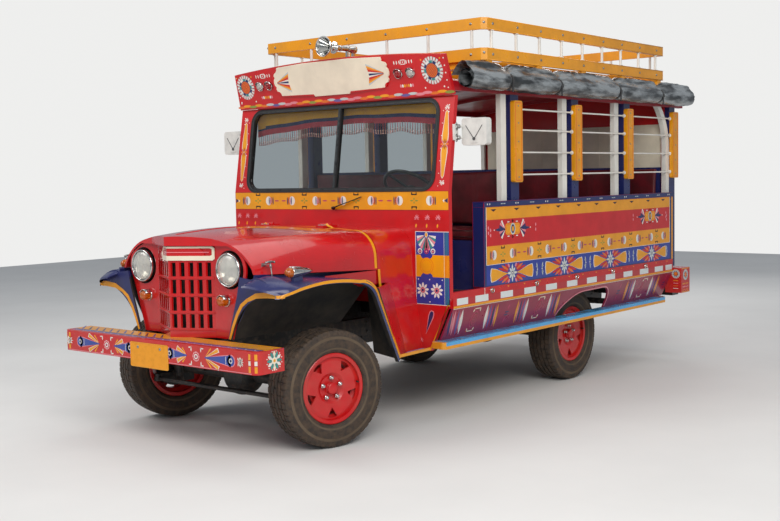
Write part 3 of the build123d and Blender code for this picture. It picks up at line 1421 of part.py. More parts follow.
NODES = {
    "chassis_frame": chassis_frame,
    "leaf_springs": leaf_springs,
    "front_axle": front_axle,
    "rear_axle": rear_axle,
    "engine_and_radiator": engine_and_radiator,
    "drive_shafts": drive_shafts,
    "exhaust_pipe": exhaust_pipe,
    "fuel_tank": fuel_tank,
    "front_bumper": front_bumper,
    "grille_panel": grille_panel,
    "headlamps": headlamps,
    "marker_lamps": marker_lamps,
    "front_fenders": lambda: both_sides(front_fender()),
    "bonnet": bonnet,
    "cowl": cowl,
    "front_wall": front_wall,
    "windscreen_seal": windscreen_seal,
    "windscreen_glass": windscreen_glass,
    "header_board": header_board,
    "roof": roof,
    "roof_rack": roof_rack,
    "side_rolls": side_rolls,
    "air_horn": air_horn,
    "door_mirrors": lambda: both_sides(door_mirror()),
    "floor": floor,
    "side_panel": side_panel,
    "body_sills": body_sills,
    "running_boards": running_boards,
    "body_posts": body_posts,
    "bench_frames": bench_frames,
    "bench_seats": bench_seats,
    "dashboard": dashboard,
    "steering_wheel": steering_wheel,
    "rear_wall": rear_wall,
    "rear_bumper": rear_bumper,
    "windscreen_fringe": windscreen_fringe,
    "knuckle_left": lambda: knuckle(1),
    "knuckle_right": lambda: knuckle(-1),
    "tie_rod": tie_rod,
    "tyre_front_left": lambda: wheel_place(tyre(), FRONT_AXLE_X, TRACK_HALF, 1, REST_STEER),
    "tyre_front_right": lambda: wheel_place(tyre(), FRONT_AXLE_X, TRACK_HALF, -1, REST_STEER),
    "tyre_rear_left": lambda: wheel_place(tyre(), REAR_AXLE_X, TRACK_HALF, 1, None),
    "tyre_rear_right": lambda: wheel_place(tyre(), REAR_AXLE_X, TRACK_HALF, -1, None),
    "rim_front_left": lambda: wheel_place(rim(), FRONT_AXLE_X, TRACK_HALF, 1, REST_STEER),
    "rim_front_right": lambda: wheel_place(rim(), FRONT_AXLE_X, TRACK_HALF, -1, REST_STEER),
    "rim_rear_left": lambda: wheel_place(rim(), REAR_AXLE_X, TRACK_HALF, 1, None),
    "rim_rear_right": lambda: wheel_place(rim(), REAR_AXLE_X, TRACK_HALF, -1, None),
}


def main():
    """Write one STEP file for each node."""
    os.makedirs("parts", exist_ok=True)
    for name, make in NODES.items():
        shape = make()
        shapes = shape if isinstance(shape, (list, tuple)) else [shape]
        solids = []
        for piece in shapes:
            solids += piece.solids()
        whole = solids[0] if len(solids) == 1 else Compound(children=solids)
        whole.label = name
        export_step(whole, "parts/" + name + ".step")


main()
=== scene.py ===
"""Chiva bus: paint, glass, rubber, cloth and trim laid over the packed frame.

Metres, in the frame's own axes: +X forward, +Y to the vehicle's left, +Z up.
"""
import json
import math

import bmesh
import bpy
from mathutils import Matrix, Vector, noise
from mathutils.bvhtree import BVHTree


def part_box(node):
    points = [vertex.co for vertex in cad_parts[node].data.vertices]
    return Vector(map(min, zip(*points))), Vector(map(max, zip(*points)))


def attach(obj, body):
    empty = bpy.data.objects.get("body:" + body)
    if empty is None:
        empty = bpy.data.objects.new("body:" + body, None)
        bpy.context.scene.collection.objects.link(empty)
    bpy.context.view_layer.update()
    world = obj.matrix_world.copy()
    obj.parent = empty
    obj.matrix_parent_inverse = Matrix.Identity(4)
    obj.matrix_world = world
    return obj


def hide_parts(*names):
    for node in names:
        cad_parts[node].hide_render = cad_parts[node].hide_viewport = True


bl_info = {
    "name": "Chiva Bus",
    "version": (1, 0, 0),
    "blender": (4, 5, 0),
    "location": "View3D > Sidebar > Chiva Bus",
    "description": "Dresses the packed frame of an open-sided wooden bus",
    "category": "Object",
}

PI = math.pi
SIDES = (("left", 1), ("right", -1))
FORWARD, REARWARD, UPWARD, DOWNWARD = (1, 0, 0), (-1, 0, 0), (0, 0, 1), (0, 0, -1)

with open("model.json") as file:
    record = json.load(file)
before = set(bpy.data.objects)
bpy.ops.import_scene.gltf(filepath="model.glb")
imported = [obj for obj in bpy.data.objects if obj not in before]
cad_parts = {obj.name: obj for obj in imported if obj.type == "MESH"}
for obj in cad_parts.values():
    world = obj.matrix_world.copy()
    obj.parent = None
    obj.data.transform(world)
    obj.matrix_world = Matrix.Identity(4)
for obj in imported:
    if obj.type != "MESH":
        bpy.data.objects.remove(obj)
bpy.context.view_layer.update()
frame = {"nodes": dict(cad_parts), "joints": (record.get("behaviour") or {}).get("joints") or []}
JOINTS = {joint["name"]: joint for joint in frame["joints"]}
FRONT_AXLE = JOINTS["steering_left"]["pos_m"][0]

# Faces of the frame that the paint lies on; a distance is counted back from the front axle
BUMPER_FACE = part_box("front_bumper")[1].x
BUMPER_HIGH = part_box("front_bumper")[1].z
BUMPER_MIDDLE = 0.5865
BUMPER_STRAIGHT = 0.820
BUMPER_CORNER = 0.045
FENDER_SIDE = 0.842
FENDER_CORNER = 0.135
WALL_DISTANCE = 0.869
WALL_FACE = FRONT_AXLE - WALL_DISTANCE
WINDSCREEN_LOW = 1.469
WINDSCREEN_HIGH = 2.068
WINDSCREEN_RAKE = 0.091
HEADER_HIGH = 2.317
HEADER_LEAN = 0.069
HEADER_STEP = 0.019
SIDE_FACE = 0.972
SILL_TOP = 0.828
PANEL_FRONT = 1.249
PANEL_REAR = 4.036
PANEL_CAP = 1.388
BODY_REAR = 4.038
BENCH_FIRST = 1.620
BENCH_PITCH = 0.806
BENCH_THICK = 0.100
WHEELBASE = 2.642
STEP_TOP = 0.512
FLOOR_TOP = 0.800
DASH_DISTANCE = 1.001
RACK_FRONT = 1.242
RACK_REAR = 3.796
LADDER_DISTANCE = 4.098


def back(distance):
    """X of a point that lies behind the front axle."""
    return FRONT_AXLE - distance


# Colours and materials

PAINTS = {
    "red": "#CB0C12",
    "deep_red": "#A60D1C",
    "maroon": "#8C0C2A",
    "wine": "#9A1440",
    "navy": "#1C2660",
    "blue": "#223A9A",
    "step_blue": "#52AEE6",
    "arrow": "#27459E",
    "yellow": "#F0A004",
    "lemon": "#E8B51E",
    "orange": "#E8701A",
    "pink": "#E58A94",
    "rose": "#BC3260",
    "white": "#EDE9E0",
    "grey": "#C4CBC9",
    "teal": "#2C8F8A",
    "cream": "#F0E6CE",
    "purple": "#6A5A9C",
    "green": "#8E9A3A",
    "black": "#16151A",
}
ROAD_DUST = "#8C7A64"
DUST_TOP, DUST_FULL = 1.15, 0.45
ENAMEL_DUST = 0.18
PLASTIC_DUST = 0.3
# A wave texture has one band in this many of its units
WAVE_UNITS = 6.3


def linear(colour):
    """Linear RGBA from an sRGB hex value."""
    channels = []
    for start in (1, 3, 5):
        value = int(colour[start:start + 2], 16) / 255
        channels.append(value / 12.92 if value <= 0.04045 else ((value + 0.055) / 1.055) ** 2.4)
    return (*channels, 1.0)


def worn(shade, share, lift=0.0):
    """A linear colour, darkened to a share of itself and lifted."""
    return tuple(c * share + lift for c in shade[:3]) + (1.0,)


def add_node(tree, kind, values=None):
    """Add a node. A socket is linked to the input of that name; other values are set."""
    node = tree.nodes.new("ShaderNode" + kind)
    for key, value in (values or {}).items():
        if isinstance(value, bpy.types.NodeSocket):
            tree.links.new(value, node.inputs[key])
        elif isinstance(key, int) or key in node.inputs:
            node.inputs[key].default_value = value
        else:
            setattr(node, key, value)
    return node


class Shading:
    """A material while it is built, textured in the object's own metres."""

    def __init__(self, name, surface):
        self.material = bpy.data.materials.new(name)
        self.material.use_nodes = True
        self.tree = self.material.node_tree
        self.tree.nodes.clear()
        self.shader = add_node(self.tree, "BsdfPrincipled", surface)
        add_node(self.tree, "OutputMaterial", {"Surface": self.shader.outputs["BSDF"]})
        self.place = self.add("TexCoord").outputs["Object"]

    def add(self, kind, values=None):
        return add_node(self.tree, kind, values)

    def noise(self, size, detail=3.0, rough=0.55, place=None):
        """Noise whose lumps are about that many metres across."""
        vector = self.place if place is None else place
        values = {"Vector": vector, "Scale": 1.0 / size, "Detail": detail, "Roughness": rough}
        return self.add("TexNoise", values).outputs["Fac"]

    def wave(self, pitch, direction, distortion=0.0):
        """Bands that many metres apart."""
        values = {"bands_direction": direction, "Scale": 1.0 / pitch / WAVE_UNITS, "Distortion": distortion}
        return self.add("TexWave", {"Vector": self.place, **values}).outputs["Fac"]

    def cells(self, size):
        """Distance from the middle of cells that many metres across."""
        return self.add("TexVoronoi", {"Vector": self.place, "Scale": 1.0 / size}).outputs["Distance"]

    def stretched(self, scale):
        """The coordinates, scaled along each axis."""
        return self.add("Mapping", {"Vector": self.place, "Scale": scale}).outputs["Vector"]

    def math(self, operation, first, second=0.5):
        return self.add("Math", {"operation": operation, 0: first, 1: second}).outputs[0]

    def between(self, value, low, high, to_low=0.0, to_high=1.0):
        """Map a value from one range to another, clamped."""
        ranges = {"From Min": low, "From Max": high, "To Min": to_low, "To Max": to_high}
        return self.add("MapRange", {"Value": value, **ranges}).outputs["Result"]

    def blend(self, factor, first, second):
        """Mix two colours, each a socket or a plain linear value."""
        node = self.add("Mix", {"data_type": "RGBA", "Factor": factor})
        for key, value in (("A", first), ("B", second)):
            socket = [s for s in node.inputs if s.name == key and s.type == "RGBA"][0]
            if isinstance(value, bpy.types.NodeSocket):
                self.tree.links.new(value, socket)
            else:
                socket.default_value = value
        return [s for s in node.outputs if s.type == "RGBA"][0]

    def dusty(self, colour, most):
        """Settle pale road dust on the lower parts, fading out at window height."""
        height = self.add("SeparateXYZ", {0: self.place}).outputs["Z"]
        low = self.between(height, DUST_TOP, DUST_FULL, 0.0, most)
        patch = self.between(self.noise(0.18, 6.0, 0.65), 0.38, 0.72)
        return self.blend(self.math("MULTIPLY", low, patch), colour, linear(ROAD_DUST))

    def coat(self, colour, factor, smooth, rough, top=1.0):
        """Link the colour, and the roughness that a factor from 0 to top takes across its range."""
        self.tree.links.new(colour, self.shader.inputs["Base Color"])
        self.tree.links.new(self.between(factor, 0.0, top, smooth, rough), self.shader.inputs["Roughness"])

    def bump(self, height, distance, strength):
        """Feed a height into the shader's normal."""
        values = {"Height": height, "Strength": strength, "Distance": distance}
        self.tree.links.new(self.add("Bump", values).outputs["Normal"], self.shader.inputs["Normal"])


MADE = {}


def once(build):
    """Build the material of each name a single time; the name is the first value."""
    def kept(name, *values, **named):
        if name not in MADE:
            MADE[name] = build(name, *values, **named).material
        return MADE[name]
    kept.__doc__ = build.__doc__
    return kept


@once
def alkyd(name, key, gloss, coat, rough):
    """Alkyd enamel with slow fading; gloss and coat are the clear layer's weight and roughness."""
    paint = Shading(name, {"IOR": 1.5, "Coat Weight": gloss, "Coat Roughness": coat})
    shade = linear(PAINTS[key])
    # fading comes in patches about a hand's breadth wide
    patches = paint.between(paint.noise(0.16, 4.0), 0.35, 0.70)
    colour = paint.blend(patches, shade, worn(shade, 0.84, 0.002))
    paint.coat(paint.dusty(colour, ENAMEL_DUST), patches, rough, rough + 0.14)
    # brush sag about 6 mm apart, too fine to see but enough to break up a reflection
    paint.bump(paint.noise(0.006, 2.0), 0.0004, 0.25)
    return paint


def enamel(key):
    """Alkyd enamel brushed on wood, with faint sag."""
    return alkyd("enamel_" + key, key, 0.22, 0.08, 0.28)


def sprayed(key):
    """Alkyd enamel sprayed and polished on sheet metal."""
    return alkyd("sprayed_enamel_" + key, key, 0.8, 0.04, 0.16)


@once
def split_enamel(name, keys, axis, limit, above=None, dust=0.25):
    """Enamel in two colours that meet on a plane: past the limit, or between it and above."""
    paint = Shading(name, {"IOR": 1.5, "Coat Weight": 0.22, "Coat Roughness": 0.08})
    parts = paint.add("SeparateXYZ", {0: paint.place}).outputs
    if axis == "Z":
        value = parts["Z"]
    else:
        value = paint.math("ABSOLUTE", parts["Y"])
    if axis == "flank":
        # the plane that runs back and inwards from the arch's upper rear corner
        across = paint.math("MULTIPLY", value, 0.27)
        value = paint.math("ADD", across, paint.math("MULTIPLY", parts["X"], -0.15))
    factor = paint.math("GREATER_THAN", value, limit)
    if above is not None:
        factor = paint.math("MULTIPLY", factor, paint.math("LESS_THAN", value, above))
    colour = paint.blend(factor, linear(PAINTS[keys[0]]), linear(PAINTS[keys[1]]))
    patches = paint.between(paint.noise(0.16, 4.0), 0.35, 0.70, 0.0, 0.22)
    colour = paint.blend(patches, colour, linear("#3A2A28"))
    paint.coat(paint.dusty(colour, dust), patches, 0.26, 0.42, 0.22)
    paint.bump(paint.noise(0.006, 2.0), 0.0004, 0.25)
    return paint


@once
def metal(name, colour, metallic, roughness, grain, depth, spots=None):
    """A metal or metal paint whose surface grain is that many metres across."""
    skin = Shading(name, {"Metallic": metallic})
    shade = linear(colour)
    factor = skin.between(skin.noise(0.03, 5.0), 0.45, 0.75)
    dark = linear(spots) if spots else worn(shade, 0.7)
    skin.coat(skin.blend(factor, shade, dark), factor, roughness, roughness + 0.15)
    skin.bump(skin.noise(grain, 2.0), depth, 0.3)
    return skin


def chromed():
    """Chromed brass or steel: bright, with a little pitting and road film."""
    return metal("chromed_steel", "#D6D7D6", 1.0, 0.07, 0.02, 0.0002, "#A9A69E")


def zinc_steel():
    """Zinc-plated steel hardware."""
    return metal("zinc_plated_steel", "#A7A8A6", 1.0, 0.32, 0.003, 0.0003)


def chassis_black():
    """Black chassis enamel under road dirt."""
    return metal("chassis_black_enamel", "#1B1A1A", 0.0, 0.45, 0.004, 0.0006, "#4B4136")


def cast_iron():
    """Sand-cast iron, oily and dull."""
    return metal("sand_cast_iron", "#3A3A3A", 0.55, 0.6, 0.003, 0.0012, "#2A211B")


@once
def moulded(name, colour, roughness, grain=0.0015, coat=0.0):
    """Moulded plastic or rubber with an even fine grain."""
    skin = Shading(name, {"IOR": 1.5, "Coat Weight": coat})
    shade = linear(colour)
    factor = skin.between(skin.noise(0.05, 5.0), 0.4, 0.7)
    colour = skin.dusty(skin.blend(factor, shade, worn(shade, 0.82, 0.01)), PLASTIC_DUST)
    skin.coat(colour, factor, roughness, roughness + 0.12)
    skin.bump(skin.noise(grain, 2.0), 0.0003, 0.3)
    return skin


def extruded_rubber():
    """Black extruded rubber of seals, blades and valves."""
    return moulded("extruded_rubber", "#151517", 0.55)


def bakelite():
    """Black moulded bakelite, polished by hands."""
    return moulded("moulded_bakelite", "#17171A", 0.3, coat=0.3)


def white_plastic():
    """White moulded plastic of the mirror shells."""
    return moulded("moulded_white_plastic", "#DCDAD4", 0.35)


@once
def vulcanised(name):
    """Vulcanised tyre rubber, greyed by dust on the tread and the sidewall's ribs."""
    skin = Shading(name, {"IOR": 1.52})
    dust = skin.between(skin.noise(0.035, 7.0, 0.65), 0.38, 0.72)
    fine = skin.between(skin.noise(0.012, 4.0), 0.4, 0.7, 0.0, 0.5)
    colour = skin.blend(dust, linear("#2A221C"), linear("#5A4838"))
    skin.coat(skin.blend(fine, colour, linear("#3A2E25")), dust, 0.62, 0.88)
    skin.bump(skin.noise(0.0025, 3.0), 0.0006, 0.35)
    return skin


def tyre_rubber():
    """The tyres' rubber."""
    return vulcanised("tyre_rubber")


@once
def lamp_lens(name, colour, roughness=0.12, pitch=0.006, clear=0.55):
    """Pressed lamp glass or acrylic with fluting; the pitch is the flutes' spacing."""
    lens = Shading(name, {"Base Color": linear(colour), "Transmission Weight": clear, "IOR": 1.5,
                          "Roughness": roughness, "Coat Weight": 0.6, "Coat Roughness": 0.03})
    lens.bump(lens.wave(pitch, "Y", 0.6), 0.0012, 0.5)
    return lens


def amber_acrylic():
    """Amber acrylic of turn lamps and side markers."""
    return lamp_lens("moulded_amber_acrylic", "#EE7A10", 0.16, 0.005)


def red_acrylic():
    """Red acrylic of tail and header lamps."""
    return lamp_lens("moulded_red_acrylic", "#C01A1E", 0.14, 0.004)


@once
def flat_glass(name):
    """Flat laminated glass with a faint film of dust."""
    pane = Shading(name, {"Base Color": linear("#E4EBE8"), "Transmission Weight": 1.0, "IOR": 1.45})
    film = pane.between(pane.noise(0.3, 4.0), 0.35, 0.75, 0.0, 0.05)
    pane.tree.links.new(film, pane.shader.inputs["Roughness"])
    return pane


def window_glass():
    """The windows' and gauges' glass."""
    return flat_glass("laminated_glass")


@once
def sawn_wood(name, dark, light):
    """Planed hardwood boards whose grain runs lengthways."""
    wood = Shading(name, {"IOR": 1.5})
    lines = wood.between(wood.noise(0.012, 6.0, 0.6, wood.stretched((0.06, 1.0, 1.0))), 0.3, 0.7)
    wood.coat(wood.blend(lines, linear(dark), linear(light)), lines, 0.6, 0.45)
    wood.bump(lines, 0.0006, 0.3)
    return wood


@once
def woven(name, warp, weft, pitch, sheen=0.2):
    """Plain-woven cloth; the threads are drawn as wide as pitch so that they show."""
    cloth = Shading(name, {"Sheen Weight": sheen, "Roughness": 0.8})
    both = cloth.math("MULTIPLY", cloth.wave(pitch, "Y"), cloth.wave(pitch, "Z"))
    cloth.tree.links.new(cloth.blend(both, linear(warp), linear(weft)), cloth.shader.inputs["Base Color"])
    cloth.bump(both, 0.0008, 0.5)
    return cloth


@once
def upholstery(name):
    """Embossed upholstery vinyl: soft gloss, leather grain about 3 mm across."""
    skin = Shading(name, {"IOR": 1.5, "Coat Weight": 0.1})
    shade = skin.between(skin.noise(0.12, 4.0), 0.35, 0.7)
    skin.coat(skin.blend(shade, linear("#6B1A22"), linear("#4A1318")), shade, 0.38, 0.52)
    skin.bump(skin.cells(0.003), 0.0006, 0.4)
    return skin


def vinyl():
    """The cushions' vinyl."""
    return upholstery("embossed_vinyl")


@once
def tarpaulin(name):
    """Coated tarpaulin: a silvered face, scuffed dark along its folds."""
    sheet = Shading(name, {"Metallic": 0.25, "Coat Weight": 0.3, "Coat Roughness": 0.15})
    along = sheet.stretched((0.25, 1.0, 1.0))
    scuffs = sheet.between(sheet.noise(0.05, 4.0, 0.55, along), 0.40, 0.60)
    sheet.coat(sheet.blend(scuffs, linear("#2C2F31"), linear("#9A9FA1")), scuffs, 0.30, 0.24)
    sheet.bump(sheet.noise(0.05, 3.0, place=along), 0.006, 0.35)
    return sheet


def coated_sheet():
    """The side sheets' cloth."""
    return tarpaulin("coated_tarpaulin")


@once
def marker_tape(name, colour):
    """Retroreflective tape: a glassy film over fine hexagonal cells."""
    tape = Shading(name, {"Base Color": linear(colour), "Roughness": 0.3, "Coat Weight": 0.6,
                          "Coat Roughness": 0.1})
    tape.bump(tape.cells(0.004), 0.0005, 0.3)
    return tape


# Shapes

def facing(origin, direction, up=UPWARD):
    """Matrix whose Z looks along a direction from an origin."""
    z = Vector(direction).normalized()
    x = Vector(up).cross(z)
    if x.length < 1e-6:
        x = Vector((1, 0, 0))
    x.normalize()
    rows = Matrix((x, z.cross(x), z)).transposed().to_4x4()
    return Matrix.Translation(Vector(origin)) @ rows


def circle(count):
    """Cosine and sine of equal steps round a full turn."""
    return [(math.cos(2 * PI * k / count), math.sin(2 * PI * k / count)) for k in range(count)]


def ease_edges(thing, width, angle):
    """Round the edges that are sharper than an angle in degrees."""
    bevel = thing.modifiers.new("eased_edges", "BEVEL")
    bevel.width = width
    bevel.segments = 2
    bevel.limit_method = "ANGLE"
    bevel.angle_limit = math.radians(angle)


def split_edges(thing, name, angle):
    """Keep edges crisp where faces meet at more than an angle in degrees."""
    crisp = thing.modifiers.new(name, "EDGE_SPLIT")
    crisp.split_angle = math.radians(angle)


class Stock:
    """Faces gathered for one piece, each with the number of its material."""

    def __init__(self):
        self.points = []
        self.faces = []
        self.finishes = []
        self.smooth = []

    def add(self, points, faces, finish=0, smooth=False):
        start = len(self.points)
        self.points += [tuple(p) for p in points]
        for face in faces:
            self.faces.append([start + i for i in face])
            self.finishes.append(finish)
            self.smooth.append(smooth)

    def loft(self, rings, finish=0, smooth=False, around=True, ends="capped"):
        """Skin equal rings of points, closed around or not; the ends are capped, joined or open.

        The finish is a number, or a function of a face's ring and place in it.
        """
        start, count, total = len(self.points), len(rings[0]), len(rings)
        self.add([p for ring in rings for p in ring], [])
        for r in range(total if ends == "joined" else total - 1):
            near, far = start + r * count, start + (r + 1) % total * count
            for k in range(count if around else count - 1):
                n = (k + 1) % count
                self.faces.append([near + k, near + n, far + n, far + k])
                self.finishes.append(finish(r, k) if callable(finish) else finish)
                self.smooth.append(smooth)
        if ends == "capped":
            first = start - len(self.points)
            self.add([], [list(range(first, first + count))[::-1], list(range(-count, 0))], finish, smooth)

    def slab(self, outline, low, high, place, finish=0):
        """Closed plate over a flat outline, between two heights above its surface."""
        self.loft([[place(a, b, height) for a, b in outline] for height in (low, high)], finish)

    def ring_plate(self, outer, inner, low, high, place, finish=0):
        """Flat frame between two outlines with the same number of points."""
        rings = ((outer, low), (outer, high), (inner, high), (inner, low))
        self.loft([[place(a, b, height) for a, b in line] for line, height in rings], finish, ends="joined")

    def turned(self, profile, matrix, segments=32, finish=0, ends="joined"):
        """Turn (radius, height) points about the matrix's Z."""
        rings = [[matrix @ Vector((radius * c, radius * s, height)) for c, s in circle(segments)]
                 for radius, height in profile]
        self.loft(rings, finish, True, ends=ends)

    def knob(self, profile, matrix, segments=24, finish=0):
        """A turned solid whose profile starts and ends on its axis."""
        self.turned(profile[1:-1], matrix, segments, finish, "open")
        total = segments * (len(profile) - 2)
        for end, first in ((0, -total), (-1, -segments - 1)):
            tip = matrix @ Vector((0, 0, profile[end][1]))
            fan = [[0, first + (k + 1) % segments, first + k] for k in range(segments)]
            self.add([tip], fan, finish, True)

    def rod(self, path, radius, segments=10, finish=0):
        """Round bar along a path of points, with closed ends."""
        path = [Vector(p) for p in path]
        rings, side = [], None
        for index, point in enumerate(path):
            run = (path[min(index + 1, len(path) - 1)] - path[max(index - 1, 0)]).normalized()
            side = run.orthogonal() if side is None else side - run * side.dot(run)
            side.normalize()
            up = run.cross(side)
            wide = radius[index] if isinstance(radius, (list, tuple)) else radius
            rings.append([point + (side * c + up * s) * wide for c, s in circle(segments)])
        self.loft(rings, finish, True)

    def brick(self, low, high, finish=0):
        """Plain block between two corners."""
        self.slab(bar(low[0], high[0], low[1], high[1]), low[2], high[2], lambda a, b, h: (a, b, h), finish)

    def strip(self, pairs, lift, finish=0, closed=False):
        """Thin painted line or beading laid along pairs of points, lifted along each pair's normal."""
        rings = []
        for left, right, normal in pairs:
            left, right, normal = Vector(left), Vector(right), Vector(normal)
            sunk = normal * STRIP_SUNK
            rings.append([left - sunk, right - sunk, right + normal * lift, left + normal * lift])
        self.loft(rings, finish, ends="joined" if closed else "capped")

    def made(self, name, finishes, ease=0.0, slot=None, body="root"):
        """Make the piece, ride it on its body, and ease its sharp edges."""
        mesh = bpy.data.meshes.new(name)
        mesh.from_pydata(self.points, [], self.faces)
        for material in finishes:
            mesh.materials.append(material)
        for polygon, finish, smooth in zip(mesh.polygons, self.finishes, self.smooth):
            polygon.material_index = finish
            polygon.use_smooth = smooth
        shape = bmesh.new()
        shape.from_mesh(mesh)
        bmesh.ops.recalc_face_normals(shape, faces=shape.faces)
        shape.to_mesh(mesh)
        shape.free()
        mesh.validate()
        piece = bpy.data.objects.new(name, mesh)
        bpy.context.scene.collection.objects.link(piece)
        if ease:
            ease_edges(piece, ease, 40)
        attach(piece, body)
        return piece


# Strokes of paint: each is a level, a colour and a flat outline

STRIP_SUNK = 0.0008
PAINT_SUNK = 0.0004
PAINT_LAYER = 0.0003


def oval(a, b, half_a, half_b, sides=14):
    """Oval patch of paint."""
    return [(a + half_a * c, b + half_b * s) for c, s in circle(sides)]


def disc(a, b, radius, sides=20):
    """Round patch of paint."""
    return oval(a, b, radius, radius, sides)


def bar(a0, a1, b0, b1):
    """Straight band of paint."""
    return [(a0, b0), (a1, b0), (a1, b1), (a0, b1)]


def swung(a, b, angle, flat):
    """An outline turned by an angle in degrees and moved to a centre."""
    c, s = math.cos(math.radians(angle)), math.sin(math.radians(angle))
    return [(a + u * c - v * s, b + u * s + v * c) for u, v in flat]


def brush(a, b, angle, near, far, near_half, far_half):
    """Tapered stroke that leaves a centre at an angle in degrees."""
    return swung(a, b, angle, [(near, -near_half), (far, -far_half), (far, far_half), (near, near_half)])


def leaf(a, b, angle, near, far, half):
    """Pointed petal or leaf that leaves a centre at an angle in degrees."""
    edge = [(near + share * (far - near), width * half) for share,
            width in ((0.25, 0.8), (0.55, 1.0), (0.82, 0.6))]
    flat = [(near, 0)] + [(u, -v) for u, v in edge] + [(far, 0)] + edge[::-1]
    return swung(a, b, angle, flat)


def rounded(a0, a1, b0, b1, radius, steps=5):
    """Rectangle with round corners, anticlockwise from its upper right."""
    corners = ((a1 - radius, b1 - radius, 0), (a0 + radius, b1 - radius, 90), (a0 + radius, b0 + radius, 180),
               (a1 - radius, b0 + radius, 270))
    line = []
    for ca, cb, start in corners:
        for k in range(steps + 1):
            angle = math.radians(start + 90 * k / steps)
            line.append((ca + radius * math.cos(angle), cb + radius * math.sin(angle)))
    return line


def mirrored(strokes):
    """The same strokes on the other side of the middle line."""
    return [(level, key, [(-a, b) for a, b in outline]) for level, key, outline in strokes]


def raised(strokes, levels=1):
    """The same strokes some levels higher."""
    return [(level + levels, key, outline) for level, key, outline in strokes]


def rosette(a, b, radius, count):
    """Round grey flower: short petals, a navy ring and a bright heart."""
    strokes = []
    for k in range(count):
        petal = brush(a, b, 360 * k / count, 0.6 * radius, radius, 0.10 * radius, 0.17 * radius)
        strokes.append((1, "grey", petal))
    strokes += [(2, "grey", disc(a, b, 0.80 * radius, 24)), (3, "navy", disc(a, b, 0.62 * radius, 22))]
    for k in range(8):
        petal = brush(a, b, 45 * k, 0.42 * radius, 0.60 * radius, 0.02 * radius, 0.10 * radius)
        strokes.append((4, "grey", petal))
    return strokes + [(5, "orange", disc(a, b, 0.44 * radius, 20)),
                      (6, "yellow", disc(a, b, 0.12 * radius, 10))]


def daisy(a, b, radius, petal, rings, count):
    """Open flower with pointed petals and ringed heart."""
    strokes = [(1, petal, leaf(a, b, 360 * k / count + 8, 0.35 * radius, radius, 0.17 * radius))
               for k in range(count)]
    for level, (key, share) in enumerate(rings):
        strokes.append((2 + level, key, disc(a, b, share * radius, 18)))
    return strokes


def motif_row(marks, crosses, middle, height):
    """Striped ovals, small brackets and dashes, as on the yellow bands."""
    strokes = []
    for a, sense in marks:
        strokes.append((1, "white", oval(a + sense * 0.012, middle, 0.028, 0.27 * height)))
        for k, key in enumerate(("navy", "rose", "deep_red", "navy")):
            strokes.append((2, key, oval(a + sense * (0.006 - 0.013 * k), middle, 0.0045, 0.24 * height, 10)))
    for a in crosses:
        for end in (1, -1):
            b = middle + end * 0.34 * height
            strokes.append((1, "black", bar(a - 0.022, a + 0.022, b - 0.004, b + 0.004)))
            for side in (1, -1):
                hook = brush(a + side * 0.018, b, 90 - 90 * (1 - end), 0, 0.016, 0.006, 0.002)
                strokes.append((1, "black", hook))
            strokes.append((1, "green", leaf(a, middle, 90 * end, 0.004, 0.02, 0.005)))
        for side in (1, -1):
            strokes.append((1, "green", leaf(a, middle, 90 - 90 * side, 0.006, 0.034, 0.005)))
    for (a, sense), (b, _) in zip(marks, marks[1:]):
        if sense > 0 and b - a < 0.35 or any(a < c < b for c in crosses):
            continue
        gap = (b - a) / 3
        strokes += [(1, "rose", oval(a + gap * k, middle, 0.022, 0.005, 8)) for k in (1, 2)]
    return strokes


def frond(a, b, angle, size, key="white"):
    """Spray of small leaves."""
    return [(1, key, leaf(a, b, angle + turn, 0.12 * size, size * share, 0.09 * size))
            for turn, share in ((-100, 0.62), (-62, 0.8), (-28, 0.92), (0, 1.0), (28, 0.92), (62, 0.8),
                                (100, 0.62))]


def lay_paint(name, strokes, place, slot, base=0.0):
    """Lay strokes of enamel over a surface, the higher levels on top of the lower."""
    keys = sorted({key for _, key, _ in strokes})
    stock = Stock()
    for level, key, outline in strokes:
        stock.slab(outline, base - PAINT_SUNK, base + PAINT_SUNK + PAINT_LAYER * level, place,
                   keys.index(key))
    return stock.made(name, [enamel(key) for key in keys], slot=slot)


# Places on the frame, from two measures on a surface and a height above it

def on_x(x, sense=1):
    """Y and Z on a face that looks forward, or backward where the sense is -1."""
    return lambda a, b, h: (x + sense * h, a, b)


def on_y(y):
    """Distance behind the front axle and Z on a face that looks sideways."""
    side = 1 if y > 0 else -1
    return lambda a, b, h: (back(a), y + side * h, b)


def on_z(z, side=1):
    """Distance behind the front axle and Y on a face that looks up."""
    return lambda a, b, h: (back(a), side * b, z + h)


def arc_points(points, steps=8):
    """Points along an outline whose arcs' middles stand in lists, as (a, b)."""
    line = [points[0]]
    middle = None
    for point in points[1:]:
        if isinstance(point, list):
            middle = point[0]
            continue
        if middle is None:
            line.append(point)
            continue
        (ax, ay), (bx, by), (cx, cy) = line[-1], middle, point
        d = 2 * (ax * (by - cy) + bx * (cy - ay) + cx * (ay - by))
        aa, bb, cc = ax * ax + ay * ay, bx * bx + by * by, cx * cx + cy * cy
        ux = (aa * (by - cy) + bb * (cy - ay) + cc * (ay - by)) / d
        uy = (aa * (cx - bx) + bb * (ax - cx) + cc * (bx - ax)) / d
        radius = math.hypot(ax - ux, ay - uy)
        t0, t1, t2 = (math.atan2(y - uy, x - ux) for x, y in (line[-1], middle, point))
        sweep = (t2 - t0) % (2 * PI)
        if (t1 - t0) % (2 * PI) > sweep:
            sweep -= 2 * PI
        for k in range(1, steps + 1):
            angle = t0 + sweep * k / steps
            line.append((ux + radius * math.cos(angle), uy + radius * math.sin(angle)))
        middle = None
    return line


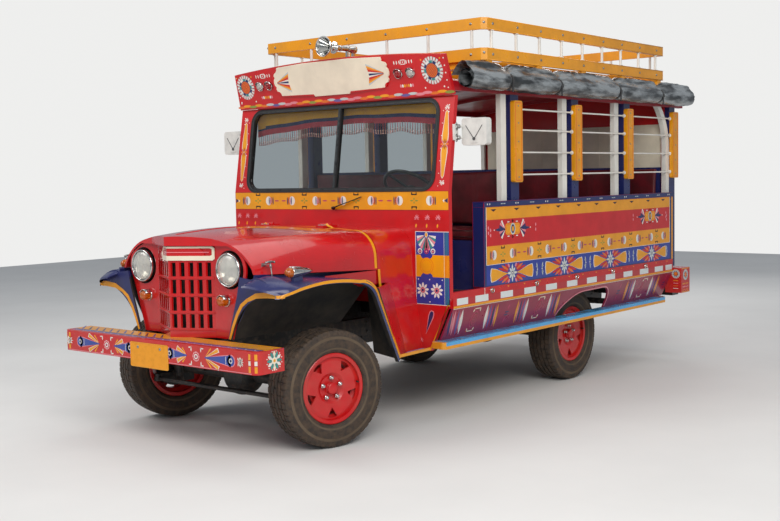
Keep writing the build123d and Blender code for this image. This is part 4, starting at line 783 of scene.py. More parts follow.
def directed(points):
    """Each point of a line, with the line's unit direction there as two numbers."""
    for k, point in enumerate(points):
        before, after = points[max(k - 1, 0)], points[min(k + 1, len(points) - 1)]
        du, dv = after[0] - before[0], after[1] - before[1]
        size = math.hypot(du, dv)
        yield point, du / size, dv / size


def wall_point(a, b, h):
    """Point on the raked windscreen wall, h in front of it."""
    share = (b - WINDSCREEN_LOW) / (WINDSCREEN_HIGH - WINDSCREEN_LOW)
    return (WALL_FACE - WINDSCREEN_RAKE * share + h, a, b)


def header_point(a, b, h):
    """Point on the leaning header board; b is the height above the ground."""
    rise = HEADER_HIGH - WINDSCREEN_HIGH
    share = (b - WINDSCREEN_HIGH) / rise
    length = math.hypot(rise, HEADER_LEAN)
    x = back(WALL_DISTANCE + WINDSCREEN_RAKE - HEADER_STEP) + HEADER_LEAN * share
    return (x + h * rise / length, a, b - h * HEADER_LEAN / length)


def header_local(a, s, h):
    """Point on the header board by its distance up the board's own slope."""
    return header_point(a, WINDSCREEN_HIGH + 0.9636 * s, h)


def bumper_point(a, b, h):
    """Point on the bumper's face and round its corners, a measured along the plate."""
    side = 1 if a > 0 else -1
    along = abs(a) - BUMPER_STRAIGHT
    turn = BUMPER_CORNER * PI / 2
    if along <= 0:
        return (BUMPER_FACE + h, a, b)
    if along < turn:
        angle = along / BUMPER_CORNER
        reach = BUMPER_CORNER + h
        return (BUMPER_FACE - BUMPER_CORNER + reach * math.cos(angle),
                side * (BUMPER_STRAIGHT + reach * math.sin(angle)), b)
    return (BUMPER_FACE - BUMPER_CORNER - (along - turn), side * (BUMPER_STRAIGHT + BUMPER_CORNER + h), b)


def skirt_point(side):
    """Distance behind the axle and height on the sloping skirt of one side."""
    run, fall = 0.211, 0.104
    size = math.hypot(run, fall)
    return lambda a, b, h: (back(a), side * (SIDE_FACE - (0.723 - b) * fall / run + h * run / size),
                            b - h * fall / size)


def surface_of(mesh):
    """Search tree over a mesh, to lay lines on its curved faces."""
    return BVHTree.FromPolygons([v.co.copy() for v in mesh.vertices],
                                [list(p.vertices) for p in mesh.polygons])


def struck(tree, start, direction):
    """Where a line from a point meets a surface, and the surface's normal there."""
    place, normal, _, _ = tree.ray_cast(Vector(start), Vector(direction).normalized())
    if place is None:
        raise RuntimeError("a painted line misses its panel at %s" % (tuple(start),))
    return place, -normal if normal.dot(Vector(direction)) > 0 else normal


def bolt(stock, origin, direction, across=0.014, tall=0.006, finish=0, washer=True):
    """Hexagon head on its washer."""
    matrix = facing(origin, direction)
    if washer:
        rim = 0.72 * across
        stock.knob([(0, -0.001), (rim, -0.001), (rim, 0.0016), (0, 0.0016)], matrix, 16, finish)
    half = across / 2 / math.cos(PI / 6)
    stock.knob([(0, 0.001), (half, 0.001), (half, tall - 0.0012), (0.82 * half, tall), (0, tall)], matrix, 6,
               finish)


def made_of(name, material, ease=0.0):
    """Give a frame node its material, and ease its edges where they show."""
    node = frame["nodes"][name]
    node.data.materials.clear()
    node.data.materials.append(material)
    if ease:
        ease_edges(node, ease, 38)


# Settings that a user would change

class ChivaStageSettings(bpy.types.PropertyGroup):
    camera_place: bpy.props.FloatVectorProperty(
        name="Camera place", description="Where the camera stands", default=(6.637, 5.169, 1.564),
        subtype="TRANSLATION", unit="LENGTH")
    camera_yaw: bpy.props.FloatProperty(
        name="Camera yaw", description="Heading of the view, counter-clockwise from +X",
        default=math.radians(219.481), subtype="ANGLE")
    camera_pitch: bpy.props.FloatProperty(
        name="Camera pitch", description="Tilt of the view, upwards", default=math.radians(-4.255),
        subtype="ANGLE")
    camera_roll: bpy.props.FloatProperty(
        name="Camera roll", description="Roll of the view", default=math.radians(-1.076), subtype="ANGLE")
    lens: bpy.props.FloatProperty(
        name="Lens", description="Focal length on a 36 mm wide sensor, in millimetres", default=52.03)
    floor_colour: bpy.props.FloatVectorProperty(
        name="Floor colour", description="Linear colour of the floor", default=(0.80, 0.79, 0.77),
        subtype="COLOR")


class ChivaTrimSettings(bpy.types.PropertyGroup):
    tassel_pitch: bpy.props.FloatProperty(
        name="Tassel spacing", description="Distance between the fringe's tassels", default=0.021,
        unit="LENGTH")
    tread_blocks: bpy.props.IntProperty(
        name="Tread blocks", description="Blocks round each row of a tyre's tread", default=56)


class CHIVA_OT_stage(bpy.types.Operator):
    """Build the pale floor, the soft studio lamps and the camera"""
    bl_idname = "chiva.stage"
    bl_label = "Stage"

    def execute(self, context):
        scene = context.scene
        settings = scene.chiva_stage
        yaw, pitch, roll = settings.camera_yaw, settings.camera_pitch, settings.camera_roll
        ahead = Vector((math.cos(yaw) * math.cos(pitch), math.sin(yaw) * math.cos(pitch), math.sin(pitch)))
        right = ahead.cross(Vector(UPWARD)).normalized()
        up = right.cross(ahead)
        rows = Matrix((right * math.cos(roll) + up * math.sin(roll),
                       up * math.cos(roll) - right * math.sin(roll),
                       -ahead)).transposed().to_4x4()
        camera_data = bpy.data.cameras.new("photo_camera")
        camera_data.lens = settings.lens
        camera_data.sensor_width = 36
        camera = bpy.data.objects.new("photo_camera", camera_data)
        camera.matrix_world = Matrix.Translation(Vector(settings.camera_place)) @ rows
        scene.collection.objects.link(camera)
        scene.camera = camera

        floor = Stock()
        reach = 14.0
        floor.brick((-reach, -reach, -0.04), (reach, reach, -0.0005))
        mesh = bpy.data.meshes.new("studio_floor")
        mesh.from_pydata(floor.points, [], floor.faces)
        ground = bpy.data.objects.new("studio_floor", mesh)
        paint = Shading("pale_floor_paint", {"Roughness": 0.75})
        shade = (*settings.floor_colour, 1.0)
        tint = paint.between(paint.noise(1.2, 4.0), 0.35, 0.7)
        paint.tree.links.new(paint.blend(tint, shade, worn(shade, 0.94)), paint.shader.inputs["Base Color"])
        mesh.materials.append(paint.material)
        scene.collection.objects.link(ground)

        world = bpy.data.worlds.new("studio_world")
        scene.world = world
        world.use_nodes = True
        tree = world.node_tree
        tree.nodes.clear()
        seen = add_node(tree, "LightPath").outputs["Is Camera Ray"]
        dim = add_node(tree, "Background", {"Color": (0.86, 0.92, 1.0, 1.0), "Strength": 0.38})
        pale = add_node(tree, "Background", {"Color": (0.86, 0.86, 0.85, 1.0), "Strength": 1.0})
        mixed = add_node(tree, "MixShader", {0: seen, 1: dim.outputs[0], 2: pale.outputs[0]})
        add_node(tree, "OutputWorld", {"Surface": mixed.outputs[0]})
        scene.view_settings.view_transform = "Standard"

        # columns: name, place, aimed at, width, height, watts
        lamps = (
            ("key_softbox", (5.6, 6.0, 5.4), (0.2, 0.4, 1.0), 5.0, 4.0, 430),
            ("fill_softbox", (6.6, -3.6, 6.6), (1.2, 0.0, 1.2), 4.5, 3.5, 250),
            ("top_softbox", (-1.0, 0.5, 7.5), (-0.4, 0.0, 0.0), 6.0, 5.0, 110),
            ("rear_softbox", (-7.0, -3.2, 4.6), (-1.0, 0.0, 1.2), 3.5, 3.0, 110),
        )
        for name, spot, target, width, height, watts in lamps:
            lamp = bpy.data.lights.new(name, "AREA")
            lamp.shape = "RECTANGLE"
            lamp.size = width
            lamp.size_y = height
            lamp.energy = watts
            lamp.color = (1.0, 0.98, 0.95)
            holder = bpy.data.objects.new(name, lamp)
            holder.matrix_world = facing(spot, Vector(spot) - Vector(target))
            scene.collection.objects.link(holder)
        return {"FINISHED"}


class CHIVA_OT_finishes(bpy.types.Operator):
    """Paint the wood, steel, iron and rubber of the packed frame"""
    bl_idname = "chiva.finishes"
    bl_label = "Frame finishes"

    def execute(self, context):
        for name in ("chassis_frame", "leaf_springs", "front_axle", "rear_axle", "drive_shafts", "fuel_tank",
                     "knuckle_left", "knuckle_right", "tie_rod"):
            made_of(name, chassis_black(), 0.002)
        # the fender's colours meet on a plane through the arch's upper rear corner
        flank = 0.27 * 0.84 - 0.15 * (FRONT_AXLE - 0.33) - 0.005
        # columns: node, material, eased edges
        finishes = (
            ("engine_and_radiator", cast_iron(), 0.004),
            ("exhaust_pipe", metal("rusted_mild_steel", "#6A4A38", 0.6, 0.6, 0.004, 0.001, "#3A2A22"), 0.0),
            ("front_bumper", enamel("red"), 0.003),
            ("grille_panel", sprayed("red"), 0.005),
            ("front_fenders", split_enamel("enamel_fender_navy_and_red", ("navy", "red"), "flank", flank),
             0.0025),
            ("bonnet", sprayed("red"), 0.004),
            ("cowl", sprayed("red"), 0.003),
            ("front_wall", enamel("red"), 0.004),
            ("header_board", enamel("red"), 0.004),
            ("windscreen_seal", extruded_rubber(), 0.003),
            ("windscreen_glass", window_glass(), 0.0),
            ("roof", enamel("deep_red"), 0.004),
            ("roof_rack", split_enamel("enamel_rack_yellow_and_white", ("yellow", "white"), "Z", 2.3835,
                                       2.5005,
                                       dust=0.02), 0.003),
            ("air_horn", chromed(), 0.0),
            ("door_mirrors", white_plastic(), 0.004),
            ("floor", sawn_wood("planed_floor_boards", "#4A3626", "#7A5C40"), 0.002),
            ("side_panel", enamel("red"), 0.004),
            ("body_sills", split_enamel("enamel_sill_red_and_wine", ("wine", "red"), "Z", 0.7235, dust=0.10),
             0.002),
            ("running_boards", split_enamel("enamel_step_yellow_and_blue", ("yellow", "step_blue"), "Z",
                                            0.4885,
                                            dust=0.06), 0.003),
            ("body_posts", enamel("white"), 0.003),
            ("bench_frames", split_enamel("enamel_bench_navy_and_yellow", ("navy", "yellow"), "Y", 0.9425),
             0.003),
            ("dashboard", enamel("deep_red"), 0.003),
            ("steering_wheel", bakelite(), 0.002),
            ("rear_wall", enamel("red"), 0.004),
            ("rear_bumper", split_enamel("enamel_rear_box_black_and_red", ("black", "red"), "Y", 0.903),
             0.003),
            ("marker_lamps", lamp_lens("pressed_amber_lens", "#E87712"), 0.001),
            ("headlamps", chromed(), 0.001),
            ("side_rolls", coated_sheet(), 0.0),
            ("bench_seats", vinyl(), 0.0),
            ("windscreen_fringe", woven("woven_fringe_cloth", "#A61E2E", "#C23A3A", 0.004), 0.0),
        )
        for name, material, ease in finishes:
            made_of(name, material, ease)
        for place in ("front_left", "front_right", "rear_left", "rear_right"):
            made_of("rim_" + place, enamel("red"), 0.0015)
            made_of("tyre_" + place, tyre_rubber())
        return {"FINISHED"}


# Painted lines and small fittings

def ray_cone(tip, head, half):
    """Long cone that opens from its tip to a round ringed head, with rays beside the tip."""
    middle = BUMPER_MIDDLE
    sense = 1 if head > tip else -1
    neck = head - sense * half
    strokes = []
    for grow, level, key in ((1.16, 2, "pink"), (0.96, 3, "arrow")):
        wide = half * grow
        strokes.append((level, key, [(tip, middle - 0.003), (neck, middle - wide), (neck, middle + wide),
                                     (tip, middle + 0.003)]))
        strokes.append((level, key, disc(neck, middle, wide, 18)))
    strokes += [(4, "white", disc(neck, middle, 0.46 * half, 16)),
                (5, "navy", disc(neck, middle, 0.30 * half, 12)),
                (4, "white", bar(neck - sense * 1.35 * half, neck - sense * 1.25 * half,
                                 middle - 0.7 * half, middle + 0.7 * half))]
    start = 90 - 90 * sense
    reach = 0.50 * abs(head - tip)
    for end in (1, -1):
        for level, key, turn, near, far, near_half, far_half in (
                (1, "white", 24, 0.014, reach * 1.04, 0.003, 0.0135),
                (2, "yellow", 24, 0.018, reach, 0.0022, 0.0100),
                (1, "yellow", 46, 0.014, reach * 0.62, 0.001, 0.0050)):
            strokes.append((level, key,
                            brush(tip, middle, start + end * turn, near, far, near_half, far_half)))
    return strokes


def bracketed_rosette(a, b, size):
    """Pink ringed dot between four white corner brackets."""
    strokes = [(1, "pink", disc(a, b, 0.50 * size, 20)), (2, "red", disc(a, b, 0.38 * size, 18)),
               (3, "white", disc(a, b, 0.28 * size, 16)), (4, "rose", disc(a, b, 0.15 * size, 12))]
    strokes += [(2, "white", disc(a + 0.44 * size * c, b + 0.44 * size * s, 0.045 * size, 8)) for c,
                s in circle(8)]
    for u in (1, -1):
        for v in (1, -1):
            ca, cb = a + u * 0.72 * size, b + v * 0.86 * size
            strokes += [(1, "white", leaf(ca, cb, 90 - 90 * u, -0.02 * size, 0.42 * size, 0.07 * size)),
                        (1, "white", leaf(ca, cb, -90 * v, -0.02 * size, 0.40 * size, 0.07 * size)),
                        (1, "white", disc(ca, cb, 0.07 * size, 8))]
    return strokes


class CHIVA_OT_bumper(bpy.types.Operator):
    """Paint the bumper's cones and rosettes, and fit the bare number plate"""
    bl_idname = "chiva.bumper"
    bl_label = "Bumper"

    def execute(self, context):
        middle = BUMPER_MIDDLE
        strokes = frond(-0.815, middle, 0, 0.042) + frond(-0.815, middle, 180, 0.036)
        for tip, head in ((-0.504, -0.728), (-0.362, -0.182), (0.300, 0.120), (0.449, 0.690)):
            strokes += ray_cone(tip, head, 0.030)
        for a in (-0.432, 0.377):
            strokes += bracketed_rosette(a, middle, 0.056)
        strokes += frond(0.720, middle, 0, 0.040) + frond(0.748, middle, 180, 0.036)
        for a in (0.806, 0.848):
            for b, key, half in ((0.552, "yellow", 0.017), (middle, "white", 0.012),
                                 (0.620, "yellow", 0.016)):
                strokes.append((1, key, bar(a - 0.008, a + 0.008, b - half, b + half)))
        strokes += [(1, "pink", bar(-0.86, -0.824, 0.5275, 0.5305)),
                    (1, "pink", bar(-0.82, 0.82, 0.5275, 0.5315))]
        for end in (1, -1):
            a, b = 0.972 * end, middle + 0.003
            strokes.append((1, "white", disc(a, b, 0.030, 22)))
            for k, key in enumerate(("teal", "white", "teal", "cream", "teal", "white") * 2):
                between_petals = math.radians(30 * k + 15)
                bead = disc(a + 0.057 * math.cos(between_petals), b + 0.052 * math.sin(between_petals),
                            0.0035, 8)
                strokes += [(2, key, leaf(a, b, 30 * k, 0.012, 0.056, 0.010)), (3, "white", bead)]
            strokes += [(4, "cream", disc(a, b, 0.019, 16)), (5, "yellow", disc(a, b, 0.009, 12))]
        strokes += mirrored([s for s in strokes if 0.78 < s[2][0][0] < 0.90])
        lay_paint("bumper_face_paint", strokes, bumper_point, slot="red_paint")

        top = [(1, "yellow", bar(0.072, 0.196, -0.855, 0.855)),
               (1, "purple", bar(0.026, 0.071, -0.835, 0.835)),
               (2, "navy", bar(0.066, 0.076, -0.84, 0.84)), (2, "pink", bar(0.026, 0.032, -0.835, 0.835)),
               (2, "yellow", bar(0.188, 0.196, -0.855, 0.855))]
        for k in range(24):
            a = -0.80 + 0.0695 * k
            slant = 0.09 if a > 0 else -0.09
            top.append((2, "navy" if k % 2 else "blue",
                        [(0.086, a), (0.092, a + 0.014), (0.180, a + slant + 0.006),
                       (0.178, a + slant)]))
            top.append((2, "white", disc(0.049, a, 0.005, 8)))
        lay_paint("bumper_top_paint", top, lambda a, b, h: (BUMPER_FACE - a, b, BUMPER_HIGH + h),
                  slot="red_paint")

        plate = Stock()
        plate_face = BUMPER_FACE + 0.0024
        place = on_x(plate_face)
        outer = rounded(-0.202, 0.139, 0.4825, 0.628, 0.010)
        inner = rounded(-0.197, 0.134, 0.4875, 0.623, 0.007)
        plate.slab(outer, -0.0012, 0.0004, place, 0)
        plate.ring_plate(outer, inner, 0.0003, 0.0018, place, 1)
        for y in (-0.132, 0.068):
            plate.knob([(0, 0.0002), (0.009, 0.0002), (0.0085, 0.0022), (0.0045, 0.0034), (0, 0.0036)],
                       facing((plate_face, y, 0.600), FORWARD), 18, 2)
        finishes = [metal("stamped_plate_aluminium", "#EE9C12", 0.1, 0.38, 0.004, 0.0002, "#E0900F"),
                    enamel("yellow"), zinc_steel()]
        plate.made("bare_number_plate", finishes, slot="yellow_wood")

        bolts = Stock()
        for y in (-0.345, 0.345):
            for z in (0.553, 0.620):
                bolt(bolts, (BUMPER_FACE - 0.202, y, z), REARWARD, 0.018, 0.010)
        bolts.made("bumper_bolts", [zinc_steel()])
        return {"FINISHED"}


class CHIVA_OT_front_lamps(bpy.types.Operator):
    """Build the headlamps, indicators, torpedo lamps and side markers"""
    bl_idname = "chiva.front_lamps"
    bl_label = "Lamps"

    def execute(self, context):
        chrome = chromed()
        black = moulded("pressed_black_steel", "#121214", 0.42)
        clear = lamp_lens("pressed_headlamp_glass", "#FBFAF4", 0.06, 0.011, 0.70)
        amber = amber_acrylic()
        cans, glass = Stock(), Stock()
        for _, side in SIDES:
            matrix = facing((FRONT_AXLE + 0.464, side * 0.385, 1.050), FORWARD)
            cans.turned([(0.0885, -0.004), (0.0890, 0.003), (0.0915, 0.0065), (0.0955, 0.0055),
                         (0.0985, 0.0005),
                         (0.0995, -0.010), (0.0965, -0.014), (0.0885, -0.012)], matrix, 56, 0)
            cans.turned([(0.100, -0.012), (0.1005, -0.020), (0.093, -0.034), (0.070, -0.078), (0.040, -0.096),
                         (0.0, -0.099), (0.0, -0.093), (0.038, -0.090), (0.066, -0.074), (0.088, -0.032),
                         (0.096, -0.020), (0.096, -0.013)], matrix, 48, 1, "open")
            # black back plate behind the panel's hole: black steel, and its black also paints the shade in
            # the recess round the lamp
            cans.turned([(0.1035, -0.0306), (0.1215, -0.0306), (0.1215, -0.0375), (0.1035, -0.0375)], matrix,
                        48, 1)
            # the silvered bowl behind the glass, with its bulb shield
            cans.turned([(0.086, -0.006), (0.080, -0.020), (0.064, -0.038), (0.042, -0.050), (0.018, -0.056),
                         (0.0, -0.057), (0.0, -0.059), (0.018, -0.058), (0.043, -0.052), (0.066, -0.040),
                         (0.082, -0.021), (0.0875, -0.006)], matrix, 48, 2)
            cans.knob([(0, -0.034), (0.009, -0.034), (0.014, -0.030), (0.014, -0.024), (0.009, -0.019),
                       (0, -0.018)],
                      matrix, 20, 0)
            glass.knob([(0, 0.0255), (0.020, 0.0245), (0.040, 0.0210), (0.060, 0.0150), (0.074, 0.0085),
                        (0.083, 0.0035),
                        (0.0882, -0.002), (0.0878, -0.004), (0.070, 0.0045), (0.040, 0.0160), (0, 0.0205)],
                       matrix, 56)
        silver = metal("silvered_reflector", "#E4E2DA", 1.0, 0.16, 0.02, 0.0002, "#C9C6BC")
        can = cans.made("headlamp_cans", [chrome, black, silver], slot="lamp_glass")
        glass.made("headlamp_glasses", [clear], slot="lamp_glass")
        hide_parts("headlamps")

        fittings, lenses = Stock(), Stock()
        for _, side in SIDES:
            base = Vector((FRONT_AXLE + 0.446, side * 0.348, 0.870))
            matrix = facing(base, FORWARD)
            lenses.knob([(0, 0.060), (0.012, 0.0595), (0.020, 0.057), (0.0255, 0.050), (0.0275, 0.042),
                         (0.0285, 0.020),
                         (0.0290, 0.004), (0, 0.004)], matrix, 36)
            fittings.turned([(0.0295, 0.0), (0.0345, 0.0), (0.0345, 0.005), (0.0315, 0.009), (0.0295, 0.009)],
                            matrix, 36)
            # columns: distance ahead, share of the radius, lift
            section = ((0.0, 1.0, 0.0), (0.050, 1.0, 0.002), (0.050, 0.93, 0.002), (0.0, 0.93, 0.0))
            brow = []
            for k in range(13):
                angle = math.radians(20 + 140 * k / 12)
                reach = 0.032 + 0.003 * math.sin(angle)
                brow.append([base + Vector((x, share * reach * math.cos(angle),
                                            share * reach * math.sin(angle) + lift))
                             for x, share, lift in section])
            fittings.loft(brow, 0, True)

            nose = Vector((FRONT_AXLE + 0.330, side * 0.737, 1.038))
            matrix = facing(nose, FORWARD)
            lenses.knob([(0, 0.023), (0.010, 0.021), (0.019, 0.014), (0.026, 0.002), (0.0295, -0.010),
                         (0.0300, -0.018),
                         (0, -0.018)], matrix, 32)
            fittings.knob([(0, -0.017), (0.0312, -0.016), (0.0318, -0.022), (0.0312, -0.045),
                           (0.0290, -0.075),
                           (0.0225, -0.115), (0.0140, -0.160), (0.0060, -0.193), (0.0, -0.200)], matrix, 32)
            for y in (-0.010, 0.010):
                fittings.rod([nose + Vector((-0.015, y, 0.031)), nose + Vector((-0.070, y, 0.029)),
                              nose + Vector((-0.150, y * 0.4, 0.017))], 0.0022, 8)
            foot = [(-0.110, -0.014), (-0.030, -0.014), (-0.024, 0.0), (-0.030, 0.014), (-0.110, 0.014),
                    (-0.122, 0.0)]
            low = [(nose.x + u, nose.y + v, 0.980 if u > -0.05 else 0.952) for u, v in foot]
            high = [(nose.x + 0.82 * u - 0.008, nose.y + 0.8 * v, 1.022) for u, v in foot]
            fittings.loft([low, high], 1)
            for distance in (1.330, 1.880, 2.430, 2.980, 3.530):
                origin = (back(distance), side * 0.9723, 0.803)
                matrix = facing(origin, (0, side, 0))
                lenses.knob([(0, 0.0138), (0.008, 0.0130), (0.0125, 0.0095), (0.0145, 0.004), (0.0145, 0.001),
                             (0, 0.001)],
                            matrix, 20)
                fittings.turned([(0.0145, 0.0), (0.0170, 0.0), (0.0168, 0.003), (0.0150, 0.0055),
                                 (0.0145, 0.004)],
                                matrix, 20)
                fittings.turned([(0.0147, 0.0045), (0.0160, 0.006), (0.0158, 0.0135), (0.0140, 0.0137)],
                                matrix, 20)
        lens = lenses.made("amber_lenses", [amber], slot="lamp_glass")
        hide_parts("marker_lamps")
        fittings.made("lamp_bezels", [chrome, sprayed("navy")], slot="lamp_glass")
        return {"FINISHED"}


def fender_eased(point):
    """Round the fender's square front corner in plan and bow its top, as beaten sheet would be."""
    side = 1 if point[1] > 0 else -1
    reach = FENDER_CORNER
    ahead, across, z = point[0] - FRONT_AXLE, abs(point[1]), point[2]
    share = (across - 0.600) / 0.242
    edge = 0.560 - 0.062 * share
    if 0.0 < share < 1.0 and z > 0.90:
        along = min(1.0, max(0.0, (ahead - 0.30) / 0.10))
        along = along * along * (3 - 2 * along)
        nose = math.sqrt(min(1.0, max(0.0, (edge + 0.012 - ahead) / 0.075)))
        z += 0.030 * math.sqrt(4 * share * (1 - share)) * along * nose * min(1.0, (z - 0.90) / 0.03)
    u, v = (ahead - edge + reach) / reach, (across - FENDER_SIDE + reach) / reach
    if u > 0 and v > 0:
        u, v = u * math.sqrt(1 - min(1.0, v * v) / 2), v * math.sqrt(1 - min(1.0, u * u) / 2)
        ahead, across = edge - reach + u * reach, FENDER_SIDE - reach + v * reach
    return Vector((FRONT_AXLE + ahead, side * across, z))


def on_fender(near, far, out):
    """A painted line's two edges and its facing, moved with the fender's eased corner."""
    out = Vector(out).normalized()
    middle = (Vector(near) + Vector(far)) / 2
    facing_there = fender_eased(middle + out * 0.01) - fender_eased(middle)
    return fender_eased(near), fender_eased(far), facing_there.normalized()


class CHIVA_OT_fenders(bpy.types.Operator):
    """Ease the front fenders' corners into a rounded nose"""
    bl_idname = "chiva.fenders"
    bl_label = "Front fenders"

    def execute(self, context):
        node = frame["nodes"]["front_fenders"]
        shape = bmesh.new()
        shape.from_mesh(node.data)
        for _ in range(7):
            long_edges = [e for e in shape.edges if e.calc_length() > 0.024
                          and max(v.co.x for v in e.verts) > FRONT_AXLE + 0.25
                          and min(v.co.z for v in e.verts) > 0.66]
            bmesh.ops.subdivide_edges(shape, edges=long_edges, cuts=1)
            bmesh.ops.triangulate(shape, faces=[f for f in shape.faces if len(f.verts) > 4])
        shape.verts.index_update()
        shape.normal_update()
        groups = [[], [], []]
        # group 0 is the painted top and face, 1 the underside and the inner faces, near-black as underseal
        # and also as painted shade, and 2 the flank
        for face in shape.faces:
            middle = face.calc_center_median()
            hidden = abs(middle.y) < 0.612 and middle.z < 0.972 and face.normal.x < 0.3
            inside_leg = face.normal.x > 0.3 and middle.x < back(0.10) and abs(middle.y) < 0.8405
            if hidden or inside_leg or face.normal.z < -0.45 and middle.x > back(0.30):
                group = 1
            else:
                group = 2 if abs(middle.y) > 0.8405 else 0
            groups[group].append([v.index for v in face.verts])
        stock = Stock()
        spots = [fender_eased(v.co) for v in shape.verts]
        for finish, faces in enumerate(groups):
            used = sorted({k for face in faces for k in face})
            place_of = {k: i for i, k in enumerate(used)}
            stock.add([spots[k] for k in used], [[place_of[k] for k in face] for face in faces], finish, True)
        shape.free()
        # the near-black finish of group 1 is underseal and also painted shade under and inside the fender
        finishes = [node.data.materials[0], moulded("bitumen_underseal", "#0E0E10", 0.7, 0.006),
                    sprayed("navy")]
        sheet = stock.made("eased_front_fenders", finishes, slot="navy_paint")
        split_edges(sheet, "crisp_edges", 35)
        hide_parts("front_fenders")
        return {"FINISHED"}


class CHIVA_OT_fender_lines(bpy.types.Operator):
    """Paint the yellow coach line round both front fenders and fit the toe ledges"""
    bl_idname = "chiva.fender_lines"
    bl_label = "Fender lines"

    def execute(self, context):
        outer = [(0.498, 0.927), [(0.330, 0.962)], (0.143, 0.982), [(0.0, 0.980)], (-0.165, 0.963),
                 [(-0.268, 0.925)],
                 (-0.330, 0.838), (-0.520, 0.450)]
        line = arc_points(outer, 10)
        (a0, z0), (a1, z1) = line[-2:]
        run = line[:-1] + [(a0 + (a1 - a0) * k / 6, z0 + (z1 - z0) * k / 6) for k in range(1, 7)]
        face = [(0.4085, 0.657, 0.007), (0.438, 0.73, 0.009), (0.473, 0.80, 0.010), (0.512, 0.856, 0.011),
                (0.560, 0.888, 0.010), (0.630, 0.910, 0.009), (0.720, 0.9135, 0.0085),
                (0.750, 0.9135, 0.0085),
                (0.780, 0.9135, 0.0085), (0.800, 0.9135, 0.0085), (0.820, 0.9135, 0.0085),
                (0.834, 0.9135, 0.0085)]
        stock = Stock()
        tree = surface_of(bpy.data.objects["eased_front_fenders"].data)
        for _, side in SIDES:
            pairs = []
            for (a, z), du, dv in directed(run):
                out_a, out_z = -dv, du
                if out_z < 0 and out_a > 0:
                    out_a, out_z = -out_a, -out_z
                if a > -0.2:
                    out_a, out_z = 0.0, 1.0
                # the line slips outwards from the lip onto the flank behind the wheel
                slip = min(1.0, max(0.0, (-0.165 - a) / 0.14))
                rise, drop = 0.017 * slip - 0.001 * (1 - slip), 0.0185 * (1 - slip) + 0.004 * slip
                y_out = 0.8425 - 0.0085 * slip
                lower = (a - out_a * drop + 0.010 * (1 - slip), z - out_z * drop)
                upper = (a + out_a * rise, z + out_z * rise)
                normal = Vector((-0.45 * slip, side, 0.1 * slip))
                pairs.append(((FRONT_AXLE + upper[0], side * y_out, upper[1]),
                              (FRONT_AXLE + lower[0], side * 0.8425, lower[1]), normal))
            stock.strip([on_fender(*pair) for pair in pairs], 0.0016, 0)
            front = []
            x = FRONT_AXLE + 0.4822
            for (y, z, half), du, dv in directed(face):
                front.append(((x, side * (y - dv * half), z + du * half),
                              (x, side * (y + dv * half), z - du * half),
                              FORWARD))
            stock.strip([on_fender(*pair) for pair in front], 0.0016, 0)
            # the two runs meet round the eased corner, found on the sheet itself
            joint = []
            for k in range(15):
                turn = math.radians(12 + 4.6 * k)
                out = Vector((math.cos(turn), side * math.sin(turn), 0))
                fall = min(1.0, k / 8)
                ends = [tree.ray_cast(Vector((FRONT_AXLE + 0.363, side * 0.707, z)) + out * 0.4, -out)[0]
                        for z in (0.9285 - 0.0035 * fall, 0.9105 - 0.0015 * fall)]
                if all(end is not None for end in ends):
                    joint.append((ends[0], ends[1], out))
            if len(joint) > 1:
                stock.strip(joint, 0.0020, 0)
        stock.made("fender_coach_lines", [enamel("yellow")], slot="yellow_wood")

        ledge = Stock()
        outline = [(0.545, 0.826), (0.868, 0.806), (0.868, 0.744), (0.700, 0.756)]
        for _, side in SIDES:
            place = on_z(0.4505, side)
            ledge.slab(outline, 0.0, 0.010, place, 0)
            edge = [(0.538, 0.830), (0.868, 0.811), (0.868, 0.800), (0.552, 0.818)]
            ledge.slab(edge, -0.0002, 0.0175, place, 1)
            ledge.slab([(0.60, 0.800), (0.85, 0.788), (0.85, 0.783), (0.61, 0.794)], 0.0098, 0.0108, place, 2)
            ledge.slab([(0.66, 0.786), (0.85, 0.770), (0.85, 0.766), (0.67, 0.781)], 0.0098, 0.0108, place, 3)
        ledge.made("toe_ledges", [enamel("purple"), enamel("yellow"), enamel("navy"), enamel("white")], 0.001,
                   slot="yellow_wood")
        return {"FINISHED"}


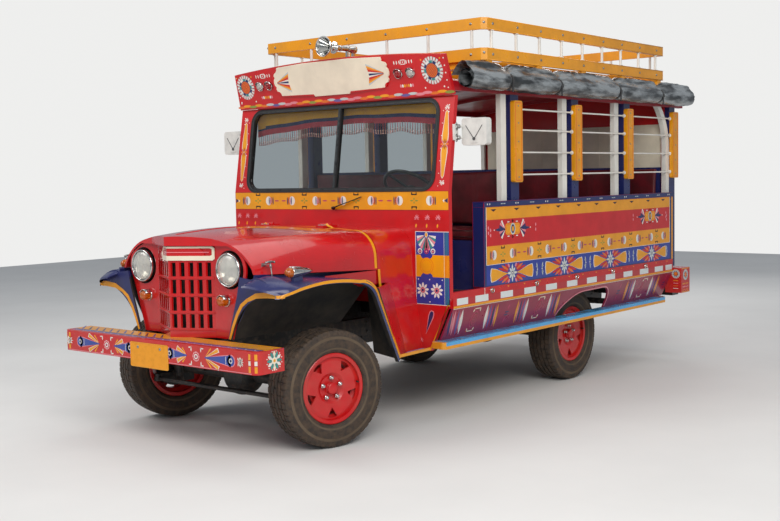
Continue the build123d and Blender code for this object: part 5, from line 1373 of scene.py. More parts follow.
class CHIVA_OT_bonnet_trim(bpy.types.Operator):
    """Fit the bonnet's coach line, hinge bolts, T latches, ornament and bare badge"""
    bl_idname = "chiva.bonnet_trim"
    bl_label = "Bonnet trim"

    def execute(self, context):
        tree = surface_of(frame["nodes"]["bonnet"].data)
        section = arc_points([(0.0, 1.252), [(0.27, 1.2475)], (0.500, 1.234), [(0.640, 1.180)],
                              (0.684, 1.060),
                              (0.688, 0.994)], 9)
        rows = [(-y, z) for y, z in section[:0:-1]] + section
        pairs = []
        for (y, z), du, dv in directed(rows):
            out = Vector((0, -dv, du))
            ends = []
            for behind in (0.4985, 0.4775):
                start = Vector((back(behind), y, max(z, 1.001))) + out * 0.05
                ends.append(struck(tree, start, -out)[0])
            pairs.append((ends[0], ends[1], out))
        line = Stock()
        line.strip(pairs, 0.0012, 0)
        line.made("bonnet_coach_line", [enamel("yellow")], slot="yellow_wood", body="bonnet")
        cowl_line, apron = Stock(), Stock()
        for _, side in SIDES:
            ends = []
            for z, y, slip in ((0.994, 0.6893, 0.0), (0.960, 0.6905, 0.0), (0.934, 0.6915, 0.001),
                               (0.905, 0.693, 0.003),
                               (0.884, 0.6945, 0.006)):
                ends.append(((back(0.5032 + slip), side * y, z), (back(0.5232 + slip), side * y, z),
                             (0, side, 0)))
            cowl_line.strip(ends, 0.0014, 0)
            # sheet that closes the bay between the bonnet's lower edge and the fender
            profile = [(0.030, 0.966), (0.190, 0.957), (0.262, 0.930), (0.330, 0.900), (0.497, 0.900),
                       (0.497, 0.9885),
                       (0.030, 0.9885)]
            apron.slab([(-a, b) for a, b in profile], -0.0012, 0.0012,
                       lambda a, b, h: (FRONT_AXLE + a, side * (0.681 + h), b), 0)
        cowl_line.made("cowl_coach_line", [enamel("yellow")], slot="yellow_wood")
        apron.made("bonnet_side_aprons", [sprayed("red")], slot="red_paint")

        catches, shafts = Stock(), Stock()
        for _, side in SIDES:
            foot = Vector((FRONT_AXLE + 0.372, side * 0.653, 1.001))
            head = Vector((FRONT_AXLE + 0.368, side * 0.632, 1.098))
            axis = (head - foot).normalized()
            shafts.rod([foot + axis * 0.004, foot + axis * 0.030, head - axis * 0.018, head], 0.0042, 12)
            shafts.turned([(0.0042, 0.0), (0.0075, 0.002), (0.0082, 0.014), (0.0070, 0.022), (0.0042, 0.024)],
                          facing(head - axis * 0.034, axis), 20)
            shafts.rod([head + Vector((-0.031, 0, -0.002)), head + Vector((-0.016, 0, 0.001)),
                        head + Vector((0.016, 0, 0.001)), head + Vector((0.031, 0, -0.002))],
                       [0.0050, 0.0068, 0.0068, 0.0050], 12)
            for end in (1, -1):
                shafts.knob([(0, -0.006), (0.006, -0.004), (0.0075, 0.0), (0.006, 0.004), (0, 0.006)],
                            facing(head + Vector((0.032 * end, 0, -0.002)), FORWARD), 14)
            shafts.knob([(0, -0.001), (0.019, -0.001), (0.018, 0.003), (0.010, 0.007), (0.009, 0.012),
                         (0.005, 0.016),
                         (0, 0.017)], facing(foot, (0.05, 0, 1)), 24)
            side_hit, _ = struck(tree, (head.x, side * 0.9, 1.080), (0, -side, 0))
            reach = abs(side_hit.y)
            catches.slab([(-0.017, -0.012), (0.017, -0.012), (0.013, 0.010), (-0.013, 0.010)], -0.001, 0.004,
                         lambda a, b, h: (head.x + a, side * (reach + h), 1.080 + b), 0)
            catches.slab([(-0.012, 0.0), (0.012, 0.0), (0.009, 0.040), (0.0045, 0.040), (0.0045, 0.028),
                          (-0.0045, 0.028),
                          (-0.0045, 0.040), (-0.009, 0.040)], 0.0, 0.0045,
                         lambda a, b, h: (head.x + a, side * (reach + b * 0.9), 1.080 + h), 0)
        shafts.made("bonnet_latches", [zinc_steel()], slot="horn_chrome")
        catches.made("bonnet_catches", [zinc_steel()], 0.0008, body="bonnet")

        hinge = Stock()
        for _, side in SIDES:
            for x in (0.022, 0.044):
                for y in (-0.017, 0.017):
                    bolt(hinge, (back(0.503) + x, side * 0.26 + y, 1.2620), UPWARD, 0.009, 0.0045)
        hinge.made("bonnet_hinge_screws", [zinc_steel()], body="bonnet")
        seam = Stock()
        ridge = []
        for k in range(25):
            x = back(0.470) + 0.98 * k / 24
            spot, normal = struck(tree, (x, 0.0, 1.5), DOWNWARD)
            wide = 0.011 if 0 < k < 24 else 0.004
            ridge.append((spot + Vector((0, -wide, -0.0006)), spot + Vector((0, wide, -0.0006)), normal))
        seam.strip(ridge, 0.0035, 0)
        seam.made("bonnet_crown_bead", [enamel("red")], 0.002, slot="red_paint", body="bonnet")

        badge = Stock()
        slope = 0.130 / 0.250

        def badge_point(a, b, h):
            """Point on the badge's raised V."""
            flat = math.hypot(1, slope)
            sense = (a > 0) - (a < 0)
            return (FRONT_AXLE + 0.585 - slope * abs(a) + h / flat, a + sense * h * slope / flat, b)

        outer = [(-0.112, 1.136), (-0.092, 1.1005), (0.0, 1.1005), (0.190, 1.1005), (0.250, 1.1005),
                 (0.262, 1.110),
                 (0.262, 1.172), (0.250, 1.1815), (0.0, 1.1815), (-0.066, 1.1815)]
        inner = [(a if abs(a) < 0.001 else 0.080 + (a - 0.080) * 0.92, 1.127 + (b - 1.1005) * 0.545) for a,
                 b in outer]
        badge.ring_plate(outer, inner, -0.0008, 0.0022, badge_point, 0)
        for a0, a1 in ((-0.070, 0.0), (0.0, 0.232)):
            badge.slab(bar(a0, a1, 1.146, 1.150), -0.0004, 0.0012, badge_point, 1)
        badge.made("badge_outline", [enamel("cream"), enamel("pink")], slot="white_paint")

        grille = Stock()
        for row in range(4):
            z = 0.695 + row * 0.10075
            pairs = []
            for a in (-0.252, -0.126, 0.0, 0.126, 0.252):
                x = FRONT_AXLE + 0.576 - slope * abs(a)
                pairs.append(((x, a, z - 0.0055), (x, a, z + 0.0055), FORWARD))
            grille.strip(pairs, 0.0045, 0)
        grille.made("grille_rail_beads", [enamel("red")], 0.0016, slot="red_paint")
        return {"FINISHED"}


class CHIVA_OT_front_wall_paint(bpy.types.Operator):
    """Paint the band under the windscreen, the pillars and the quarter panels"""
    bl_idname = "chiva.front_wall_paint"
    bl_label = "Front wall paint"

    def execute(self, context):
        strokes = [(1, "yellow", bar(-0.968, 0.968, 1.349, 1.466))]
        marks = [(-0.854, 1), (-0.614, -1), (-0.405, 1), (-0.157, -1), (0.075, 1), (0.344, -1), (0.564, 1),
                 (0.833, -1)]
        rows = motif_row(marks, [-0.733, -0.274, 0.203, 0.696], 1.4075, 0.117)
        strokes += raised(rows)
        for b in (1.345, 1.4685):
            strokes.append((1, "deep_red", bar(-0.968, 0.968, b - 0.0012, b + 0.0012)))
        for side in (1, -1):
            strokes.append((2, "navy", brush(0.94 * side, 1.4075, 90 - 90 * side, 0.0, 0.024, 0.002, 0.016)))
            strokes.append((2, "white",
                            brush(0.925 * side, 1.4075, 90 - 90 * side, 0.0, 0.012, 0.001, 0.012)))
        lay_paint("front_band_paint", strokes, on_x(WALL_FACE), slot="yellow_wood")

        pillars = []
        flat = [(0.0, 0.105), (0.007, 0.09), (0.011, 0.03), (0.016, -0.05), (0.015, -0.085), (0.009, -0.102),
                (0.0, -0.107)]
        for side in (1, -1):
            a = 0.9135 * side
            pillars += frond(a, 1.985, 90, 0.030) + frond(a, 1.530, -90, 0.030)
            for middle in (1.870, 1.655):
                upright = 1 if middle > 1.7 else -1
                drop = [(a + side * 1.35 * u, middle + upright * v) for u,
                        v in flat + [(-u, v) for u, v in flat[-2:0:-1]]]
                rim = [(a + (x - a) * 1.22, middle + (y - middle) * 1.04) for x, y in drop]
                pillars += [(1, "white", rim), (2, "yellow", drop)]
            for turn in range(0, 360, 45):
                pillars.append((2, "pink" if turn % 90 else "orange",
                                leaf(a, 1.762, turn, 0.006, 0.034, 0.007)))
            for k in range(5):
                b = 1.735 + 0.013 * k
                for turn in (35, 145):
                    pillars.append((1, "cream" if k % 2 else "yellow",
                                    brush(a, b + 0.002, turn, -0.013, 0.013, 0.0014, 0.0014)))
            for b in (1.515, 2.008, 1.965):
                pillars.append((2, "white", disc(a + 0.014 * side, b, 0.005, 8)))
            for k in range(7):
                b = 1.50 + 0.079 * k
                pillars.append((1, "white", disc(0.884 * side, b, 0.0032, 8)))
            # small sprays on the red between the band and the quarter panel
            for y in (0.735, 0.820, 0.905):
                pillars += [(1, "pink", s[2]) for s in frond(side * y, 1.292, 90, 0.030)]
                pillars += [(1, "yellow", leaf(side * y, 1.262, -90, 0.0, 0.026, 0.006))]
        lay_paint("pillar_paint", pillars, wall_point, slot="white_paint")

        for name, side in SIDES:
            lo, hi = 0.705, 0.969
            panel = [(1, "white", bar(lo - 0.004, hi, 0.744, 1.212)),
                     (2, "blue", bar(lo, 0.930, 1.062, 1.208)),
                      (2, "yellow", bar(lo, 0.930, 0.921, 1.062)), (2, "blue", bar(lo, 0.930, 0.748, 0.921))]
            # pinstriped outer edge
            for b0, b1, base, pin in ((1.062, 1.208, "blue", "teal"), (0.921, 1.062, "yellow", "orange"),
                                      (0.748, 0.921, "blue", "teal")):
                panel.append((2, base, bar(0.930, hi, b0, b1)))
                for k in range(3):
                    a = 0.936 + 0.011 * k
                    panel.append((3, pin, bar(a, a + 0.0045, b0 + 0.001, b1 - 0.001)))
            panel.append((3, "white", bar(0.9285, 0.9305, 0.748, 1.208)))
            # sun and its fan
            sun = (0.790, 1.190)
            for k in range(13):
                angle = -168 + 156 * k / 12
                key = ("white", "pink", "teal")[k % 3]
                panel.append((3, key, brush(sun[0], sun[1], angle, 0.022, 0.105 - 0.028 * abs(k - 6) / 6,
                                            0.002, 0.009)))
            panel += [(4, "cream", oval(sun[0], sun[1], 0.012, 0.018)),
                      (5, "yellow", oval(sun[0], sun[1], 0.008, 0.013)),
                      (3, "pink", brush(sun[0], sun[1], -90, 0.02, 0.088, 0.003, 0.020))]
            for a, key in ((0.738, "white"), (0.790, "rose"), (0.842, "white")):
                panel += [(4, key, disc(a, 1.086, 0.0185, 16)), (5, "navy", disc(a, 1.084, 0.0125, 14)),
                          (6, "pink", disc(a, 1.084, 0.0070, 12))]
            # blue scallops bite into the yellow band, with its ringed disc between them
            for edge, sense in ((1.0625, -1), (0.9205, 1)):
                panel.append((3, "blue",
                              [(0.742, edge)] + [(0.790 + 0.048 * math.cos(t),
                                                  edge + sense * 0.030 * math.sin(t))
                               for t in [PI * (1 - k / 10) for k in range(11)]] + [(0.838, edge)]))
            panel += [(4, "orange", disc(0.790, 0.9915, 0.054, 26)),
                      (5, "yellow", disc(0.790, 0.9915, 0.051, 26)),
                      (6, "orange", disc(0.790, 0.9915, 0.040, 24)),
                      (7, "yellow", disc(0.790, 0.9915, 0.038, 24))]
            for a in (0.756, 0.868):
                rings = (("white", 0.46), ("rose", 0.38), ("pink", 0.27), ("navy", 0.18))
                panel += raised(daisy(a, 0.836, 0.050, "white", rings, 9), 2)
            for a, b in ((0.812, 0.905), (0.812, 0.762), (0.722, 0.905), (0.912, 0.905)):
                panel.append((3, "white", disc(a, b, 0.0045, 8)))
            # the foot's drop and its slanted border
            tip, end = (0.778, 0.560), (0.829, 0.700)
            run = math.degrees(math.atan2(end[1] - tip[1], end[0] - tip[0]))
            reach = math.dist(tip, end)
            for grow, level, key in ((1.45, 3, "pink"), (1.0, 4, "navy")):
                flat = [(-0.012 * (grow - 0.8), 0.0), (0.3 * reach, 0.006 * grow),
                        (0.75 * reach, 0.0145 * grow),
                        (0.93 * reach + 0.006 * (grow - 1), 0.0135 * grow),
                        (reach + 0.012 * (grow - 1), 0.0065 * grow),
                        (reach + 0.014 * (grow - 1), -0.0065 * grow), (0.93 * reach, -0.0135 * grow),
                        (0.75 * reach, -0.0145 * grow), (0.3 * reach, -0.006 * grow)]
                panel.append((level, key, swung(*tip, run, flat)))
            panel.append((2, "yellow", [(0.968, 0.742), (0.9675, 0.792), (0.9515, 0.742)]))
            panel.append((2, "yellow", [(0.953, 0.742), (0.9685, 0.7905), (0.9715, 0.788), (0.8145, 0.4525),
                                        (0.802, 0.4525)]))
            panel.append((2, "yellow", [(0.700, 0.4435), (0.806, 0.4475), (0.804, 0.4585), (0.700, 0.4545)]))
            panel.append((2, "white", bar(0.6995, 0.7015, 0.455, 0.742)))
            panel += frond(0.735, 0.505, 90, 0.026, "pink")
            strokes = panel if side > 0 else mirrored(panel)
            lay_paint("quarter_panel_paint_" + name, strokes, on_x(WALL_FACE), slot="navy_paint")
        return {"FINISHED"}


class CHIVA_OT_windscreen_trim(bpy.types.Operator):
    """Fit the bright strip in the windscreen rubber, the divider and the wipers"""
    bl_idname = "chiva.windscreen_trim"
    bl_label = "Windscreen trim"

    def execute(self, context):
        low, high, half = WINDSCREEN_LOW, WINDSCREEN_HIGH - 0.010, 0.855

        def frame_strip(outset, inset, outer_radius, inner_radius, height):
            """Pairs of points round the glass, between two distances inside its edge."""
            outer, inner = (rounded(-half + gap, half - gap, low + gap, high - gap, radius, 8)
                            for gap, radius in ((outset, outer_radius), (inset, inner_radius)))
            return [(wall_point(a, b, height), wall_point(c, d, height), (1, 0, 0.15))
                    for (a, b), (c, d) in zip(outer, inner)]

        stock = Stock()
        stock.strip(frame_strip(0.0135, 0.0175, 0.0815, 0.0775, 0.0038), 0.0012, 0, closed=True)
        stock.slab(bar(-0.0085, 0.0085, low + 0.020, high - 0.020), -0.002, 0.0035, wall_point, 0)
        stock.slab(bar(-0.0035, 0.0035, low + 0.026, high - 0.026), 0.003, 0.0062, wall_point, 0)
        bright = metal("dulled_aluminium_strip", "#55585A", 1.0, 0.42, 0.01, 0.0002, "#2E3032")
        stock.made("windscreen_bright_strip", [bright], 0.0008, slot="seal_rubber")

        lips = Stock()
        lips.strip(frame_strip(-0.004, 0.004, 0.099, 0.091, 0.0004), 0.0052, 0, closed=True)
        lips.made("windscreen_rubber_lip", [extruded_rubber()], 0.0015, slot="seal_rubber")

        wipers, rubber = Stock(), Stock()
        a0, b0 = 0.015, 1.358
        span, rise = 0.262 - a0, 1.432 - b0
        wipers.knob([(0, -0.002), (0.013, -0.002), (0.0125, 0.006), (0.009, 0.012), (0.009, 0.017),
                     (0, 0.019)],
                    facing(wall_point(a0, b0, 0.0), (1, 0, 0.15)), 20)
        mid = (a0 + 0.52 * span, b0 + 0.52 * rise)
        path = [wall_point(a0, b0, 0.014), wall_point(a0 + 0.25 * span, b0 + 0.25 * rise, 0.021),
                wall_point(*mid, 0.020), wall_point(mid[0] + 0.02, mid[1] + 0.004, 0.012)]
        wipers.rod(path, [0.0052, 0.0042, 0.0034, 0.0030])
        blade = [(a0 + u * span, b0 + u * rise + 0.003) for u in (0.06, 0.3, 0.6, 0.98)]
        rubber.rod([wall_point(a, b, 0.0045) for a, b in blade], 0.0032, 8)
        wipers.rod([wall_point(a, b, 0.0085) for a, b in blade], 0.0022, 8)
        wipers.made("wiper_arms", [metal("black_lacquered_steel", "#26262A", 0.3, 0.35, 0.01, 0.0002)])
        rubber.made("wiper_blades", [extruded_rubber()])
        return {"FINISHED"}


class CHIVA_OT_header(bpy.types.Operator):
    """Paint the header's cream panel, rosettes and ribbon, and fit its four lamps"""
    bl_idname = "chiva.header"
    bl_label = "Header board"

    def execute(self, context):
        corner = [(0.440, 0.084), (0.444, 0.102), (0.456, 0.113), (0.474, 0.118), (0.482, 0.134),
                  (0.476, 0.148),
                  (0.488, 0.160), (0.492, 0.180), (0.488, 0.200), (0.476, 0.212), (0.484, 0.226),
                  (0.476, 0.242),
                  (0.458, 0.250), (0.446, 0.262), (0.442, 0.282)]
        panel = [(-0.198, 0.078), (-0.186, 0.062), (0.126, 0.062), (0.140, 0.078)] + corner
        panel += [(0.160, 0.294), (-0.260, 0.294)] + [(-0.060 - a, s) for a, s in reversed(corner)]
        grown = [(a + (0.0015 if a > -0.05 else -0.0015), s + (0.0012 if s > 0.17 else -0.0012)) for a,
                 s in panel]
        board = Stock()
        board.slab(grown, 0.0006, 0.0132, header_local, 0)
        board.made("cream_name_panel", [enamel("cream")], 0.002, slot="white_paint")
        strokes = []
        keys = ("grey", "yellow", "orange", "red", "white", "navy", "white", "red", "orange", "yellow",
                "grey")
        for tip, base in ((-0.520, -0.395), (0.452, 0.310)):
            count = len(keys)
            for k, key in enumerate(keys):
                s0, s1 = 0.104 + 0.145 * k / count, 0.104 + 0.145 * (k + 1) / count
                away = (base - tip) * (0.86 + 0.14 * abs(2 * (k + 0.5) / count - 1))
                if key == "white":
                    s0, s1 = s0 + 0.002, s1 - 0.002
                strokes.append((1 + (k % 2), key,
                                [(tip, 0.1765 + 0.10 * (s0 - 0.1765)), (tip + away, s0), (tip + away, s1),
                                 (tip, 0.1765 + 0.10 * (s1 - 0.1765))]))
                if key == "navy":
                    strokes.append((3, key,
                                    [(tip, 0.175), (tip + away * 1.02, s0), (tip + away * 1.02, s1),
                                     (tip, 0.178)]))
        lay_paint("name_panel_fans", strokes, header_local, base=0.0132, slot="white_paint")

        strokes = []
        for a in (0.835, -0.859):
            b = 2.226
            for k in range(22):
                angle = 360 * k / 22
                strokes.append((1, "grey", brush(a, b, angle, 0.055, 0.085, 0.0065, 0.0085)))
                strokes.append((2, "white", brush(a, b, angle, 0.064, 0.081, 0.0030, 0.0050)))
            strokes.append((2, "grey", disc(a, b, 0.063, 30)))
            for k in range(12):
                key = ("teal", "white", "navy")[k % 3]
                strokes.append((3, key, brush(a, b, 30 * k, 0.045, 0.061, 0.0100, 0.0130)))
            strokes += [(4, "navy", disc(a, b, 0.048, 26)), (5, "orange", disc(a, b, 0.043, 26))]
            for k in range(-3, 4):
                half = math.sqrt(max(0.0, 0.040 ** 2 - (0.011 * k) ** 2))
                for turn in (45, 135):
                    c, s = math.cos(math.radians(turn)), math.sin(math.radians(turn))
                    ca, cb = a - 0.011 * k * s, b + 0.011 * k * c
                    strokes.append((6, "deep_red", brush(ca, cb, turn, -half, half, 0.0009, 0.0009)))
            for u in (-0.075, 0.075):
                strokes.append((1, "white", disc(a + u, 2.123, 0.006, 8)))
                strokes.append((1, "yellow", disc(a + u, 2.296, 0.006, 8)))
        for a in (0.563, 0.664, -0.619, -0.710):
            for u in (-0.022, 0.0, 0.022):
                strokes.append((1, "white", oval(a + u, 2.293, 0.0045, 0.012, 10)))
        for a in (0.6135, -0.6645):
            strokes += [(1, "white", bar(a - 0.019, a + 0.019, 2.278, 2.309)),
                        (2, "red", bar(a - 0.014, a + 0.014, 2.283, 2.304)),
                        (3, "white", disc(a, 2.2935, 0.005, 10))]
            for k in range(7):
                u = (k - 3) * 0.0165
                strokes.append((1, ("pink", "white", "yellow", "orange", "yellow", "white", "pink")[k],
                                oval(a + u, 2.146, 0.0072, 0.0105, 10)))
        tints = ("orange", "yellow", "green", "yellow", "orange", "grey", "purple", "grey", "pink", "pink")
        count = 33
        for k in range(count):
            a = -0.945 + 1.89 * k / (count - 1)
            lift = 0.0035 * (1 if k % 2 else -1)
            strokes.append((1 + k % 3, tints[k % len(tints)], oval(a, 2.0905 + lift, 0.0385, 0.0090, 16)))
        strokes.append((1, "deep_red", bar(-0.96, 0.96, 2.0695, 2.0745)))
        for end in (1, -1):
            for b in (2.115, 2.16, 2.205, 2.25, 2.295):
                strokes.append((1, "white", disc(0.938 * end, b, 0.0048, 8)))
        lay_paint("header_paint", strokes, header_point, slot="red_paint")

        rims, red, clear = Stock(), Stock(), Stock()
        for a, lens in ((0.563, red), (0.664, clear), (-0.619, red), (-0.710, clear)):
            origin = Vector(header_point(a, 2.225, 0.0))
            ahead = Vector(header_point(a, 2.225, 1.0)) - origin
            matrix = facing(origin, ahead)
            rims.turned([(0.029, 0.0), (0.0345, 0.0), (0.0345, 0.006), (0.0315, 0.010), (0.0290, 0.009)],
                        matrix, 32)
            lens.knob([(0, 0.0255), (0.008, 0.0250), (0.016, 0.0225), (0.023, 0.0170), (0.0275, 0.0095),
                       (0.0288, 0.001),
                       (0, 0.001)], matrix, 28)
            lens.turned([(0.0100, 0.0242), (0.0115, 0.0258), (0.0130, 0.0238)], matrix, 28)
            # columns: distance ahead, radius
            section = ((0.0, 0.0345), (0.024, 0.0340), (0.024, 0.0325), (0.0, 0.0330))
            hood = []
            for k in range(15):
                angle = math.radians(12 + 156 * k / 14)
                u, v = math.cos(angle), math.sin(angle)
                hood.append([matrix @ Vector((radius * u, radius * v, 0.004 + reach * (0.35 + 0.65 * v)))
                             for reach, radius in section])
            rims.loft(hood, 0, True)
        rims.made("header_lamp_bezels", [chromed()])
        red.made("header_red_lenses", [red_acrylic()], slot="lamp_glass")
        clear.made("header_clear_lenses", [lamp_lens("moulded_clear_acrylic", "#E6E4DC", 0.14, 0.004)],
                   slot="lamp_glass")
        return {"FINISHED"}


class CHIVA_OT_mirrors_and_horn(bpy.types.Operator):
    """Fit the mirror glasses, their ribs and clamps, and the horn's fittings"""
    bl_idname = "chiva.mirrors_and_horn"
    bl_label = "Mirrors and horn"

    def execute(self, context):
        shells, glass, clamps = Stock(), Stock(), Stock()
        for _, side in SIDES:
            place = lambda a, b, h: (back(1.0305) - h, side * a, b)
            glass.slab(rounded(1.014, 1.178, 1.762, 1.908, 0.016), 0.0, 0.0015, place, 0)
            shells.ring_plate(rounded(1.006, 1.186, 1.754, 1.916, 0.022),
                              rounded(1.014, 1.178, 1.762, 1.908, 0.016),
                       -0.001, 0.0045, place, 0)
            front = lambda a, b, h: (back(0.975) + h, side * a, b)
            for end in (1, -1):
                tip = 1.096 + end * 0.062
                shells.slab([(1.096, 1.785), (tip, 1.870), (tip, 1.876), (1.096, 1.792)], -0.002, 0.0032,
                            front, 1)
            shells.slab(rounded(1.070, 1.122, 1.764, 1.778, 0.004), -0.002, 0.0040, front, 0)
            shells.slab(disc(1.096, 1.790, 0.010, 16), -0.002, 0.0050, front, 1)
            for z in (1.800, 1.870):
                clamps.turned([(0.0072, 0.0), (0.0125, 0.002), (0.0125, 0.020), (0.0072, 0.022)],
                              facing((back(0.9490), side * 0.984, z),
                                     (back(1.002) - back(0.948), side * (1.022 - 0.976), 0)),
                              20, 0)
                for lift in (-0.018, 0.016):
                    bolt(clamps, (back(0.945), side * 0.982, z + lift), (0, side, 0), 0.012)
        shells.made("mirror_shell_ribs", [white_plastic(),
                                                  moulded("moulded_grey_plastic", "#4A4A4A", 0.4)], 0.001,
                    slot="mirror_plastic")
        mirror = metal("silvered_mirror_glass", "#E9ECEC", 1.0, 0.02, 0.05, 0.0001, "#D8DCDC")
        glass.made("mirror_glasses", [mirror], slot="mirror_plastic")
        clamps.made("mirror_clamps", [zinc_steel()])

        horn = Stock()
        tail = Vector((back(1.12), 0.0, 2.440))
        matrix = facing(tail, FORWARD)
        horn.knob([(0, -0.004), (0.018, -0.003), (0.0275, 0.002), (0.0275, 0.022), (0.020, 0.034),
                   (0, 0.034)], matrix, 32)
        horn.turned([(0.0640, 0.3170), (0.0680, 0.3185), (0.0688, 0.3225), (0.0660, 0.3255),
                     (0.0622, 0.3235)], matrix, 48)
        for height, wide in ((0.072, 0.0), (0.150, 0.0), (0.215, 0.02)):
            horn.turned([(0.0150, height - 0.006), (0.0205 + wide, height - 0.003),
                         (0.0210 + wide, height + 0.003),
                         (0.0150, height + 0.006)], matrix, 32)
        for distance in (1.040, 1.100):
            horn.brick((back(distance) - 0.014, -0.026, 2.2635), (back(distance) + 0.014, 0.026, 2.2675))
            for y in (-0.019, 0.019):
                bolt(horn, (back(distance), y, 2.2675), UPWARD, 0.010, 0.005)
        horn.made("horn_fittings", [chromed()], 0.0006, slot="horn_chrome")
        return {"FINISHED"}


def star_flower(a, b, size):
    """Pale eight-armed flower with its beaded heart."""
    strokes = []
    for k in range(8):
        reach = size if k % 2 == 0 else 0.78 * size
        strokes.append((2, "grey", leaf(a, b, 90 + 45 * k, 0.1 * size, reach, 0.15 * size)))
        strokes.append((3, "white", leaf(a, b, 90 + 45 * k, 0.35 * size, 0.9 * reach, 0.06 * size)))
    strokes += [(4, "grey", disc(a, b, 0.30 * size, 16)), (5, "navy", disc(a, b, 0.19 * size, 14)),
                (6, "white", disc(a, b, 0.10 * size, 10))]
    return strokes


def trumpet(a, b, sense, near, far, half):
    """Yellow cone with a round wide end, and a fan of red petals above and below it."""
    strokes = []
    for end in (1, -1):
        for key, turn, length in (("red", 14, 0.62), ("orange", 24, 0.46), ("red", 36, 0.30),
                                  ("pink", 50, 0.18)):
            angle = 90 - 90 * sense + sense * end * turn
            strokes.append((1, key, leaf(a, b, angle, near, near + (far - near) * length, 0.22 * half)))
    wide = [(near, 0.0), (near + 0.3 * (far - near), 0.30 * half), (near + 0.72 * (far - near), 0.86 * half),
            (far - 0.16 * half, half), (far, 0.72 * half), (far + 0.12 * half, 0.0)]
    wide += [(u, -v) for u, v in wide[-2:0:-1]]
    strokes.append((2, "white", [(a + sense * (near + (u - near) * 1.03), b + v * 1.10) for u, v in wide]))
    strokes.append((3, "yellow", [(a + sense * u, b + v) for u, v in wide]))
    for v in (-0.35, 0.0, 0.35):
        strokes.append((4, "lemon", [(a + sense * (near + 0.3 * (far - near)), b + 0.25 * v * half),
                                     (a + sense * far * 0.99, b + v * half * 1.3 - 0.0015),
                                     (a + sense * far * 0.99, b + v * half * 1.3 + 0.0015)]))
    return strokes


def medallion(a, b):
    """Yellow tablet between two fans, on the red board."""
    strokes = [(2, "yellow", rounded(a - 0.088, a + 0.088, b - 0.038, b + 0.038, 0.020, 4)),
               (3, "orange", rounded(a - 0.080, a + 0.080, b - 0.031, b + 0.031, 0.016, 4)),
               (4, "yellow", rounded(a - 0.076, a + 0.076, b - 0.027, b + 0.027, 0.013, 4)),
               (5, "grey", oval(a, b, 0.030, 0.040, 18)), (6, "navy", oval(a, b, 0.021, 0.030, 16)),
               (7, "yellow", oval(a, b, 0.012, 0.019, 14))]
    for sense in (1, -1):
        for k in range(7):
            angle = 90 - 90 * sense + sense * (18 * k - 54)
            key = ("white", "navy", "pink")[k % 3]
            strokes.append((1, key, brush(a + sense * 0.092, b, angle, 0.0, 0.072 + 0.022 * (k == 3), 0.002,
                                          0.0085)))
        strokes.append((2, "navy", leaf(a + sense * 0.10, b, 90 - 90 * sense, 0.0, 0.112, 0.011)))
        strokes.append((2, "white", disc(a + sense * 0.222, b, 0.005, 8)))
        for v in (1, -1):
            strokes.append((1, "white", oval(a + sense * 0.052, b + v * 0.048, 0.014, 0.004, 8)))
            strokes.append((1, "white", leaf(a, b, 90 * v, 0.042, 0.064, 0.008)))
            strokes.append((1, "pink", leaf(a + sense * 0.29, b, 90 * v, 0.004, 0.030, 0.007)))
    return strokes


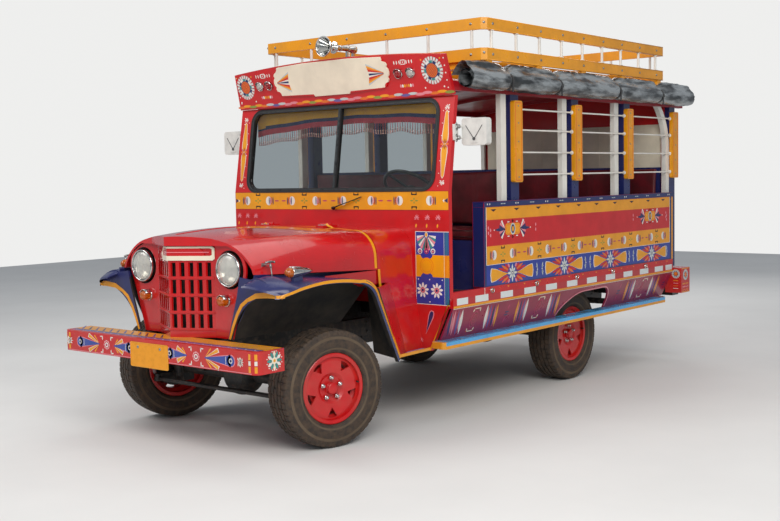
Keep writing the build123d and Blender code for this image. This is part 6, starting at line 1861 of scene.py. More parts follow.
class CHIVA_OT_side_paint(bpy.types.Operator):
    """Paint the driver's side panel: cap, bands, medallions and trumpet flowers"""
    bl_idname = "chiva.side_paint"
    bl_label = "Side panel paint"

    def execute(self, context):
        front, rear = PANEL_FRONT, PANEL_REAR
        low, high = SILL_TOP, 1.352
        cap = [(1, "navy", bar(front, rear, 1.353, 1.387))]
        for d in (1.300, 1.639, 2.020, 2.420, 2.800, 3.190, 3.565, 3.950):
            cap += [(2, "white", disc(d - 0.013, 1.371, 0.0058, 10)),
                    (2, "white", disc(d + 0.013, 1.371, 0.0058, 10))]
        for d in (1.470, 1.830, 2.220, 2.610, 2.995, 3.380, 3.760):
            cap += [(2, "grey", leaf(d, 1.371, 0, 0.0, 0.030, 0.0032)),
                    (2, "grey", leaf(d, 1.371, 180, 0.0, 0.030, 0.0032))]
        lay_paint("side_cap_paint", cap, on_y(SIDE_FACE + 0.004), slot="navy_paint")

        panel = [(1, "navy", bar(front, 1.272, low, high)), (1, "navy", bar(3.982, 4.012, low, high)),
                 (1, "yellow", bar(4.013, rear, low, high)),
                 (1, "white", bar(1.2725, 1.2775, 0.972, high)),
                 (1, "white", bar(3.9765, 3.9815, 0.972, high)),
                 (1, "yellow", bar(1.278, 3.976, 1.268, 1.3515)),
                 (1, "yellow", bar(1.278, 3.976, 0.972, 1.094)),
                 (2, "orange", bar(1.278, 3.976, 1.266, 1.2695)),
                 (2, "orange", bar(1.278, 3.976, 1.0925, 1.0955)),
                 (1, "blue", bar(1.273, 3.982, 0.829, 0.9715)),
                 (2, "white", bar(1.273, 3.982, 0.9695, 0.9722)),
                 (2, "navy", bar(1.273, 3.982, 0.829, 0.836))]
        for d in (1.361, 1.639, 1.916, 2.183, 2.473, 2.739, 3.025, 3.302, 3.585, 3.855):
            panel.append((2, "maroon", [(d - 0.035, 1.3365), (d, 1.3195), (d + 0.035, 1.3365)]))
            panel.append((3, "black", [(d - 0.031, 1.3355), (d - 0.008, 1.3245), (d + 0.008, 1.3245),
                                       (d + 0.031, 1.3355)]))
            panel.append((2, "orange", disc(d + 0.138, 1.331, 0.0035, 8)))
        rows = motif_row([(1.352, 1), (1.591, -1), (1.806, 1), (2.045, -1), (2.257, 1), (2.494, -1),
                          (2.704, 1), (2.944, -1),
                          (3.166, 1), (3.415, -1), (3.629, 1), (3.865, -1)],
                         [1.468, 1.926, 2.387, 2.829, 3.284, 3.736], 1.033, 0.122)
        panel += raised(rows)
        lay_paint("side_bands_paint", panel, on_y(SIDE_FACE), slot="yellow_wood")

        blooms = []
        middle = 0.900
        for d in (1.579, 2.261, 2.949, 3.646):
            blooms += trumpet(d, middle, 1, 0.050, 0.252, 0.043) + trumpet(d, middle, -1, 0.050, 0.252, 0.043)
            blooms += star_flower(d, middle, 0.062)
        for d in (1.295, 1.927, 2.601, 3.292, 3.958):
            for sense in (1, -1):
                if d < 1.3 and sense < 0 or d > 3.9 and sense > 0:
                    continue
                a = d + sense * 0.030
                for v in (1, -1):
                    blooms.append((1, "grey", leaf(a, middle, (90 - 12 * sense) * v, 0.004, 0.048, 0.0065)))
                    blooms.append((1, "grey",
                                   leaf(a, middle + 0.020 * v, 90 - 90 * sense, 0.002, 0.020, 0.005)))
                blooms.append((2, "white", disc(a, middle, 0.0055, 8)))
        lay_paint("side_blooms_paint", blooms, on_y(SIDE_FACE + 0.0010), slot="navy_paint")
        marks = medallion(1.590, 1.198) + medallion(3.617, 1.205)
        for d in (1.325, 3.920):
            for v in (1, -1):
                marks.append((1, "pink", leaf(d, 1.182, 90 * v, 0.004, 0.030, 0.008)))
        lay_paint("side_medallions_paint", marks, on_y(SIDE_FACE), slot="yellow_wood")

        ends = Stock()
        for z0, z1 in ((0.829, high), (1.353, 1.387)):
            ends.slab(bar(0.886, 0.971, z0, z1), -0.0004, 0.0007, on_x(back(1.248)))
        ends.slab(bar(0.8845, 0.975, 1.3775, 1.3875), -0.0004, 0.0009, on_x(back(1.248)))
        ends.made("panel_end_paint", [enamel("navy")], slot="navy_paint")
        top = Stock()
        top.slab(bar(front, rear, 0.885, 0.974), -0.0004, 0.0006, on_z(PANEL_CAP))
        top.made("panel_top_paint", [enamel("navy")], slot="navy_paint")
        return {"FINISHED"}


def spindle(a, b, half_tall, lean, half):
    """Long pointed stroke that leans with its height."""
    steps = [-1 + k / 4 for k in range(9)]
    front = [(a + lean * t + half * (1 - t * t), b + half_tall * t) for t in steps]
    return front + [(a + lean * t - half * (1 - t * t), b + half_tall * t) for t in steps[-2:0:-1]]


class CHIVA_OT_skirt_paint(bpy.types.Operator):
    """Paint the sills and skirts and lay the reflective tape and step edges"""
    bl_idname = "chiva.skirt_paint"
    bl_label = "Skirt paint"

    def execute(self, context):
        for name, side in SIDES:
            place = skirt_point(side)
            strokes = [(1, "cream", bar(0.906, 4.036, 0.7165, 0.7205))]
            units = []
            for k in range(4):
                oval_at = 1.190 + 0.795 * k
                units.append(("oval", oval_at))
                units.append(("group", oval_at + 0.200, ("white", "purple", "navy", "yellow")))
                units.append(("dash", oval_at + 0.385, None))
                units.append(("group", oval_at + 0.570, ("yellow", "navy", "purple", "white")))
            units.append(("group", 0.985, ("navy", "pink", "purple", "white")))
            for unit in units:
                kind, d = unit[0], unit[1]
                # the wheel arch takes the middle
                if abs(d - WHEELBASE) < 0.44 or d > 3.97:
                    continue
                if kind == "group":
                    for k, key in enumerate(unit[2]):
                        a = d + 0.040 * (k - 1.5)
                        strokes.append((2, key,
                                        spindle(a, 0.620, 0.086, -0.026,
                                                0.0150 if key == "white" else 0.0115)))
                    for k, key in enumerate(("pink", "rose", "pink")):
                        strokes.append((1, key, spindle(d + 0.040 * (k - 1), 0.620, 0.074, -0.023, 0.0060)))
                elif kind == "dash":
                    strokes += [(1, "navy", oval(d, 0.632, 0.026, 0.006, 10)),
                                (1, "navy", oval(d, 0.612, 0.026, 0.005, 10))]
                    for v in (1, -1):
                        strokes.append((1, "rose", leaf(d, 0.622 + v * 0.025, 90 * v, 0.0, 0.045, 0.006)))
                else:
                    strokes += [(1, "rose", oval(d, 0.622, 0.036, 0.056, 22)),
                                (2, "maroon", oval(d, 0.622, 0.031, 0.050, 22)),
                                (3, "rose", oval(d, 0.622, 0.020, 0.036, 18)),
                                (4, "maroon", oval(d, 0.622, 0.016, 0.031, 18))]
                    for k in range(5):
                        b = 0.600 + 0.011 * k
                        strokes.append((5, "rose", bar(d - 0.013, d + 0.013, b - 0.0015, b + 0.0015)))
                    for v, b in ((-1, 0.697), (1, 0.543)):
                        strokes.append((2, "cream", bar(d - 0.034, d + 0.034, b - 0.003, b + 0.003)))
                        for u in (1, -1):
                            strokes.append((2, "cream",
                                            leaf(d + u * 0.032, b, (90 - 18 * u) * v, 0.0, 0.024, 0.005)))
                            strokes.append((3, "orange", disc(d + u * 0.034, b, 0.004, 8)))
            lay_paint("skirt_paint_" + name, strokes, place, slot="red_body_wood")

            # pale line round the wheel arch
            line = Stock()
            shape = [(-0.372, 0.520), (-0.372, 0.540), [(-0.330, 0.648)], (-0.230, 0.684), (0.060, 0.680),
                     [(0.210, 0.645)],
                     (0.330, 0.560), (0.3525, 0.520)]
            pairs = []
            for (u, z), du, dv in directed(arc_points(shape)):
                near = place(WHEELBASE - u + 0.002 * dv, z + 0.002 * du, 0.0)
                far = place(WHEELBASE - u + 0.011 * dv, min(z + 0.011 * du, 0.7215), 0.0)
                pairs.append((near, far, (0, side * 0.897, -0.442)))
            line.strip(pairs, 0.0014, 0)
            line.made("arch_line_" + name, [enamel("pink")], slot="white_paint")

            sill = [(1, "yellow", bar(0.903, 4.036, 0.7228, 0.7365)),
                    (2, "orange", bar(0.903, 4.036, 0.7345, 0.7372))]
            for k in range(14):
                d = 1.33 + 0.2 * k
                sill.append((1, "yellow", [(d - 0.012, 0.8175), (d + 0.012, 0.8175), (d, 0.8085)]))
                sill.append((1, "orange", disc(d + 0.1, 0.812, 0.003, 8)))
            sill.append((1, "white", bar(1.2485, 1.2535, 0.738, 0.8255)))
            lay_paint("sill_paint_" + name, sill, on_y(side * SIDE_FACE), slot="red_body_wood")
            tape, face = Stock(), on_y(side * SIDE_FACE)
            blocks = (1.000, 1.216, 1.509, 1.800, 2.082, 2.371, 2.661, 2.949, 3.235, 3.512, 3.776, 3.960)
            halves = [0.060] + [0.074] * (len(blocks) - 2) + [0.060]
            for d, half in zip(blocks, halves):
                tape.slab(bar(d - half, d + half, 0.740, 0.783), -0.0004, 0.0011, face, 0)
            for d, half, after, half_after in zip(blocks, halves, blocks[1:], halves[1:]):
                tape.slab(bar(d + half, after - half_after, 0.7415, 0.7815), -0.0004, 0.0010, face, 1)
            tape.made("reflective_tape_" + name, [marker_tape("reflective_tape_white", "#DCE0DE"),
                                                  marker_tape("reflective_tape_red", "#B3141B")])

            step, top = Stock(), on_z(STEP_TOP, side)
            for k in range(15):
                d = 0.90 + 0.21 * k
                step.slab(rounded(d, d + 0.150, 0.868, 0.930, 0.006, 3), -0.0004, 0.0009, top, 1)
            for k in range(5):
                d = 0.93 + 0.71 * k
                for y in (0.862, 0.938):
                    bolt(step, top(d + 0.10, y, 0.0), UPWARD, 0.012, 0.004)
            for d in (0.846, 3.917):
                step.slab(bar(d, d + 0.012, 0.846, 0.954), -0.0445, 0.0012, top, 2)
            step.made("step_fittings_" + name, [zinc_steel(), sprayed("step_blue"), enamel("yellow")],
                      slot="blue_step")
        return {"FINISHED"}


class CHIVA_OT_rack_fittings(bpy.types.Operator):
    """Bolt the luggage rack's rails, bearers and deck slats, and cap its posts"""
    bl_idname = "chiva.rack_fittings"
    bl_label = "Rack fittings"

    def execute(self, context):
        stock = Stock()
        for index in range(9):
            x = back(1.336 + 0.293 * index)
            for side in (1, -1):
                y = side * 0.989
                for z, tall in ((2.383, 1), (2.501, -1)):
                    stock.turned([(0.0102, 0.0), (0.0190, 0.0005), (0.0185, 0.003), (0.0125, 0.006),
                                  (0.0102, 0.006)],
                                 facing((x, y, z), (0, 0, tall)), 20, 1)
                for z in (2.540, 2.344):
                    bolt(stock, (x, side * 1.001, z), (0, side, 0), 0.013)
        for x, ahead in ((back(RACK_FRONT), 1), (back(RACK_REAR), -1)):
            for index in range(6):
                y = -0.893 + 0.357 * index
                for z in (2.540, 2.344):
                    bolt(stock, (x, y, z), (ahead, 0, 0), 0.013)
        for index in range(5):
            x = back(1.302 + index * (RACK_REAR - RACK_FRONT - 0.120) / 4)
            for k in range(9):
                y = -0.800 + 0.200 * k
                for u in (-0.018, 0.018):
                    stock.knob([(0, -0.001), (0.0065, -0.001), (0.0060, 0.0015), (0.0030, 0.0026),
                                (0, 0.0028)],
                               facing((x + u, y, 2.323), UPWARD), 12)
        for z in (2.352, 2.545):
            for side in (1, -1):
                bolt(stock, (back(1.257), side * 0.986, z), (1, side, 0), 0.012)
        stock.made("rack_bolts", [zinc_steel(), enamel("white")])

        lips = Stock()
        # each rail's lower and upper edge
        for z in (2.308, 2.380, 2.504, 2.573):
            for side in (1, -1):
                lips.rod([(back(1.275), side, z), (back(3.794), side, z)], 0.0035, 8)
        lips.made("rack_rail_lips", [enamel("yellow")], slot="yellow_wood")

        feet = Stock()
        for y in (-0.420, -0.080):
            for z in (0.900, 1.900):
                feet.turned([(0.0092, 0.0), (0.026, 0.0003), (0.0255, 0.004), (0.0120, 0.007),
                             (0.0092, 0.007)],
                            facing((back(4.0385), y, z), REARWARD), 24)
            feet.knob([(0, -0.002), (0.0155, -0.001), (0.0160, 0.010), (0.012, 0.012), (0, 0.012)],
                      facing((back(LADDER_DISTANCE), y, 2.086), UPWARD), 20)
            feet.knob([(0, -0.002), (0.0165, -0.001), (0.0165, 0.016), (0, 0.018)],
                      facing((back(LADDER_DISTANCE), y, 0.664), DOWNWARD), 20)
        for index in range(5):
            z = 0.740 + 0.310 * index
            for k in range(18):
                y = -0.402 + 0.0178 * k
                feet.turned([(0.0108, -0.0042), (0.0122, -0.003), (0.0122, 0.003), (0.0108, 0.0042)],
                            facing((back(LADDER_DISTANCE), y, z), (0, 1, 0)), 14)
        feet.made("ladder_fittings",
                  [metal("knurled_steel_treads", "#8B8B88", 0.8, 0.4, 0.003, 0.0004, "#5C5751")])
        return {"FINISHED"}


class CHIVA_OT_rolled_sheets(bpy.types.Operator):
    """Roll the side tarpaulins under the rack and tie them"""
    bl_idname = "chiva.rolled_sheets"
    bl_label = "Rolled side sheets"

    def execute(self, context):
        front, rear, y_roll, z_roll = 1.030, 4.270, 1.0020, 2.178
        ties = (1.485, 2.107, 2.971, 3.688)
        turns, radius, core = 3.15, 0.0655, 0.0420
        around, along = 30, 190
        count = int(turns * around)
        # where the sheet leaves the roll and lies doubled against the rack, as (y, z)
        flap = ((1.034, 2.240), (1.022, 2.252), (1.014, 2.268), (1.008, 2.283), (0.994, 2.293),
                (0.972, 2.294),
                (0.950, 2.284), (0.930, 2.266), (0.914, 2.246), (0.900, 2.226), (0.888, 2.206))
        for name, side in SIDES:
            rows = []
            for i in range(along + 1):
                row = []
                d = front + (rear - front) * i / along
                near = min(abs(d - t) for t in ties)
                tight = math.exp(-(near / 0.045) ** 2)
                pinch = 1.0 - 0.20 * math.exp(-(near / 0.020) ** 2)
                t0, t1 = next(span for span in zip((front,) + ties,
                                                   ties + (rear,)) if span[0] <= d <= span[1])
                sag = math.sin(PI * (d - t0) / (t1 - t0))
                for k in range(count + 1):
                    angle = 2 * PI * k / around
                    share = k / count
                    reach = (core + (radius - core) * share) * pinch
                    spot = Vector((d * 4.0, math.cos(angle) * 0.9, math.sin(angle) * 0.9 + side))
                    fold = noise.noise(spot * 1.5) * 0.6 + noise.noise(Vector((d * 11.0 + angle, angle * 1.4,
                                                                               side * 3.0))) * 0.4
                    crease = abs(noise.noise(Vector((d * 7.0 + 0.8 * angle, angle * 2.2, 5.0 + side))))
                    outer = max(0.0, (share - 0.55) / 0.45)
                    reach += outer * (0.0065 * fold - 0.0095 * crease + 0.0045 * sag)
                    row.append((back(d), side * (y_roll + reach * math.cos(angle)),
                                z_roll + reach * math.sin(angle)
                                - 0.006 * sag * (1 - abs(math.sin(angle)) * 0.3)))
                for k, (y, z) in enumerate(flap):
                    rough = 0.006 * noise.noise(Vector((d * 6.0, k * 0.45, side * 7.0)))
                    rough += 0.004 * noise.noise(Vector((d * 19.0, k * 0.3, side * 2.0)))
                    lift = min(1.0, k / 3.0)
                    row.append((back(d), side * (y + rough - 0.010 * tight * lift),
                                z + rough * 0.8 - 0.020 * tight * lift - 0.006 * (1 - sag) * lift))
                rows.append(row)
            stock = Stock()
            stock.loft(rows, 0, True, around=False, ends="open")
            roll = stock.made("rolled_sheet_" + name, [coated_sheet()], slot="sheet_plastic")
            if name == "left":
                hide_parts("side_rolls")
            straps = Stock()
            for t in ties:
                loop = []
                for k in range(49):
                    angle = 2 * PI * k / 48
                    reach = 0.0560 + 0.0012 * math.cos(3 * angle)
                    c, s = side * math.cos(angle), math.sin(angle)
                    y, z = side * y_roll + reach * c, z_roll + reach * s
                    loop.append(((back(t - 0.011), y, z), (back(t + 0.011), y, z), (0, c, s)))
                straps.strip(loop, 0.0022, 0)
                buckle = (back(t), side * (y_roll + 0.0585), z_roll - 0.004)
                straps.slab(rounded(-0.015, 0.015, -0.011, 0.011, 0.003, 3), -0.001, 0.003,
                            lambda a, b, h: (buckle[0] + a, buckle[1] + side * h, buckle[2] + b), 0)
                tail = [(buckle[0] + 0.004, buckle[1] - side * 0.001 * k,
                         buckle[2] - 0.010 - 0.020 * k) for k in range(4)]
                straps.strip([((x - 0.010, y, z), (x + 0.010, y, z), (0, side, 0)) for x, y, z in tail],
                             0.0020, 0)
            tied = straps.made("roll_ties_" + name, [woven("nylon_webbing", "#1E1E20", "#121214", 0.0025)])
        return {"FINISHED"}


def pad(name, low, high, sewn_below):
    """Stuffed cushion: crowned faces, sides that pull in between the corners, and sewn channels.

    A seat is flat below; a back has its channels on both faces.
    """
    size = Vector(high) - Vector(low)
    centre = (Vector(high) + Vector(low)) / 2
    thin = min(range(3), key=lambda k: size[k])
    wide = [k for k in range(3) if k != thin]
    count = (int(size[wide[0]] / 0.018) + 1, int(size[wide[1]] / 0.018) + 1)
    longest = max(size)
    points, faces = [], []
    for face_sign in (1, -1):
        for i in range(count[0] + 1):
            for j in range(count[1] + 1):
                u, v = 2 * i / count[0] - 1, 2 * j / count[1] - 1
                pull = 0.010
                pu = u * (1 - pull / size[wide[0]] * 2 * (1 - v * v))
                pv = v * (1 - pull / size[wide[1]] * 2 * (1 - u * u))
                edge = max(0.0, (1 - abs(u) ** 7) * (1 - abs(v) ** 5)) ** 0.55
                across = v if size[wide[1]] > size[wide[0]] else u
                seam = max(math.exp(-((across - c / 4) * longest / 2 / 0.011) ** 2) for c in range(-3, 4))
                wrinkle = noise.noise(Vector((u * 7, v * 7, 3.0 * face_sign))) * 0.0018
                half = size[thin] / 2
                if face_sign > 0 or sewn_below:
                    half = half * (0.62 + 0.38 * edge) - 0.006 * seam
                half = min(size[thin] / 2, half + wrinkle * edge * 0.8)
                place = [0.0, 0.0, 0.0]
                place[wide[0]] = centre[wide[0]] + pu * size[wide[0]] / 2
                place[wide[1]] = centre[wide[1]] + pv * size[wide[1]] / 2
                place[thin] = centre[thin] + face_sign * half
                points.append(tuple(place))
    per = (count[0] + 1) * (count[1] + 1)
    at = lambda f, i, j: f * per + i * (count[1] + 1) + j
    for f in (0, 1):
        for i in range(count[0]):
            for j in range(count[1]):
                faces.append([at(f, i, j), at(f, i + 1, j), at(f, i + 1, j + 1), at(f, i, j + 1)])
    rim = [(i, 0) for i in range(count[0])] + [(count[0], j) for j in range(count[1])]
    rim += [(i, count[1]) for i in range(count[0], 0, -1)] + [(0, j) for j in range(count[1], 0, -1)]
    for k, (i, j) in enumerate(rim):
        m, n = rim[(k + 1) % len(rim)]
        faces.append([at(0, i, j), at(0, m, n), at(1, m, n), at(1, i, j)])
    stock = Stock()
    stock.add(points, faces, 0, True)
    cushion = stock.made(name, [vinyl()], slot="seat_vinyl")
    soft = cushion.modifiers.new("rounded_stuffing", "SUBSURF")
    soft.levels = soft.render_levels = 1
    return cushion


class CHIVA_OT_cushions(bpy.types.Operator):
    """Stuff the seat and back cushions of the four benches"""
    bl_idname = "chiva.cushions"
    bl_label = "Bench cushions"

    def execute(self, context):
        piping = Stock()
        for row in range(4):
            post = BENCH_FIRST + BENCH_PITCH * row + BENCH_THICK
            face = (back(post) + 0.050 if row < 3 else back(4.006) + 0.0303) + 0.0003
            seat = pad("seat_cushion_%d" % (row + 1), (face + 0.056, -0.866, 1.1306),
                       (face + 0.374, 0.867, 1.2145),
                       False)
            pad("back_cushion_%d" % (row + 1), (face + 0.0004, -0.866, 1.2160),
                (face + 0.0495, 0.867, 1.5890), True)
            if row == 0:
                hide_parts("bench_seats")
            for z in (1.154, 1.196):
                x = face + 0.3725
                path = [(x - 0.004 * (1 - (y / 0.85) ** 2), y,
                         z) for y in [-0.852 + 0.071 * k for k in range(25)]]
                piping.rod(path, 0.0030, 8)
        piping.made("cushion_piping", [moulded("extruded_vinyl_piping", "#2A1014", 0.4)], slot="seat_vinyl")
        return {"FINISHED"}


class CHIVA_OT_fringe(bpy.types.Operator):
    """Hang the banded cloth and its tassels behind the top of the windscreen"""
    bl_idname = "chiva.fringe"
    bl_label = "Windscreen fringe"

    def execute(self, context):
        settings = context.scene.chiva_trim
        x_front = back(0.960) - 0.040
        half, top = 0.853, 2.226
        columns, rows = 170, 26

        def navy_line(y):
            """Height of the banner's navy line, which arches over the windscreen."""
            return 1.985 - 0.045 * (y / half) ** 2 + 0.012 * y / half + 0.003 * math.sin(y * 15.0)

        def height(y, share):
            """Height at a share of the cloth's fall."""
            return top - (top - navy_line(y) + 0.060) * share

        def band(row, column):
            """Number of the yarn that a face is woven in."""
            y = -half + 2 * half * (column + 0.5) / columns
            z = height(y, (row + 0.5) / rows)
            return 0 if z > navy_line(y) else 1 if z > navy_line(y) - 0.022 else 2

        lines = []
        for j in range(rows + 1):
            line = []
            for i in range(columns + 1):
                y = -half + 2 * half * i / columns
                fold = 0.0032 * math.sin(y * 58.0 + 2.0 * math.sin(y * 6.0)) * (0.25 + 0.75 * j / rows)
                line.append((x_front - 0.0062 + fold, y, height(y, j / rows)))
            lines.append(line)
        cloth = Stock()
        cloth.loft(lines, band, True, around=False, ends="open")
        finishes = [woven("woven_cotton_yellow", "#D9980F", "#EFB52A", 0.004),
                    woven("woven_cotton_navy", "#1A2150", "#2B3470", 0.004),
                    woven("woven_cotton_rose", "#B32A3A", "#D0485A", 0.004)]
        banner = cloth.made("windscreen_banner", finishes, slot="fringe_cloth")
        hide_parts("windscreen_fringe")

        tassels = Stock()
        x = x_front - 0.0066
        count = int(2 * half / settings.tassel_pitch)
        for i in range(count):
            y = -half + 0.012 + (2 * half - 0.024) * i / (count - 1)
            wobble = noise.noise(Vector((y * 9.0, 2.0, 0.0)))
            start = navy_line(y) - 0.062
            end = start - 0.060 - 0.012 * (0.5 + 0.5 * math.sin(y * 23.0)) + 0.008 * wobble
            finish = 2 if i % 3 == 1 else 0
            tassels.rod([(x, y, start + 0.012), (x + 0.001 * wobble, y, start - 0.018),
                         (x, y + 0.003 * wobble, end + 0.026)],
                        [0.0022, 0.0020, 0.0024], 6, finish)
            # the bound head and the spread threads below it
            tassels.knob([(0, 0.004), (0.0040, 0.002), (0.0044, -0.003), (0.0032, -0.007), (0, -0.008)],
                         facing((x, y + 0.003 * wobble, end + 0.026), UPWARD), 8, 1)
            for k in range(3):
                lean = (k - 1) * 0.0052 + 0.0014 * wobble
                tassels.rod([(x, y + 0.0012 * (k - 1), end + 0.022), (x, y + lean, end)], [0.0026, 0.0014], 5,
                            1 if k else 0)
        yarns = [woven("spun_yarn_rose", "#B8323F", "#D65A66", 0.003, 0.4),
                 woven("spun_yarn_blush", "#DDA59C", "#F0C8BC", 0.003, 0.4),
                 woven("spun_yarn_wine", "#6E1524", "#8E2233", 0.003, 0.4)]
        hung = tassels.made("windscreen_tassels", yarns, slot="fringe_cloth")
        heading = Stock()
        heading.rod([(x, -half, 2.228), (x, half, 2.228)], 0.0036)
        rail = heading.made("fringe_rail", [zinc_steel()])
        return {"FINISHED"}


def wheel_matrix(place, side):
    """Frame of a wheel: its Z looks out along the axle, at the spin joint's centre."""
    joint = JOINTS["wheel_%s_spin" % place]
    turn = math.radians(-13.6) if place.startswith("front") else 0.0
    out = Vector((-math.sin(turn) * side, math.cos(turn) * side, 0.0))
    return facing(joint["pos_m"], out)


class CHIVA_OT_wheels(bpy.types.Operator):
    """Mould the treaded tyres and fit the wheels' nuts, caps and valves"""
    bl_idname = "chiva.wheels"
    bl_label = "Wheels"

    def execute(self, context):
        blocks = context.scene.chiva_trim.tread_blocks
        # columns: distance across from the middle, radius at the rib's top
        tread = ((-0.0900, 0.3395), (-0.0840, 0.3410), (-0.0560, 0.3436), (-0.0545, 0.3437),
                 (-0.0480, 0.3440),
                 (-0.0465, 0.3441), (-0.0220, 0.3448), (-0.0205, 0.3448), (-0.0140, 0.3449),
                 (-0.0125, 0.3449),
                 (0.0125, 0.3449), (0.0140, 0.3449), (0.0205, 0.3448), (0.0220, 0.3448), (0.0465, 0.3441),
                 (0.0480, 0.3440), (0.0545, 0.3437), (0.0560, 0.3436), (0.0840, 0.3410), (0.0900, 0.3395))
        grooves = {4, 3, 7, 8, 11, 12, 15, 16}
        wall = ((0.0925, 0.3350), (0.0945, 0.3290), (0.0955, 0.3225), (0.0968, 0.3160), (0.0990, 0.3060),
                (0.1002, 0.3000),
                (0.1000, 0.2960), (0.1018, 0.2900), (0.1024, 0.2760), (0.1026, 0.2690), (0.1019, 0.2660),
                (0.1017, 0.2540),
                (0.1022, 0.2500), (0.0998, 0.2400), (0.0960, 0.2290), (0.0925, 0.2210), (0.0905, 0.2175),
                (0.0870, 0.2160),
                (0.0830, 0.2110), (0.0765, 0.2092))
        inner = ((0.0740, 0.1912), (0.0600, 0.1912), (0.0580, 0.2140), (0.0800, 0.2300), (0.0840, 0.2700),
                 (0.0780, 0.3100),
                 (0.0600, 0.3260), (0.0, 0.3280))
        steps = (0.0, 0.16, 0.20, 0.60, 0.96)
        for place in ("front_left", "front_right", "rear_left", "rear_right"):
            side = 1 if place.endswith("left") else -1
            matrix = wheel_matrix(place, side)
            rings = []
            angles = [2 * PI * (b + s) / blocks for b in range(blocks) for s in steps]
            for index, angle in enumerate(angles):
                phase = steps[index % len(steps)]
                block = index // len(steps)
                notch = phase <= 0.16
                zig = 0.0022 * (1 - 4 * abs((block * 0.5 + phase * 0.5) % 1.0 - 0.5))
                cheek = []
                for across, radius in wall:
                    cut = 0.0022 if notch and radius > 0.3200 else 0.0
                    cheek.append((radius - cut * 0.6, across - cut * 0.5))
                ring = [(radius, -across) for radius, across in cheek[::-1]]
                for k, (across, radius) in enumerate(tread):
                    drop = 0.0
                    if k in grooves:
                        drop = 0.0085
                    elif notch and (k <= 2 or k >= len(tread) - 3):
                        drop = 0.0038
                    elif notch and k in (5, 6, 13, 14) and block % 2 == 0:
                        drop = 0.0050
                    elif notch and k in (9, 10) and block % 2 == 1:
                        drop = 0.0035
                    shift = zig if 2 <= k <= len(tread) - 3 else 0.0
                    ring.append((radius - drop, across + shift))
                ring += cheek + [(radius, across) for across, radius in inner]
                ring += [(radius, -across) for across, radius in inner[-2::-1]]
                c, s = math.cos(angle), math.sin(angle)
                rings.append([matrix @ Vector((r * c, r * s, t)) for r, t in ring])
            # the wall's raised ribs are rubbed tan with dust
            rubbed = (4, 5, 6, 13)
            ribs = {len(wall) + len(tread) + k for k in rubbed} | {len(wall) - 2 - k for k in rubbed}
            stock = Stock()
            stock.loft(rings, lambda _, k: 1 if k in ribs else 0, True, ends="joined")
            tyre = stock.made("treaded_tyre_" + place,
                              [tyre_rubber(), moulded("dust_rubbed_rubber", "#574838", 0.85)],
                              slot="tyre_rubber", body="wheel_" + place)
            split_edges(tyre, "tread_edges", 32)
            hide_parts("tyre_" + place)

            fittings = Stock()
            face = 0.058
            turned = matrix.to_3x3()
            direction = turned @ Vector(UPWARD)
            for k in range(5):
                angle = 2 * PI * k / 5 + PI / 2
                spot = matrix @ Vector((0.062 * math.cos(angle), 0.062 * math.sin(angle), face))
                fittings.knob([(0, -0.001), (0.0135, -0.001), (0.0130, 0.003), (0.0105, 0.005), (0, 0.005)],
                              facing(spot, direction), 18, 0)
                fittings.knob([(0, 0.004), (0.0108, 0.004), (0.0108, 0.0135), (0.0085, 0.0165), (0, 0.0175)],
                              facing(spot, direction), 6, 0)
            cap = matrix @ Matrix.Translation(Vector((0, 0, face)))
            fittings.knob([(0, 0.010), (0.030, 0.010), (0.0345, 0.0125), (0.0340, 0.0165), (0.0270, 0.0205),
                           (0.0120, 0.0225),
                           (0, 0.0228)], cap, 32, 1)
            valve = matrix @ Vector((0.176, 0.020, 0.062))
            fittings.knob([(0, 0), (0.0048, 0.0), (0.0044, 0.014), (0.0052, 0.015), (0.0050, 0.026),
                           (0, 0.027)],
                          facing(valve, turned @ Vector((-0.25, 0, 1))), 12, 2)
            fittings.turned([(0.2045, 0.0785), (0.2072, 0.0800), (0.2082, 0.0775), (0.2080, 0.0745),
                             (0.2050, 0.0750)],
                            matrix, 72, 1)
            fittings.made("wheel_fittings_" + place, [chromed(), enamel("red"), extruded_rubber()],
                          slot="wheel_rim_plastic", body="wheel_" + place)
        return {"FINISHED"}


